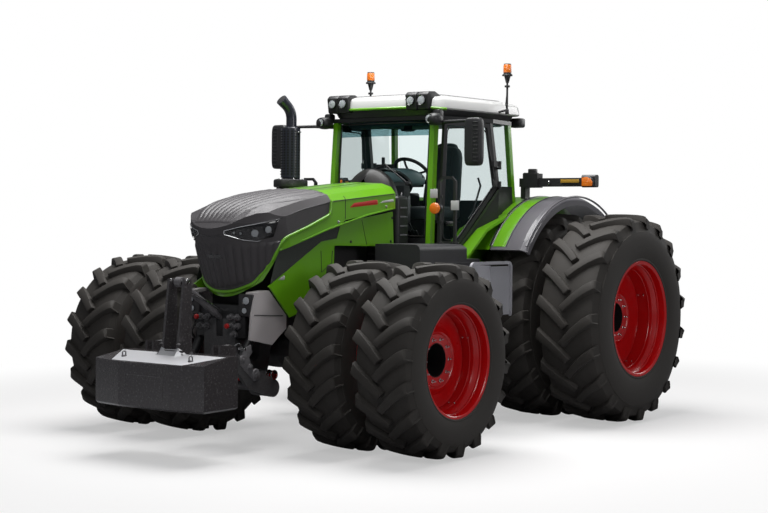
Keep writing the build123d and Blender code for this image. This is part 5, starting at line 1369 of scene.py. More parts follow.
@dataclass
class TwinTyres:
    """The two tyres of one wheel, with long curved lugs in staggered rows."""

    axle: Axle
    side: Side
    lug_height: float = 0.050
    lug_curve: float = 1.35
    lug_width: float = 0.066
    lug_steps: int = 11
    lug_edge: float = 0.0065
    turns: int = 114
    # share of half the section across, and share of the tyre's height below the tread
    side_line: tuple[tuple[float, float], ...] = (
        (0.915, 0.300), (0.945, 0.345), (0.962, 0.352), (0.966, 0.366), (0.973, 0.380),
        (0.990, 0.470), (1.000, 0.580), (0.996, 0.690), (0.978, 0.800), (0.950, 0.880),
        (0.938, 0.905), (0.946, 0.925), (0.940, 0.945), (0.900, 0.965), (0.860, 1.000))

    def build(self) -> None:
        """Makes one piece of both tyres."""
        name = f"tyres_{self.axle.word}_{self.side.word}"
        section = self.axle.value[0]
        low, high = span(name)
        radius = (high.z - low.z) / 2
        centre = by((low.x + high.x) / 2, 0, (low.z + high.z) / 2)
        near, far = sorted((low.y, high.y), key=abs)
        inner = near + self.side.value * section / 2
        outer = far - self.side.value * section / 2
        shape = Shape()
        self._carcass(shape, at(centre.x, inner, centre.z), radius)
        self._lugs(shape, at(centre.x, inner, centre.z), radius)
        shape.shifted_copy((0, outer - inner, 0))
        shape.piece(f"{name}_rubber", TYRE, [name], angle=26,
                    body=f"wheel_{self.axle.word}_{self.side.word}")

    def _carcass(self, shape: Shape, centre: Vector, radius: float) -> None:
        """The casing: tread floor, shoulders and ribbed sidewalls.

        Args:
            shape: What it is added to.
            centre: The tyre's middle.
            radius: The tread's outer radius.
        """
        section, _, rim, _, _ = self.axle.value
        half, depth = section / 2, radius - (rim - 0.024)
        tread = [(0.0, self.lug_height), (0.3, self.lug_height + 0.001),
                 (0.55, self.lug_height + 0.005), (0.76, self.lug_height + 0.016),
                 (0.85, self.lug_height + 0.032)]
        line = [(across * half, radius - drop) for across, drop in tread]
        line += [(across * half, radius - drop * depth) for across, drop in self.side_line]
        mirrored = [(-across, out) for across, out in reversed(line[1:])]
        shape.spin(mirrored + line, centre, steps=self.turns)

    def _lugs(self, shape: Shape, centre: Vector, radius: float) -> None:
        """Both staggered rows of lugs, copied round the casing from one lug.

        Args:
            shape: What they are added to.
            centre: The tyre's middle.
            radius: The tread's outer radius.
        """
        _, _, _, pitches, lead = self.axle.value
        start = math.pi - (lead + 0.04) / radius
        template = self._lug_template()
        for row in (1, -1):
            for index in range(pitches):
                turn = start + math.tau * (index + (0.5 if row < 0 else 0.0)) / pitches
                first = len(shape.bm.verts)
                shape.bm.from_mesh(template)
                shape.bm.verts.ensure_lookup_table()
                for vert in shape.bm.verts[first:]:
                    vert.co = self._lug_place(vert.co, row, turn, centre, radius)
        bpy.data.meshes.remove(template)

    def _lug_template(self) -> bpy.types.Mesh:
        """One straight lug: x from 0 to 1 along it, y across and z up its height.

        Returns:
            The mesh of one straight lug.
        """
        bm = bmesh.new()
        place = Matrix.Translation((0.15, 0, 0.03))
        place = place @ Matrix.Diagonal((0.30, self.lug_width, 0.06, 1))
        bmesh.ops.create_cube(bm, size=1, matrix=place)
        long_edges = [edge for edge in bm.edges
                      if abs(edge.verts[0].co.x - edge.verts[1].co.x) > 0.1]
        bmesh.ops.subdivide_edges(bm, edges=long_edges, cuts=self.lug_steps)
        floor = [face for face in bm.faces if face.normal.z < -0.5]
        bmesh.ops.delete(bm, geom=floor, context="FACES")
        top = [edge for edge in bm.edges if edge.is_manifold and edge.calc_face_angle() > 0.5]
        bmesh.ops.bevel(bm, geom=top, offset=self.lug_edge, offset_type="OFFSET", segments=2,
                        profile=0.5, affect="EDGES", clamp_overlap=True, material=-1)
        for vert in bm.verts:
            vert.co = (vert.co.x / 0.30, vert.co.y, vert.co.z / 0.06)
        mesh = bpy.data.meshes.new("lug")
        bm.to_mesh(mesh)
        bm.free()
        return mesh

    def _lug_place(self, spot: Vector, row: int, turn: float, centre: Vector,
                   radius: float) -> Vector:
        """Where a point of the straight lug lies on the tyre.

        Args:
            spot: Share along the lug, distance across it and share of its height.
            row: 1 for the row on +Y, -1 for the other.
            turn: The lug's angle round the wheel, forwards from the top.
            centre: The tyre's middle.
            radius: The tread's outer radius.

        Returns:
            The point in the frame.
        """
        half, lead = self.axle.value[0] / 2, self.axle.value[4]
        # share along, across at the foot, drop at the foot, across at the top, drop at the top
        rows = ((0.0, -0.075, 0.056, -0.065, 0.000), (0.40, 0.36, 0.058, 0.36, 0.001),
                (0.70, 0.70, 0.068, 0.68, 0.006), (0.86, 0.86, 0.085, 0.83, 0.014),
                (0.95, 0.93, 0.112, 0.895, 0.026), (1.0, 0.962, 0.142, 0.915, 0.044))
        _, foot, foot_drop, head, head_drop = along_table(rows, spot.x)
        across = (foot + (head - foot) * spot.z) * half
        drop = foot_drop + (head_drop - foot_drop) * spot.z
        slope = lead * self.lug_curve * (1 - spot.x) ** (self.lug_curve - 1) / half
        reach = math.sqrt(1 + slope * slope)
        width = spot.y * (1.32 - 0.32 * spot.z) * (1.0 + 0.42 * spot.x)
        forward = lead * (1 - spot.x) ** self.lug_curve + width / reach
        across = across + width * slope / reach
        angle = turn + forward / radius
        out = radius - drop
        return Vector((centre.x + math.sin(angle) * out, centre.y + row * across,
                       centre.z + math.cos(angle) * out))


@dataclass
class TwinRims:
    """Both red rims of one wheel with their dished discs, hub drum and wheel nuts."""

    axle: Axle
    side: Side
    lip: float = 0.024
    bore: float = 0.152
    nuts: int = 10
    nut_circle: float = 0.190
    valves: int = 4
    turns: int = 96

    def build(self) -> None:
        """Makes the red pressings, the bright nuts and the black hub."""
        name = f"rims_{self.axle.word}_{self.side.word}"
        body = f"wheel_{self.axle.word}_{self.side.word}"
        low, high = span(name)
        tyre_low, tyre_high = span(f"tyres_{self.axle.word}_{self.side.word}")
        section, width, rim, _, _ = self.axle.value
        side = self.side.value
        near, far = sorted((tyre_low.y, tyre_high.y), key=abs)
        middle = by((low.x + high.x) / 2, 0, (low.z + high.z) / 2)
        inner = at(middle.x, near + side * section / 2, middle.z)
        outer = at(middle.x, far - side * section / 2, middle.z)
        out = (0, side, 0)
        shape = Shape()
        for place in (inner, outer):
            shape.spin(self._barrel(rim, width / 2), place, out, steps=self.turns, closed=True)
            shape.spin(self._disc(rim), place, out, steps=self.turns, closed=True)
        gap = abs(outer.y - inner.y)
        drum = [(0.02, self.bore + 0.085), (gap - 0.012, self.bore + 0.085),
                (gap - 0.012, self.bore + 0.055), (0.02, self.bore + 0.055)]
        shape.spin(drum, inner, out, steps=48, closed=True)
        shape.piece(f"{name}_pressings", RIM_RED, [name], angle=30, body=body)
        self._fastenings(name, body, outer, rim)
        self._hub(name, body, inner, outer)

    def _barrel(self, rim: float, half: float) -> list[tuple[float, float]]:
        """Outline of one rim: rolled flanges, bead seats, a stepped well and its ridges.

        Args:
            rim: The flange's outer radius.
            half: Half the rim's width.

        Returns:
            Distances along the axle and out from it.
        """
        seat = rim - self.lip
        side = [(half - 0.014, seat + 0.002), (half - 0.013, rim - 0.006),
                (half - 0.009, rim - 0.001), (half - 0.004, rim), (half, rim - 0.004),
                (half, rim - 0.011), (half - 0.003, rim - 0.017), (half - 0.004, seat - 0.004),
                (half - 0.009, seat - 0.011), (half - 0.018, seat - 0.013),
                (half - 0.075, seat - 0.015), (half - 0.079, seat - 0.021),
                (half - 0.087, seat - 0.023), (half - 0.094, seat - 0.020),
                (half - 0.099, seat - 0.024), (half - 0.130, seat - 0.046),
                (half - 0.140, seat - 0.050), (half - 0.168, seat - 0.051),
                (half - 0.172, seat - 0.055), (half - 0.178, seat - 0.055),
                (half - 0.182, seat - 0.051)]
        hidden = [(half - 0.096, seat), (half - 0.136, seat - 0.036)]
        inside = side + [(-across, out) for across, out in reversed(side)]
        back = [(-across, out) for across, out in reversed(hidden)][::-1] + hidden[::-1]
        return inside + back

    def _disc(self, rim: float) -> list[tuple[float, float]]:
        """Outline of the dished disc: rim weld, web, conical ring and flat hub face.

        Args:
            rim: The flange's outer radius.

        Returns:
            Distances along the axle and out from it.
        """
        edge = rim - 0.078
        face = [(0.020, edge), (0.016, edge - 0.012), (0.012, edge - 0.030), (0.012, 0.310),
                (0.016, 0.296), (0.046, 0.262), (0.051, 0.248), (0.046, 0.236), (0.036, 0.228),
                (0.034, 0.216), (0.034, self.bore + 0.010), (0.030, self.bore)]
        return face + [(along - 0.020, out) for along, out in reversed(face)]

    def _fastenings(self, name: str, body: str, outer: Vector, rim: float) -> None:
        """Nuts round the bore and the small bright heads on the barrel.

        Args:
            name: The rims' CAD node.
            body: The wheel they turn with.
            outer: The outer rim's middle.
            rim: The flange's outer radius.
        """
        side = self.side.value
        shape = Shape()
        foot = outer + by(0, side * 0.034, 0)
        for index in range(self.nuts):
            angle = math.tau * (index + 0.5) / self.nuts
            spot = foot + by(math.sin(angle) * self.nut_circle, 0,
                             math.cos(angle) * self.nut_circle)
            shape.rod(spot, spot + by(0, side * 0.005, 0), 0.017, sides=18, bevel=0.0015,
                      segments=1)
            shape.rod(spot, spot + by(0, side * 0.024, 0), 0.0115, 0.0105, sides=6, bevel=0.0015,
                      segments=1)
            shape.rod(spot, spot + by(0, side * 0.034, 0), 0.006, sides=12, bevel=0.001, segments=1)
        for index in range(self.valves):
            angle = math.tau * (index + 0.28) / self.valves
            for along in (0.045, 0.105):
                out = rim - 0.079
                spot = outer + by(math.sin(angle) * out, side * along, math.cos(angle) * out)
                inward = by(-math.sin(angle), 0, -math.cos(angle))
                shape.rod(spot, spot + inward * 0.010, 0.009, 0.007, sides=12, bevel=0.001,
                          segments=1)
        shape.piece(f"{name}_nuts", BRIGHT, body=body)

    def _hub(self, name: str, body: str, inner: Vector, outer: Vector) -> None:
        """The dark hub seen down the bore, with its cap and cap screws.

        Args:
            name: The rims' CAD node.
            body: The wheel it turns with.
            inner: The inner rim's middle.
            outer: The outer rim's middle.
        """
        side = self.side.value
        shape = Shape()
        out = (0, side, 0)
        gap = abs(outer.y - inner.y)
        low, high = span(name)
        reach = abs(inner.y) - min(abs(low.y), abs(high.y))
        tube = [(-reach, 0.086), (-reach, 0.180), (-0.02, 0.180), (-0.02, 0.150), (0.055, 0.148),
                (0.075, 0.136), (0.080, 0.118), (0.100, 0.112), (0.105, 0.098), (0.105, 0.0)]
        shape.spin(tube, inner, out, steps=48)
        sleeve = [(0.030, 0.151), (gap + 0.028, 0.151), (gap + 0.028, 0.146), (0.030, 0.146)]
        shape.spin(sleeve, inner, out, steps=48, closed=True)
        for index in range(8):
            angle = math.tau * index / 8
            spot = inner + by(math.sin(angle) * 0.127, side * 0.076, math.cos(angle) * 0.127)
            shape.bolts([spot], out, 0.008, 0.008, washer=False)
        shape.piece(f"{name}_hub", BLACK_METAL, body=body)


# ---------------------------------------------------------------- bonnet
@dataclass
class Bonnet:
    """The fluted nose, headlamps, green lip and stripes laid on the bonnet's own form."""

    top_flutes: int = 9
    front_flutes: int = 17
    flute_rise: float = 0.012
    rib_start: float = 3.163
    rib_length: float = 1.077
    # each lamp's place, radius, height above the nose and depth
    lamps: tuple[tuple[Point, float, float, float], ...] = (
        ((4.085, 0.372, 1.953), 0.040, 0.012, 0.02), ((3.985, 0.44, 1.985), 0.037, 0.012, 0.02),
        ((4.215, 0.24, 1.955), 0.013, 0.008, 0.01), ((4.18, 0.29, 1.950), 0.013, 0.008, 0.01))

    def build(self) -> None:
        """Lays each piece on the CAD bonnet and finishes the bonnet itself."""
        dress(GREEN, "bonnet_shell")
        dress(CHARCOAL, "bonnet_grille")
        self.skin = Skin("bonnet_shell", "bonnet_grille")
        self._top()
        self._front()
        self._headlamps()
        self._lip()
        self._sides()

    def _top(self) -> None:
        """Broad ribs that run forward and converge to the nose."""
        def rule(u: float, v: float) -> Vector:
            """Rays from above, narrowing forwards."""
            half = 0.472 - 0.262 * u ** 1.9
            return at(self.rib_start + self.rib_length * u, (v - 0.5) * 2 * half, 3.0)

        def relief(u: float, v: float) -> float:
            """Ribs that fade out at both ends.

            Args:
                u: The share along the bonnet.
                v: The share across it.

            Returns:
                The height of the rib.
            """
            rib = abs(math.sin(math.pi * self.top_flutes * v)) ** 0.6
            ends = fade(u, 0.0, 0.05) * (1 - fade(u, 0.90, 0.99))
            return self.flute_rise * rib * ends * fade(0.5 - abs(v - 0.5), 0.0, 0.1)

        shape = Shape()
        shape.laid(self.skin, rule, DOWN, 80, self.top_flutes * 10, raised(0.007, relief), blend=9)
        shape.piece("bonnet_top_flutes", CHARCOAL, angle=60, body="bonnet")

    def _front(self) -> None:
        """Upright ribs round the front of the nose, between the lamps and the lip."""
        centre = at(3.45, 0, 0)
        right = [(50, 1.865), (46, 1.76), (41, 1.65), (35, 1.575), (28, 1.525), (18, 1.478),
                 (9, 1.448)]
        low = [(-angle, z, 0) for angle, z in right] + [(0, 1.438, 0)]
        low += [(angle, z, 0) for angle, z in right[::-1]]
        edges = between(low, [(-50, 1.885, 0), (50, 1.885, 0)])

        def ray(u: float, v: float) -> Vector:
            """The way out from the middle of the nose at this share round it."""
            angle = math.radians(edges(u, v).x)
            return by(math.cos(angle), math.sin(angle), 0)

        def rule(u: float, v: float) -> Vector:
            """Rays from outside towards the middle, between the two edges of the ribs."""
            return centre + ray(u, v) * 1.6 + by(0, 0, edges(u, v).y)

        def relief(u: float, v: float) -> float:
            """Ribs that fade out at the top and bottom."""
            rib = abs(math.sin(math.pi * self.front_flutes * u)) ** 0.7
            return self.flute_rise * rib * fade(v, 0.0, 0.12) * (1 - fade(v, 0.82, 0.98))

        shape = Shape()
        shape.laid(self.skin, rule, lambda u, v: -ray(u, v), self.front_flutes * 8, 24,
                   raised(0.004, relief), blend=10)
        shape.piece("bonnet_front_flutes", CHARCOAL, angle=60, body="bonnet")
        shut = [at(4.6, y, 1.915 + 0.02 * abs(y) / 0.18) for y in (-0.17, -0.09, 0.0, 0.09, 0.17)]
        seam = Shape()
        seam.tube(self.skin.line(shut, BACKWARDS, 0.001), SEAM, THIN)
        plate = between([at(4.6, -0.10, 1.715), at(4.6, 0.10, 1.715)],
                        [at(4.6, -0.10, 1.765), at(4.6, 0.10, 1.765)])
        seam.laid(self.skin, plate, BACKWARDS, 16, 6, raised(0.010))
        seam.piece("bonnet_blank_plate", GLOSS_BLACK, body="bonnet")

    def _headlamps(self) -> None:
        """Slanted housings with a bright outline, two round lamps each and a clear cover."""
        away = by(1.0, 0.8, 0.0)
        top = [at(4.258, 0.165, 1.972), at(4.19, 0.29, 2.008), at(4.06, 0.40, 2.040),
               at(3.86, 0.47, 2.078)]
        low = [at(4.258, 0.165, 1.940), at(4.17, 0.30, 1.893), at(4.08, 0.39, 1.880),
               at(3.93, 0.47, 1.915)]
        rays = [[point + away * 0.6 for point in line] for line in (low, top)]
        housing = Shape()
        housing.laid(self.skin, between(*rays), -away, 26, 8, raised(0.003))
        housing.both_sides().piece("headlamp_housings", GLOSS_BLACK, body="bonnet")
        outline = [along(rays[1], step / 14) for step in range(15)]
        under = [along(rays[0], step / 14) for step in range(15)]
        rim = Shape()
        rim.tube(self.skin.line(outline, -away, 0.006), 0.0045, THIN)
        rim.tube(self.skin.line(under[:11], -away, 0.006), SEAM, THIN)
        rim.tube(self.skin.line([under[0], outline[0]], -away, 0.006), 0.004, THIN)
        rim.both_sides().piece("headlamp_outlines", CHROME, body="bonnet")
        lamps = LampSet("headlamp", "bonnet", CLEAR_LENS)
        for side in (1, -1):
            for place, radius, lift, depth in self.lamps:
                spot, normal = self.skin.hit(at(*place) + away * 0.6, -away)
                spot.y, normal.y = spot.y * side, normal.y * side
                lamps.lamp(spot + normal * lift, normal, radius, depth)
        lamps.build()
        cover = Shape()
        cover.laid(self.skin, between(*rays), -away, 26, 6, raised(0.018))
        cover.both_sides().piece("headlamp_covers", LAMP_COVER, body="bonnet")

    def _lip(self) -> None:
        """The rolled green edge that frames the dark nose, and the green edge below it."""
        # name, radius, sides and lift of each, then y and z round the nose and x and z back from it
        edges = (
            ("bonnet_lip", 0.016, 12, 0.002,
             ((0.0, 1.419), (0.10, 1.424), (0.20, 1.455), (0.30, 1.50), (0.38, 1.545)),
             ((3.90, 1.740), (3.865, 1.85), (3.81, 1.911), (3.50, 2.008), (3.18, 2.123),
              (3.168, 2.19), (3.16, 2.25))),
            ("bonnet_edge", 0.010, 10, 0.0,
             ((0.0, 1.352), (0.10, 1.358), (0.20, 1.395), (0.29, 1.44)),
             ((3.955, 1.53), (3.86, 1.80), (3.50, 1.905), (3.22, 1.985), (2.95, 2.055),
              (2.60, 2.125), (2.20, 2.19))),
        )
        for name, radius, sides, lift, front, side in edges:
            path = self.skin.line([at(4.7, y, z) for y, z in front], BACKWARDS, lift)
            path += self.skin.line(flank(side), INWARDS, lift)
            rolled = Shape()
            rolled.tube(round_path(path, 0.05, 3), radius, sides)
            rolled.both_sides().piece(name, GREEN, body="bonnet")

    def _sides(self) -> None:
        """Shut lines, a black line along the crease that paints the shade under its overhang, the
        two-colour stripe and the latch on each flank.
        """
        lines = Shape()
        # The black tube along the crease paints the shade under its overhang; the others are shut
        # lines.
        crease = [(4.02, 2.052), (3.87, 2.086), (3.58, 2.165), (3.19, 2.240), (2.9, 2.270),
                  (2.5, 2.308), (2.17, 2.335)]
        lines.tube(self.skin.line(flank(crease), INWARDS, 0.0005), 0.004, THIN)
        for ends in ([(2.945, 2.055), (2.945, 2.30)], [(3.172, 2.135), (3.160, 2.255)]):
            foot, head = flank(ends)
            spots = [foot.lerp(head, step / 8) for step in range(9)]
            lines.tube(self.skin.line(spots, INWARDS, 0.0), SEAM, THIN)
        lines.both_sides().piece("bonnet_shut_lines", BLACK, body="bonnet")
        over = [at(3.165, y, 3.0) for y in (-0.40, -0.3, -0.2, -0.1, 0.0, 0.1, 0.2, 0.3, 0.40)]
        seal = Shape()
        seal.tube(self.skin.line(over, DOWN, 0.0), 0.005, THIN)
        for y in (-0.13, 0.13):
            seam = [at(2.2 + 0.094 * step, y * (1 + 0.05 * step), 3.0) for step in range(11)]
            seal.tube(self.skin.line(seam, DOWN, -0.001), 0.004, THIN)
        seal.piece("bonnet_top_seams", BLACK, body="bonnet")
        stripes = ((SILVER, (2.17, 2.405), 0.020, 0.052), (STRIPE_RED, (2.425, 2.90), 0.006, 0.068))
        for finish, ends, low, high in stripes:
            stripe = Shape()
            start, end = ((x, 2.235 - 0.081 * (x - 2.20)) for x in ends)
            slant = 0.19 * (end[0] - start[0])
            rule = between([at(start[0], 1.2, start[1] + low), at(end[0], 1.2, end[1] + low)],
                           [at(start[0] + 0.01, 1.2, start[1] + high),
                            at(end[0] - slant, 1.2, end[1] + high - 0.004)])
            stripe.laid(self.skin, rule, INWARDS, 24, 4, raised(0.0022))
            stripe.both_sides().piece(f"bonnet_{finish.name}", finish, body="bonnet")
        latch = Shape()
        for x, z in ((3.05, 2.02), (2.3, 2.175)):
            for spot in self.skin.line([at(x, 1.2, z + 0.035)], INWARDS, 0.0):
                latch.rod(spot - by(0, 0.006, 0), spot + by(0, 0.006, 0), 0.014, sides=20)
        latch.both_sides().piece("bonnet_latches", BRIGHT, body="bonnet")


@dataclass
class EngineSides:
    """The lower green panels, the black mesh above them, its near-black colour partly painted shade
    for the shadow there, and the grey cover under the nose.
    """

    def build(self) -> None:
        """Finishes the panels and the cover, then adds the mesh, seams, lamps and couplings."""
        dress(GREEN, "engine_panels")
        dress(COVER_GREY, "front_cover")
        panel = Skin("engine_panels")
        # The near-black mesh also paints the shadow that falls there.
        mesh = Shape()
        high = [at(2.98, 1, 2.035), at(3.86, 1, 1.785), at(3.955, 1, 1.53)]
        low = [at(2.93, 1, 2.000), at(3.014, 1, 1.901), at(3.243, 1, 1.874), at(3.53, 1, 1.722),
               at(3.955, 1, 1.50)]
        mesh.surface(lambda u, v: by(1, 0.453, 1) * between(low, high)(u, v), 40, 12, 0.004)
        mesh.both_sides().piece("side_meshes", MESH)
        seams = Shape()
        fold = [(3.08, 1.787), (3.09, 1.672), (3.24, 1.590), (3.25, 1.789)]
        seams.tube(panel.line(flank(fold, 1), INWARDS, 0.0), SEAM, THIN)
        fold = [at(2.55 + 0.01 * step, 1, 1.84 + 0.03 * step) for step in range(9)]
        seams.tube(panel.line(fold, INWARDS, 0.0), 0.003, THIN)
        seams.both_sides().piece("panel_seams", BLACK)
        plate = Shape()
        rule = between([at(3.86, 1, 1.528), at(3.76, 1, 1.528)],
                       [at(3.86, 1, 1.572), at(3.76, 1, 1.572)])
        plate.laid(panel, rule, INWARDS, 6, 4, raised(0.004))
        plate.both_sides().piece("blank_side_plates", WHITE)
        bolts = Shape()
        for x, z in ((2.16, 1.87), (2.14, 2.1), (3.02, 1.55), (3.45, 1.32), (3.9, 1.40),
                     (2.8, 1.87), (3.3, 1.48)):
            for spot in panel.line([at(x, 1, z)], INWARDS, 0.0):
                bolts.bolts([spot], (0, 1, 0), 0.010, 0.006)
        bolts.both_sides().piece("panel_bolts", BLACK_METAL)
        self._cover()

    def _cover(self) -> None:
        """The cover's seam, the dark recess, the work lamps and the couplings under the nose."""
        skin = Skin("front_cover")
        lines = Shape()
        seam = [at(3.64 + 0.056 * step, 1, 1.200 + 0.0031 * step) for step in range(11)]
        lines.tube(skin.line(seam, INWARDS, 0.0), 0.004, THIN)
        lines.both_sides().piece("cover_seams", BLACK)
        _, high = span("front_cover")
        recess = Shape()
        recess.box(at(high.x - 0.10, 0, 1.16), (0.05, 0.60, 0.30), 0.02)
        recess.box(at(high.x - 0.30, 0, 1.34), (0.05, 0.58, 0.16), 0.02)
        recess.piece("nose_recess", BLACK)
        lamps = LampSet("nose_lamp", "chassis", CLEAR_LENS)
        for y, z, radius in ((0.335, 1.352, 0.040), (0.315, 1.262, 0.030)):
            for side in (1, -1):
                lamps.lamp(at(high.x - 0.045, y * side, z), (1, 0.15 * side, 0), radius, 0.04)
        lamps.build()
        dark = Shape()
        for side in (1, -1):
            dark.box(at(high.x - 0.065, 0.325 * side, 1.31), (0.03, 0.17, 0.20), 0.012)
        dark.piece("nose_lamp_boards", DARK_CAST)
        valves = Shape()
        for y, z in ((-0.22, 1.19), (-0.14, 1.19), (-0.22, 1.11), (-0.14, 1.11), (0.15, 1.20),
                     (0.23, 1.20), (0.15, 1.12), (0.23, 1.12), (0.19, 1.045)):
            face = at(high.x - 0.075, y, z)
            valves.rod(face, face + by(0.030, 0, 0), 0.030, sides=24)
            valves.rod(face, face + by(0.062, 0, 0), 0.019, sides=20)
            valves.rod(face, face + by(0.072, 0, 0), 0.011, sides=16)
        valves.piece("nose_couplings", LINK_GREY)
        caps = Shape()
        for y, z in ((-0.22, 1.19), (0.15, 1.12)):
            face = at(high.x + 0.002, y, z)
            caps.rod(face - by(0.012, 0, 0), face + by(0.012, 0, 0), 0.024, 0.020, sides=24)
        caps.piece("nose_coupling_caps", RED_CAP)


# ---------------------------------------------------------------- cab
@dataclass
class Cab:
    """The outside of the cab: frame, roof, lamps, beacons, mirrors, glass seals and wiper."""

    beacon_x: float = 0.730
    beacon_y: float = 0.890
    mirror_x: float = 1.865
    mirror_y: float = 1.23
    mirror_ribs: int = 11
    lamp_z: float = 3.277
    fog_z: float = 3.088
    rear_lamp_z: float = 3.130

    def build(self) -> None:
        """Finishes the CAD pieces and adds the fittings."""
        dress(GREEN, "cab_posts")
        dress(BLACK_METAL, "cab_ring", "door_left", "door_right")
        dress(BLACK, "cab_sides", "cab_bulkheads", "roof_lamps", "mirrors")
        dress(WHITE, "cab_roof")
        dress(PANE, "windscreen", "rear_glass", "door_glass_left", "door_glass_right")
        self._roof()
        self._roof_lamps()
        self._mirrors()
        self._beacons()
        self._seals()
        self._wiper()
        for side in Side:
            self._door(side)

    def _roof(self) -> None:
        """A thin crowned roof over a dark header, with its green front lip and its hatch."""
        low, high = span("cab_roof")
        middle, foot = (low.x + high.x) / 2, low.z + 0.092

        def ring(z: float, inset: float, corner: float = 0.15, lift: float = 1.0) -> list[Vector]:
            """A rounded outline at this height, narrower and bowed at its front.

            Args:
                z: Its height.
                inset: Distance in from the roof's sides.
                corner: Radius of its corners.
                lift: How far its front rises, as a share of the bow.

            Returns:
                The points of the outline.
            """
            half_x, half_y = (high.x - low.x) / 2 - inset - 0.03, high.y - inset

            def bent(x: float, y: float) -> Vector:
                """Narrows the outline forwards and bows its front edge out and up.

                Args:
                    x: Distance ahead of the middle.
                    y: Distance to the left of the middle.

                Returns:
                    The place in the frame.
                """
                ahead = max(0.0, x / half_x)
                wide = 1 - 0.13 * ahead ** 2
                bow = ahead ** 2 * (1 - (y / half_y) ** 2)
                return at(middle - 0.05 * ahead + x + 0.05 * bow, y * wide, z + 0.050 * bow * lift)

            line = []
            for sx, sy, start in ((1, -1, -90), (1, 1, 0), (-1, 1, 90), (-1, -1, 180)):
                for step in range(9):
                    angle = math.radians(start + 90 * step / 8)
                    line.append((sx * (half_x - corner) + corner * math.cos(angle),
                                 sy * (half_y - corner) + corner * math.sin(angle)))
            return [bent(x, y) for x, y in line]

        shell = Shape()
        top = foot - 0.030
        shell.loft([ring(top, 0.045), ring(top + 0.004, 0.010), ring(top + 0.016, 0.0),
                    ring(top + 0.090, 0.010, 0.15, 0.9), ring(top + 0.118, 0.030, 0.15, 0.8),
                    ring(top + 0.140, 0.090, 0.15, 0.6), ring(top + 0.165, 0.200, 0.15, 0.3),
                    ring(top + 0.181, 0.330, 0.12, 0.1), ring(top + 0.188, 0.460, 0.10, 0.0)])
        shell.piece("roof_shell", WHITE, ["cab_roof"], angle=40)
        header = Shape()
        header.loft([ring(low.z + 0.001, 0.085, 0.15, 0.0), ring(low.z + 0.02, 0.070, 0.15, 0.3),
                     ring(top + 0.010, 0.048)])
        header.piece("roof_header", BLACK, angle=40)
        lip = Shape()
        edge = [point for point in ring(top + 0.004, 0.002)
                if point.x > middle + REAR_AXLE_X + 0.30]
        lip.tube(sorted(edge, key=lambda point: point.y), 0.014, 10)
        lip.piece("roof_lip", GREEN)
        hatch = Shape()
        hatch.lump(at(middle - 0.15, 0, top + 0.186), (0.62, 0.66, 0.040), 0.35)
        hatch.piece("roof_hatch", WHITE)
        seam = Shape()
        seam_ring = ring(top + 0.1580, 0.160, 0.15, 0.38)
        seam.tube(seam_ring + seam_ring[:1], 0.003, THIN)
        seam.piece("roof_seam", GREY)

    def _roof_lamps(self) -> None:
        """Twin lamps on the roof's front, lamps in the mirrors' roots and at the rear corners."""
        housings, brows = Shape(), Shape()
        outline = [(1.800, 3.185), (1.822, 3.335), (1.785, 3.366), (1.68, 3.372), (1.44, 3.285),
                   (1.44, 3.22), (1.60, 3.185)]
        lamps = LampSet("roof_lamp", "chassis", CLEAR_LENS)
        housings.plate([at(x, 0.362, z) for x, z in outline], (0, 0.138, 0), 0.014, 3)
        housings.plate([at(x - 0.004, 0.502, z) for x, z in outline], (0, 0.138, 0), 0.014, 3)
        for side in (1, -1):
            for y in (0.431, 0.566):
                lamps.lamp(at(1.826, side * y, self.lamp_z), (1, 0, 0.03), 0.050, 0.04)
            lamps.lamp(at(1.862, side * 0.690, self.fog_z), (1, 0.1 * side, -0.05), 0.046, 0.05)
            lamps.lamp(at(0.195, side * 0.72, self.rear_lamp_z), (-1, 0, -0.1), 0.045, 0.04)
        brows.lump(at(1.775, 0.700, 3.085), (0.19, 0.15, 0.125), 0.8)
        brows.rod(at(1.80, 0.690, self.fog_z), at(1.855, 0.690, 3.087), 0.052, 0.050, sides=32,
                  bevel=0.004)
        brows.box(at(1.70, 0.690, 3.135), (0.10, 0.08, 0.10), 0.02)
        brows.box(at(0.25, 0.72, self.rear_lamp_z), (0.12, 0.14, 0.10), 0.02)
        housings.both_sides().piece("roof_lamp_housings", BLACK, ["roof_lamps"])
        brows.both_sides().piece("lamp_hoods", BLACK)
        lamps.build()

    def _mirrors(self) -> None:
        """Rounded heads with ribs, a parting line and two glasses each, on tapered arms."""
        low, high = span("mirrors")
        x, y = self.mirror_x, self.mirror_y
        heads, ribs, glass = Shape(), Shape(), Shape()
        middle = (low.z + high.z) / 2
        heads.lump(at(x, y, middle), (0.088, 0.188, high.z - low.z - 0.004), 0.30, 28, 28)
        heads.tube([at(1.665, 0.66, 3.055), at(1.74, 0.86, 3.058), at(x, y - 0.06, 3.052)],
                   [0.026, 0.017, 0.014], 14)
        heads.rod(at(x, y - 0.045, 3.02), at(x, y - 0.045, 3.075), 0.024, sides=24)
        for index in range(self.mirror_ribs):
            z = middle - 0.19 + 0.038 * index
            ribs.tube([at(x + 0.043, y + 0.015, z), at(x + 0.045, y + 0.045, z),
                       at(x + 0.041, y + 0.072, z)],
                      0.0045, THIN)
        ribs.tube([at(x + 0.045, y + 0.005, middle + 0.20),
                   at(x + 0.0455, y + 0.005, middle - 0.20)], 0.003, THIN)
        glass.box(at(x - 0.0435, y, middle + 0.07), (0.006, 0.155, 0.25), 0.003)
        glass.box(at(x - 0.0435, y, middle - 0.13), (0.006, 0.155, 0.11), 0.003)
        heads.both_sides().piece("mirror_heads", BLACK, ["mirrors"])
        ribs.both_sides().piece("mirror_ribs", BLACK)
        glass.both_sides().piece("mirror_glasses", MIRROR)

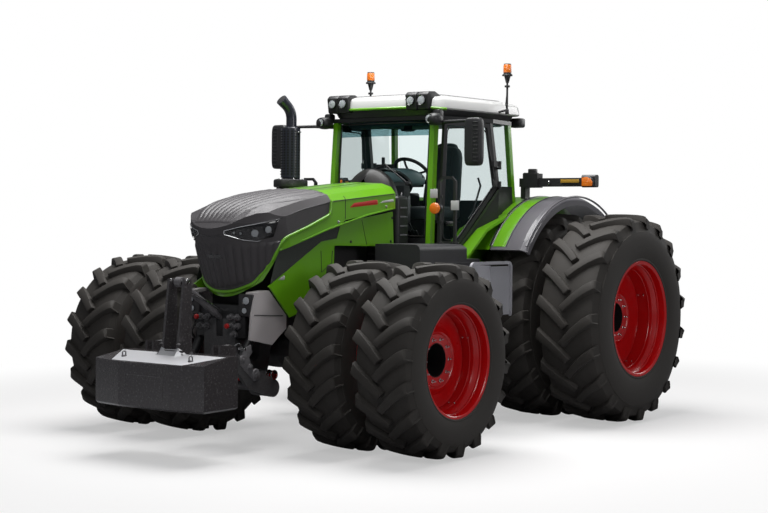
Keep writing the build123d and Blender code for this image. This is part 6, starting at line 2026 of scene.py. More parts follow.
    def _beacons(self) -> None:
        """Amber domes with dark bases and caps on two poles."""
        low, high = span("beacons")
        poles, domes, wires = Shape(), Shape(), Shape()
        top = high.z
        for side in (1, -1):
            foot = at(self.beacon_x, side * self.beacon_y, 0)

            def up(z: float) -> Vector:
                """The place on the pole at this height."""
                return foot + by(0, 0, z)

            poles.rod(up(low.z), up(top - 0.20), 0.011, sides=16)
            poles.rod(up(low.z), up(low.z + 0.05), 0.020, sides=20)
            poles.tube([up(low.z + 0.045), up(low.z + 0.045) - by(0, side * 0.10, 0.02)], 0.012, 12)
            poles.rod(up(top - 0.245), up(top - 0.225), 0.028, sides=24)
            poles.rod(up(top - 0.20), up(top - 0.128), 0.016, 0.034, sides=24)
            poles.rod(up(top - 0.128), up(top - 0.110), 0.056, 0.052, sides=32, bevel=0.004)
            poles.rod(up(top - 0.110), up(top - 0.090), 0.041, sides=32)
            poles.rod(up(top - 0.010), up(top - 0.001), 0.038, sides=32)
            profile = [(0.0, 0.040), (0.008, 0.043), (0.075, 0.042), (0.086, 0.036), (0.089, 0.0)]
            domes.spin(profile, up(top - 0.095), UP, FORWARDS, steps=36)
            wires.tube(round_path([up(low.z + 0.04), up(low.z + 0.09) + by(0.03, 0, 0),
                                   up(low.z + 0.16) + by(0.02, 0, 0),
                                   up(top - 0.24)], 0.03), 0.004, THIN)
        poles.piece("beacon_poles", BLACK, ["beacons"])
        domes.piece("beacon_domes", AMBER)
        wires.piece("beacon_wires", HOSE)

    def _seals(self) -> None:
        """The black seal round the windscreen and the dark band at its top, which paints the shade
        under the roof's edge.
        """
        skin = Skin("windscreen")
        low, high = span("windscreen")
        seal = Shape()
        edges = [at(3, y, low.z + 0.02) for y in (-0.56, -0.4, -0.2, 0.0, 0.2, 0.4, 0.56)]
        top = [at(3, y, high.z - 0.02) for y in (0.56, 0.4, 0.2, 0.0, -0.2, -0.4, -0.56)]
        left = [at(3, 0.56, low.z + (high.z - low.z) * step / 6) for step in range(1, 6)]
        right = [at(3, -0.56, high.z - (high.z - low.z) * step / 6) for step in range(1, 6)]
        ring = skin.line(edges + left + top + right, BACKWARDS, 0.001)
        seal.tube(ring + ring[:1], 0.007, THIN)
        seal.piece("screen_seal", HOSE)
        # The dark band paints the shade under the roof's edge.
        band = Shape()
        rule = between([at(3, -0.56, high.z - 0.15), at(3, 0.56, high.z - 0.15)],
                       [at(3, -0.56, high.z - 0.01), at(3, 0.56, high.z - 0.01)])
        band.laid(skin, rule, BACKWARDS, 24, 4, lambda u, v: 0.001)
        band.piece("screen_band", SCREEN_PAINTED_SHADE)

    def _wiper(self) -> None:
        """A parked wiper along the foot of the windscreen."""
        skin = Skin("windscreen")
        arm = Shape()
        spots = skin.line([at(3, -0.40 + 0.06 * step, 2.47 + 0.022 * step) for step in range(9)],
                          BACKWARDS, 0.016)
        arm.tube(spots, 0.007, THIN)
        root = spots[-1]
        arm.tube([root, root + by(0.015, 0.03, -0.02), root + by(0.02, 0.30, -0.20)], 0.008, THIN)
        arm.rod(root + by(0.0, 0.30, -0.20), root + by(0.045, 0.30, -0.20), 0.022, sides=20)
        arm.piece("screen_wiper", BLACK)

    def _door(self, side: Side) -> None:
        """The seal and handle of one door.

        Args:
            side: The side the door is on.
        """
        name, sign = f"door_{side.word}", side.value
        skin = Skin(name, f"door_glass_{side.word}")
        body = f"{side.word}_door"
        away = by(0.18, sign, 0).normalized()
        trim = Shape()
        corners = [at(1.00, sign * 2, 3.02), at(0.885, sign * 2, 2.44), at(1.415, sign * 2, 1.885),
                   at(1.61, sign * 2, 1.885), at(1.555, sign * 2, 3.02)]
        ring = round_path(corners + corners[:2], 0.07, 4)
        trim.tube(skin.line(ring, (0, -sign, 0), 0.002), 0.006, THIN)
        spot, _ = skin.hit(at(1.52, sign * 2, 2.05), (0, -sign, 0))
        key = spot + by(0.045, 0, 0)
        trim.box(spot + away * 0.012, (0.13, 0.022, 0.045), 0.008)
        trim.box(spot + away * 0.024 + by(-0.02, 0, 0), (0.09, 0.016, 0.022), 0.006)
        trim.rod(key + away * 0.01, key + away * 0.032, 0.012)
        trim.piece(f"{name}_trim", BLACK, body=body)


@dataclass
class CabInside:
    """The driver's place: seat, dash, pedals, steering wheel, armrest, lining and tubes."""

    wheel_at: tuple[float, float, float] = (1.175, 0.0, 2.595)
    wheel_radius: float = 0.190
    tilt: float = 40.0

    def build(self) -> None:
        """Finishes the CAD pieces and adds everything seen through the glass."""
        dress(BLACK, "steering_column", "seat_base")
        dress(BLACK, "cab_floor")
        self._seat()
        self._dash()
        self._steering()
        self._armrest()
        self._linings()

    def _seat(self) -> None:
        """Cushion, backrest and headrest, crowned, sewn and filled by a short simulation."""
        low, high = span("seat")
        middle = (low.y + high.y) / 2
        wide = high.y - low.y
        parts = (
            ("seat_cushion", at((low.x + high.x) / 2 + 0.03, middle, low.z + 0.072),
             (high.x - low.x - 0.08, wide - 0.02, 0.142), 0.0, 0.0),
            ("seat_backrest", at(low.x + 0.125, middle, low.z + 0.46), (0.14, wide - 0.03, 0.68),
             -8.0, 0.14),
            ("seat_headrest", at(low.x + 0.065, middle, high.z - 0.100), (0.10, 0.27, 0.19), -8.0,
             0.1),
        )
        for index, (name, centre, size, lean, taper) in enumerate(parts):
            Cushion(name, centre, size, lean, taper).build(["seat"] if index == 0 else [])

    def _dash(self) -> None:
        """A rounded grey-green binnacle with a dark face and a display."""
        hood, face = Shape(), Shape()
        sections = []
        for x, half, low, high in ((1.56, 0.10, 2.46, 2.56), (1.50, 0.17, 2.44, 2.612),
                                   (1.36, 0.195, 2.42, 2.632), (1.20, 0.185, 2.43, 2.582),
                                   (1.13, 0.16, 2.45, 2.545)):
            ring = []
            for step in range(20):
                angle = math.tau * step / 20
                ring.append(at(x,
                               half * math.copysign(abs(math.cos(angle)) ** 0.6, math.cos(angle)),
                               (low + high) / 2 + (high - low) / 2
                               * math.copysign(abs(math.sin(angle)) ** 0.6, math.sin(angle))))
            sections.append(ring)
        hood.loft(sections)
        hood.piece("dash_hood", DASH, smoothing=1, angle=60)
        face.box(at(1.135, 0, 2.475), (0.02, 0.26, 0.10), 0.012, turn=leaning(-14))
        face.piece("dash_face", GLOSS_BLACK)
        dials = Shape()
        for y in (-0.085, 0.085):
            dials.rod(at(1.125, y, 2.477), at(1.118, y, 2.475), 0.038, sides=32)
        dials.piece("dash_dials", GREY)
        foot = Shape()
        foot.box(at(1.44, 0, 2.08), (0.20, 0.26, 0.56), 0.05, 4)
        foot.piece("dash_pedestal", BLACK)
        for index, y in enumerate((-0.13, 0.12, 0.20)):
            pedal = Shape()
            pedal.box(at(1.38, y, 1.93), (0.02, 0.075, 0.11), 0.01,
                      turn=leaning(35))
            pedal.rod(at(1.39, y, 1.93), at(1.50, y, 2.05), 0.009)
            pedal.piece(f"pedal_{index}", BLACK_METAL)

    def _steering(self) -> None:
        """A thick rim, three spokes, a horn boss and two stalks on a raked column."""
        centre = at(*self.wheel_at)
        axis = by(-math.sin(math.radians(self.tilt)), 0, math.cos(math.radians(self.tilt)))
        across = by(0, 1, 0)
        rim = Shape()
        section = [(0.018 * math.sin(math.tau * step / 10),
                    self.wheel_radius
                    + 0.020 * math.cos(math.tau * step / 10)) for step in range(10)]
        rim.spin(section, centre, axis, across, steps=56, closed=True)
        boss = centre - axis * 0.05
        rim.rod(boss, boss + axis * 0.035, 0.062, 0.052, sides=32, bevel=0.008, segments=3)
        for angle in (90, -90, 180):
            out = Matrix.Rotation(math.radians(angle), 3, axis) @ axis.cross(across)
            rim.tube(round_path([boss + out * 0.04 + axis * 0.012, boss + out * 0.12 + axis * 0.020,
                                 centre + out * self.wheel_radius], 0.05), 0.012, 10)
        rim.rod(boss - axis * 0.30, boss, 0.032, sides=24)
        rim.rod(boss - axis * 0.14, boss - axis * 0.03, 0.050, 0.044, sides=24)
        for way in (1, -1):
            rim.tube([boss - axis * 0.06, boss - axis * 0.05 + across * 0.13 * way,
                      boss - axis * 0.03 + across * 0.19 * way], [0.010, 0.008, 0.011], 10)
        rim.piece("steering_wheel", BLACK)

    def _armrest(self) -> None:
        """The right-hand armrest with its lever, keys and touch screen."""
        low, _ = span("seat")
        side = low.y - 0.09
        rest = Shape()
        rest.box(at(low.x + 0.40, side, low.z + 0.26), (0.46, 0.12, 0.07), 0.025, 4)
        rest.box(at(low.x + 0.55, side, low.z + 0.12), (0.10, 0.10, 0.22), 0.02)
        rest.rod(at(low.x + 0.55, side, low.z + 0.29), at(low.x + 0.58, side, low.z + 0.40), 0.022,
                 0.028)
        rest.ball(at(low.x + 0.585, side, low.z + 0.42), (0.075, 0.06, 0.07))
        rest.tube([at(low.x + 0.62, side - 0.04, low.z + 0.28),
                   at(low.x + 0.68, side - 0.05, low.z + 0.42)], 0.012)
        rest.box(at(low.x + 0.70, side - 0.05, low.z + 0.50), (0.03, 0.26, 0.19), 0.012,
                 turn=leaning(-12))
        rest.piece("armrest_console", BLACK)
        screen = Shape()
        screen.box(at(low.x + 0.683, side - 0.05, low.z + 0.50), (0.006, 0.235, 0.165), 0.002,
                   turn=leaning(-12))
        screen.piece("armrest_screen", GLOSS_BLACK)
        keys = Shape()
        for index in range(8):
            keys.box(at(low.x + 0.34 + 0.035 * (index % 4), side + 0.025 - 0.05 * (index // 4),
                        low.z + 0.298),
                     (0.022, 0.022, 0.008), 0.003)
        keys.piece("armrest_keys", ORANGE_KEY)

    def _linings(self) -> None:
        """The headlining, grab tubes and the masts on the dash."""
        low, _ = span("cab_roof")
        lining = Shape()
        lining.box(at(0.98, 0, low.z - 0.025), (1.20, 1.24, 0.045), 0.02, 3)
        lining.box(at(1.50, 0, low.z - 0.065), (0.22, 1.05, 0.07), 0.03, 3)
        lining.piece("head_lining", DASH)
        tubes = Shape()
        tubes.tube(round_path([at(1.60, 0.585, 3.00), at(1.66, 0.585, 2.93), at(1.70, 0.60, 2.78),
                               at(1.66, 0.60, 2.74)], 0.04), 0.010, 10)
        tubes.tube(round_path([at(1.63, -0.59, 2.95), at(1.66, -0.59, 2.70), at(1.66, -0.59, 2.45)],
                              0.04), 0.010)
        tubes.box(at(1.55, -0.575, 3.045), (0.02, 0.12, 0.085), 0.01)
        tubes.box(at(1.60, 0.25, 3.02), (0.03, 0.10, 0.05), 0.012)
        tubes.tube([at(1.20, 0.735, 2.10), at(1.14, 0.745, 2.16), at(1.02, 0.76, 2.44),
                    at(1.06, 0.755, 2.52)],
                   0.011)
        tubes.piece("cab_grab_tubes", BLACK)
        masts = Shape()
        for x, y, foot, head in ((1.52, -0.12, 2.58, 2.73), (1.53, -0.22, 2.40, 2.67)):
            masts.box(at(x, y, (foot + head) / 2), (0.02, 0.035, head - foot), 0.006)
        masts.piece("dash_masts", BLACK)


@dataclass
class Cushion:
    """A crowned pad with sewn channels, filled out by air pressure between them."""

    name: str
    centre: Vector
    size: tuple[float, float, float]
    lean: float
    taper: float = 0.0
    grain: float = 0.012
    pressure: float = 4.0
    frames: int = 20
    most: float = 0.018
    channels: tuple[float, ...] = (-0.26, 0.26)

    def build(self, replaces: Sequence[str]) -> None:
        """Makes the pad, fills it out and sews its channels.

        Args:
            replaces: CAD nodes that the pad stands for.
        """
        turn = leaning(self.lean)
        shape = Shape()
        shape.lump(self.centre, self.size, 0.38, 36, 40, turn, self.taper)
        pad = shape.piece(self.name, SEAT_CLOTH, replaces, angle=80)
        self._settle(pad, "REMESH",
                     {"mode": "VOXEL", "voxel_size": self.grain, "use_smooth_shade": True}, 1)
        self._fill(pad)
        crown = pad.modifiers.new("crown", "SUBSURF")
        crown.levels = crown.render_levels = 1
        self._sew(pad, turn)

    @staticmethod
    def _settle(pad: bpy.types.Object, kind: str, settings: dict[str, Any], last: int) -> None:
        """Runs a modifier up to a frame and keeps its result as the pad's own mesh.

        Args:
            pad: The pad.
            kind: The modifier's type.
            settings: Properties of the modifier, or of its settings where it has them.
            last: The last frame to run.
        """
        modifier = pad.modifiers.new("shaping", kind)
        for key, value in settings.items():
            setattr(getattr(modifier, "settings", modifier), key, value)
        if kind == "CLOTH":
            modifier.settings.effector_weights.gravity = 0.0
            modifier.point_cache.frame_start, modifier.point_cache.frame_end = 1, last
        for number in range(1, last + 1):
            bpy.context.scene.frame_set(number)
        shaped = pad.evaluated_get(bpy.context.evaluated_depsgraph_get())
        mesh = bpy.data.meshes.new_from_object(shaped)
        pad.modifiers.clear()
        pad.data = mesh
        bpy.context.scene.frame_set(1)

    def _fill(self, pad: bpy.types.Object) -> None:
        """Blows the pad up between its channels and limits how far its skin moves.

        Args:
            pad: The pad.
        """
        rest = [vert.co.copy() for vert in pad.data.vertices]
        held = pad.vertex_groups.new(name="held")
        lines = [self.centre.y + share * self.size[1] for share in self.channels]
        sewn = [vert.index for vert in pad.data.vertices
                if min(abs(vert.co.y - line) for line in lines) < self.grain * 0.6]
        held.add(sewn, 1.0, "REPLACE")
        self._settle(pad, "CLOTH", {"use_pressure": True, "uniform_pressure_force": self.pressure,
                                    "vertex_group_mass": "held",
                                    "bending_stiffness": 0.5}, self.frames)
        for vert, start in zip(pad.data.vertices, rest):
            move = vert.co - start
            if move.length > self.most:
                vert.co = start + move.normalized() * self.most

    def _sew(self, pad: bpy.types.Object, turn: Matrix) -> None:
        """Lays a thread along each channel.

        Args:
            pad: The pad.
            turn: The pad's lean.
        """
        skin = Skin(pad)
        flat = self.size[0] > self.size[2]
        out = turn.to_3x3() @ Vector(UP if flat else FORWARDS)
        run = turn.to_3x3() @ Vector(FORWARDS if flat else UP)
        length = max(self.size[0], self.size[2])
        threads = Shape()
        for share in self.channels:
            starts = [self.centre + run * (length * (step / 12 - 0.5) * 0.88) + out * 0.4
                      + by(0, share * self.size[1], 0) for step in range(13)]
            threads.tube(skin.line(starts, -out, 0.0), 0.004, THIN)
        threads.piece(f"{self.name}_threads", BLACK)


# ---------------------------------------------------------------- body
@dataclass
class Cowl:
    """The rounded black cowl behind the bonnet, with its grey side strips and slots."""

    crown: float = 2.604
    outline: tuple[tuple[float, float], ...] = (
        (0.352, 1.70), (0.345, 2.05), (0.318, 2.35), (0.235, 2.500), (0.110, 2.580))

    def build(self) -> None:
        """Covers the CAD cowl with its smooth skin and adds the trim."""
        dress(BLACK, "cowl")
        def arch(x: float, inset: float) -> list[Vector]:
            """The hoop's outline at a place, drawn in by an inset.

            Args:
                x: Distance ahead of the rear axle.
                inset: Distance in from the full outline.

            Returns:
                The points of the outline.
            """
            half = [(y - inset, z - inset * 0.8) for y, z in self.outline]
            top = self.crown - inset
            line = [at(x, y, z) for y, z in half] + [at(x, 0, top)] + [at(x, -y, z) for y,
                                                                       z in half[::-1]]
            return round_path(line, 0.10, 5)

        hoop = Shape()
        hoop.loft([arch(1.836, 0.03), arch(1.838, 0.006), arch(1.846, 0.0), arch(1.905, 0.0),
                   arch(1.925, 0.008), arch(1.960, 0.050), arch(2.040, 0.165)])
        hoop.piece("cowl_hoop", HOSE, ["cowl"], angle=50)
        base_box = Shape()
        base_box.box(at(1.96, 0, 2.02), (0.20, 0.93, 0.60), 0.04, 4)
        base_box.box(at(1.955, 0, 1.53), (0.17, 0.86, 0.56), 0.03, 3)
        base_box.piece("cowl_body", BLACK)
        strips = Shape()
        strips.plate([at(1.848, 0.380, 1.70), at(1.885, 0.380, 1.70), at(1.868, 0.355, 2.33),
                      at(1.846, 0.352, 2.36)],
                     (0, 0.012, 0), 0.003)
        for z in (1.93, 2.02, 2.11, 2.20):
            strips.box(at(1.96, 0.468, z), (0.12, 0.006, 0.018), 0.003)
        strips.both_sides().piece("cowl_strips", GREY)


@dataclass
class Exhaust:
    """The black silencer with its pierced heat guard, broad oval foot, bolts and cut pipe end."""

    x: float = 2.36
    y: float = -0.662
    radius: float = 0.092
    guard_radius: float = 0.104
    foot_length: float = 0.205
    foot_width: float = 0.148
    foot_sides: int = 48
    rows: int = 17
    columns: int = 9

    def build(self) -> None:
        """Makes the stack, its guard, slots, foot and bolts."""
        x, y = self.x, self.y
        stack = Shape()
        body = [(0.0, 0.0), (0.0, 0.080), (0.02, self.radius), (0.50, self.radius), (0.535, 0.060),
                (0.54, 0.052), (0.54, 0.0)]
        stack.spin(body, at(x, y, 2.475), UP, FORWARDS, steps=44)
        pipe = round_path([at(x, y, 3.0), at(x, y, 3.175), at(x + 0.125, y - 0.03, 3.285)], 0.10, 9)
        stack.tube(pipe, [0.053] * (len(pipe) - 1) + [0.058], 28)
        stack.piece("exhaust_stack_tubes", STACK, ["exhaust_stack"], angle=40)
        # A black disc in the pipe's end paints the shade down its bore.
        mouth = Shape()
        end, way = pipe[-1], (pipe[-1] - pipe[-2]).normalized()
        mouth.rod(end - way * 0.004, end + way * 0.001, 0.050, sides=28)
        mouth.piece("exhaust_mouth", PIT_PAINTED_SHADE)
        guard = Shape()

        def shield(u: float, v: float) -> Vector:
            """A half round shell on the side that faces the bonnet.

            Args:
                u: The share round the shell.
                v: The share up it.

            Returns:
                The place in the frame.
            """
            angle = math.radians(-100 + 200 * u)
            return at(x + self.guard_radius * math.cos(angle), y
                      + self.guard_radius * math.sin(angle), 2.50 + 0.50 * v)

        guard.surface(shield, 24, 4, 0.004)
        guard.piece("exhaust_guard", STACK)
        # Black boxes paint the shade seen through the guard's slots.
        slots = Shape()
        for index in range(self.rows):
            for column in range(self.columns):
                angle = math.radians(-88 + 22 * column)
                out = by(math.cos(angle), math.sin(angle), 0)
                slots.box(at(x, y, 2.535 + 0.027 * index) + out * (self.guard_radius + 0.0025),
                          (0.006, 0.018, 0.012), 0.0, turn=Matrix.Rotation(angle, 4, "Z"))
        slots.piece("exhaust_slots", PIT_PAINTED_SHADE)
        foot = Shape()

        def oval(z: float, inset: float) -> list[Vector]:
            """The foot's outline, longer along the tractor than across it.

            Args:
                z: Its height.
                inset: Distance in from the full outline.

            Returns:
                The points of the outline.
            """
            angles = [math.tau * step / self.foot_sides for step in range(self.foot_sides)]
            return [at(x + (self.foot_length - inset) * math.cos(angle),
                       y - 0.004 + (self.foot_width - inset) * math.sin(angle),
                       z) for angle in angles]

        foot.loft([oval(2.400, 0.012), oval(2.406, 0.002), oval(2.416, 0.0), oval(2.462, 0.0),
                   oval(2.474, 0.004), oval(2.482, 0.016), oval(2.487, 0.05)])
        foot.loft([oval(2.20, 0.03), oval(2.405, 0.03)])
        foot.piece("exhaust_foot", BLACK)
        bolts = Shape()
        for index in range(6):
            angle = math.tau * index / 6
            bolts.bolts([at(x + 0.16 * math.cos(angle), y + 0.112 * math.sin(angle), 2.483)], UP,
                        0.008)
        bolts.rod(at(x - 0.02, y + 0.112, 2.96), at(x + 0.03, y + 0.112, 2.96), 0.006, sides=12)
        bolts.piece("exhaust_bolts", BRIGHT)


@dataclass
class Mudguards:
    """Green guards, grey extensions with beads, tail lamps and marker bars."""

    radius: float = 1.262
    axle_z: float = 1.08
    bar_z: float = 2.49
    inner_y: float = 0.885

    def build(self) -> None:
        """Finishes the CAD guards and bars and adds their fittings."""
        dress(GREEN, "rear_fenders")
        dress(FENDER_GREY, "fender_extensions")
        dress(BLACK_METAL, "marker_bars")
        _, high = span("fender_extensions")
        axle = at(0, 0, self.axle_z)
        edge, beads = Shape(), Shape()

        def arc(radius: float, y: float, start: float = 36, end: float = 136,
                steps: int = 40) -> list[Vector]:
            """Points round the wheel at a radius and distance from the middle.

            Args:
                radius: Distance out from the axle.
                y: Distance to the left of the middle.
                start: First angle, from straight ahead.
                end: Last angle.
                steps: Parts it is divided into.

            Returns:
                The points.
            """
            turn = [math.radians(start + (end - start) * step / steps) for step in range(steps + 1)]
            return [axle + by(radius * math.cos(angle), y, radius * math.sin(angle))
                    for angle in turn]

        edge.tube(arc(self.radius + 0.004, high.y - 0.008), 0.011, 10)
        edge.tube(arc(self.radius + 0.004, 0.912), 0.008, 10)
        edge.both_sides().piece("extension_edges", FENDER_GREY)
        beads.tube(arc(self.radius + 0.006, self.inner_y), 0.007, 10)
        beads.tube(arc(self.radius + 0.006, 1.085), 0.004, THIN)
        beads.both_sides().piece("extension_beads", BLACK)
        inner = Shape()
        skin = Skin("fender_extensions")

        def ray(u: float, v: float) -> Vector:
            """The way in towards the axle at this share round the wheel."""
            angle = math.radians(34 + 104 * u)
            return -by(math.cos(angle), 0, math.sin(angle))

        inner.laid(skin, lambda u, v: axle - ray(u, v) * 1.8 + by(0, self.inner_y + 0.195 * v, 0),
                   ray, 60, 6, raised(0.004))
        bridge = Shape()
        bridge.surface(lambda u, v: axle - ray(0.46 * u, v) * (self.radius - 0.004)
                       + by(0, 0.70 + 0.19 * v, 0), 30, 4, 0.006)
        bridge.both_sides().piece("mudguard_bridges", GREEN)
        inner.both_sides().piece("mudguard_green_tops", GREEN)
        self._tail_lamps(axle)
        self._bars()

    def _tail_lamps(self, axle: Vector) -> None:
        """A housing with red and amber lenses at the back of each guard.

        Args:
            axle: The rear axle's middle.
        """
        way = by(math.cos(math.radians(131)), 0, math.sin(math.radians(131)))
        spot = axle + way * (self.radius + 0.045)
        turn = leaning(-41)
        housing, red, amber = Shape(), Shape(), Shape()
        housing.box(spot + by(0, 0.74, 0), (0.12, 0.30, 0.09), 0.02, 3, turn=turn)
        back = turn.to_3x3() @ by(-1, 0, 0)
        red.box(spot + by(0, 0.68, 0) + back * 0.060, (0.012, 0.13, 0.070), 0.006, turn=turn)
        amber.box(spot + by(0, 0.81, 0) + back * 0.060, (0.012, 0.11, 0.070), 0.006, turn=turn)
        housing.both_sides().piece("tail_housings", BLACK)
        red.both_sides().piece("tail_red_lenses", RED_LENS)
        amber.both_sides().piece("tail_amber_lenses", AMBER)

    def _bars(self) -> None:
        """Amber strips and rounded end lamps on the marker bars."""
        low, high = span("marker_bars")
        middle = (low.x + high.x) / 2
        skin = Skin("marker_bars")
        face, _ = skin.hit(at(3, high.y - 0.10, self.bar_z), BACKWARDS)
        front = face.x - REAR_AXLE_X
        amber, cases, strips = Shape(), Shape(), Shape()
        case = [(-0.155, -0.052), (-0.155, 0.062), (-0.075, 0.062), (-0.025, 0.040),
                (-0.004, 0.005), (-0.004, -0.052)]
        cases.plate([at(middle - 0.045, high.y + y, self.bar_z + z) for y, z in case], (0.10, 0, 0),
                    0.012, 3)
        lens = [(-0.145, -0.042), (-0.145, 0.046), (-0.085, 0.052), (-0.042, 0.034), (-0.020, 0.0),
                (-0.024, -0.042)]
        amber.plate([at(middle + 0.050, high.y + y, self.bar_z + z) for y, z in lens],
                    (0.014, 0, 0), 0.005, 2)
        strips.box(at(front + 0.003, high.y - 0.295, self.bar_z + 0.012), (0.004, 0.22, 0.036),
                   0.001)
        amber.both_sides().piece("marker_lenses", AMBER)
        cases.both_sides().piece("marker_cases", BLACK)
        strips.both_sides().piece("marker_strips", OCHRE)
        bolts, blocks = Shape(), Shape()
        bolts.bolts([at(front + 0.001, high.y - 0.55, self.bar_z),
                     at(front + 0.001, high.y - 0.70, self.bar_z)], FORWARDS)
        bolts.both_sides().piece("marker_bolts", BRIGHT)
        blocks.box(at(middle, high.y - 0.79, 2.555), (0.07, 0.17, 0.08), 0.012)
        blocks.box(at(middle, high.y - 0.77, 2.605), (0.06, 0.09, 0.06), 0.010)
        blocks.both_sides().piece("marker_blocks", BLACK_METAL)


@dataclass
class TanksAndSteps:
    """Side tanks with seams and caps, grip treads, rail feet, blank plates and corner lamps."""

    treads: tuple[float, ...] = (0.540, 0.820, 1.100, 1.380)
    rail_x: float = 1.79

    def build(self) -> None:
        """Finishes the CAD pieces and adds their fittings."""
        dress(TANK_GREY, "side_tanks")
        dress(PANEL_GREY, "steps")
        dress(BLACK_METAL, "handrails")
        skin = Skin("side_tanks")
        seams = Shape()
        for z in (1.665, 1.35):
            spots = skin.line([at(1.49 + 0.025 * step, 2, z) for step in range(40)], INWARDS, 0.0)
            seams.tube(spots, SEAM, THIN)
        for x in (2.02, 1.55):
            seams.tube(skin.line([at(x, 2, 1.18 + 0.045 * step) for step in range(11)], INWARDS,
                                 0.0), SEAM, THIN)
        seams.both_sides().piece("tank_seams", BLACK)
        cap, neck = Shape(), Shape()
        top, _ = skin.hit(at(1.69, 0.90, 3), DOWN)
        cap.rod(top, top + by(0, 0, 0.030), 0.036, 0.033, sides=32, bevel=0.004)
        cap.box(top + by(0, 0, 0.036), (0.056, 0.012, 0.014), 0.003)
        cap.piece("tank_filler_cap", SKY_BLUE)
        neck.rod(top + by(0.30, -0.02, -0.01), top + by(0.22, -0.02, 0.028), 0.055, 0.052, sides=36)
        neck.rod(top - by(0, 0, 0.005), top + by(0, 0, 0.006), 0.052, sides=36)
        neck.piece("tank_necks", BLACK)
        self._steps()
        self._rails()

    def _steps(self) -> None:
        """Raised grip bars and bolts on each tread."""
        _, high = span("steps")
        grip, bolts = Shape(), Shape()
        for z in self.treads:
            for index in range(7):
                grip.box(at(1.675 + 0.045 * index, high.y - 0.12, z + 0.030), (0.014, 0.16, 0.008),
                         0.002)
            bolts.bolts([at(1.648, high.y - 0.015 - 0.13 * step, z + 0.012) for step in range(2)],
                        BACKWARDS, 0.009)
        grip.both_sides().piece("tread_grips", BRIGHT)
        bolts.both_sides().piece("tread_bolts", BLACK_METAL)

    def _rails(self) -> None:
        """Feet and clamps of the handrails, with the blank plates and the lamp on the inner leg."""
        feet = Shape()
        for y in (0.79, 0.976):
            feet.rod(at(self.rail_x, y, 1.851), at(self.rail_x, y, 1.868), 0.032, sides=24)
        for y, z in ((0.79, 2.05), (0.79, 2.30)):
            feet.rod(at(self.rail_x, y, z), at(self.rail_x, y, z + 0.03), 0.021, sides=20)
        feet.box(at(1.81, 0.765, 2.346), (0.016, 0.06, 0.03), 0.004)
        feet.rod(at(self.rail_x, 0.765, 2.196), at(1.845, 0.765, 2.196), 0.060, 0.056, sides=32,
                 bevel=0.008)
        feet.both_sides().piece("rail_feet", BLACK)
        plate = Shape()
        plate.box(at(1.822, 0.733, 2.346), (0.006, 0.090, 0.090), 0.003)
        plate.box(at(1.822, 0.985, 2.228), (0.006, 0.095, 0.095), 0.003)
        plate.both_sides().piece("blank_rail_plates", WHITE)
        lamp = Shape()
        lamp.ball(at(1.846, 0.760, 2.200), (0.05, 0.125, 0.112), 14)
        lamp.both_sides().piece("rail_lamps", AMBER)


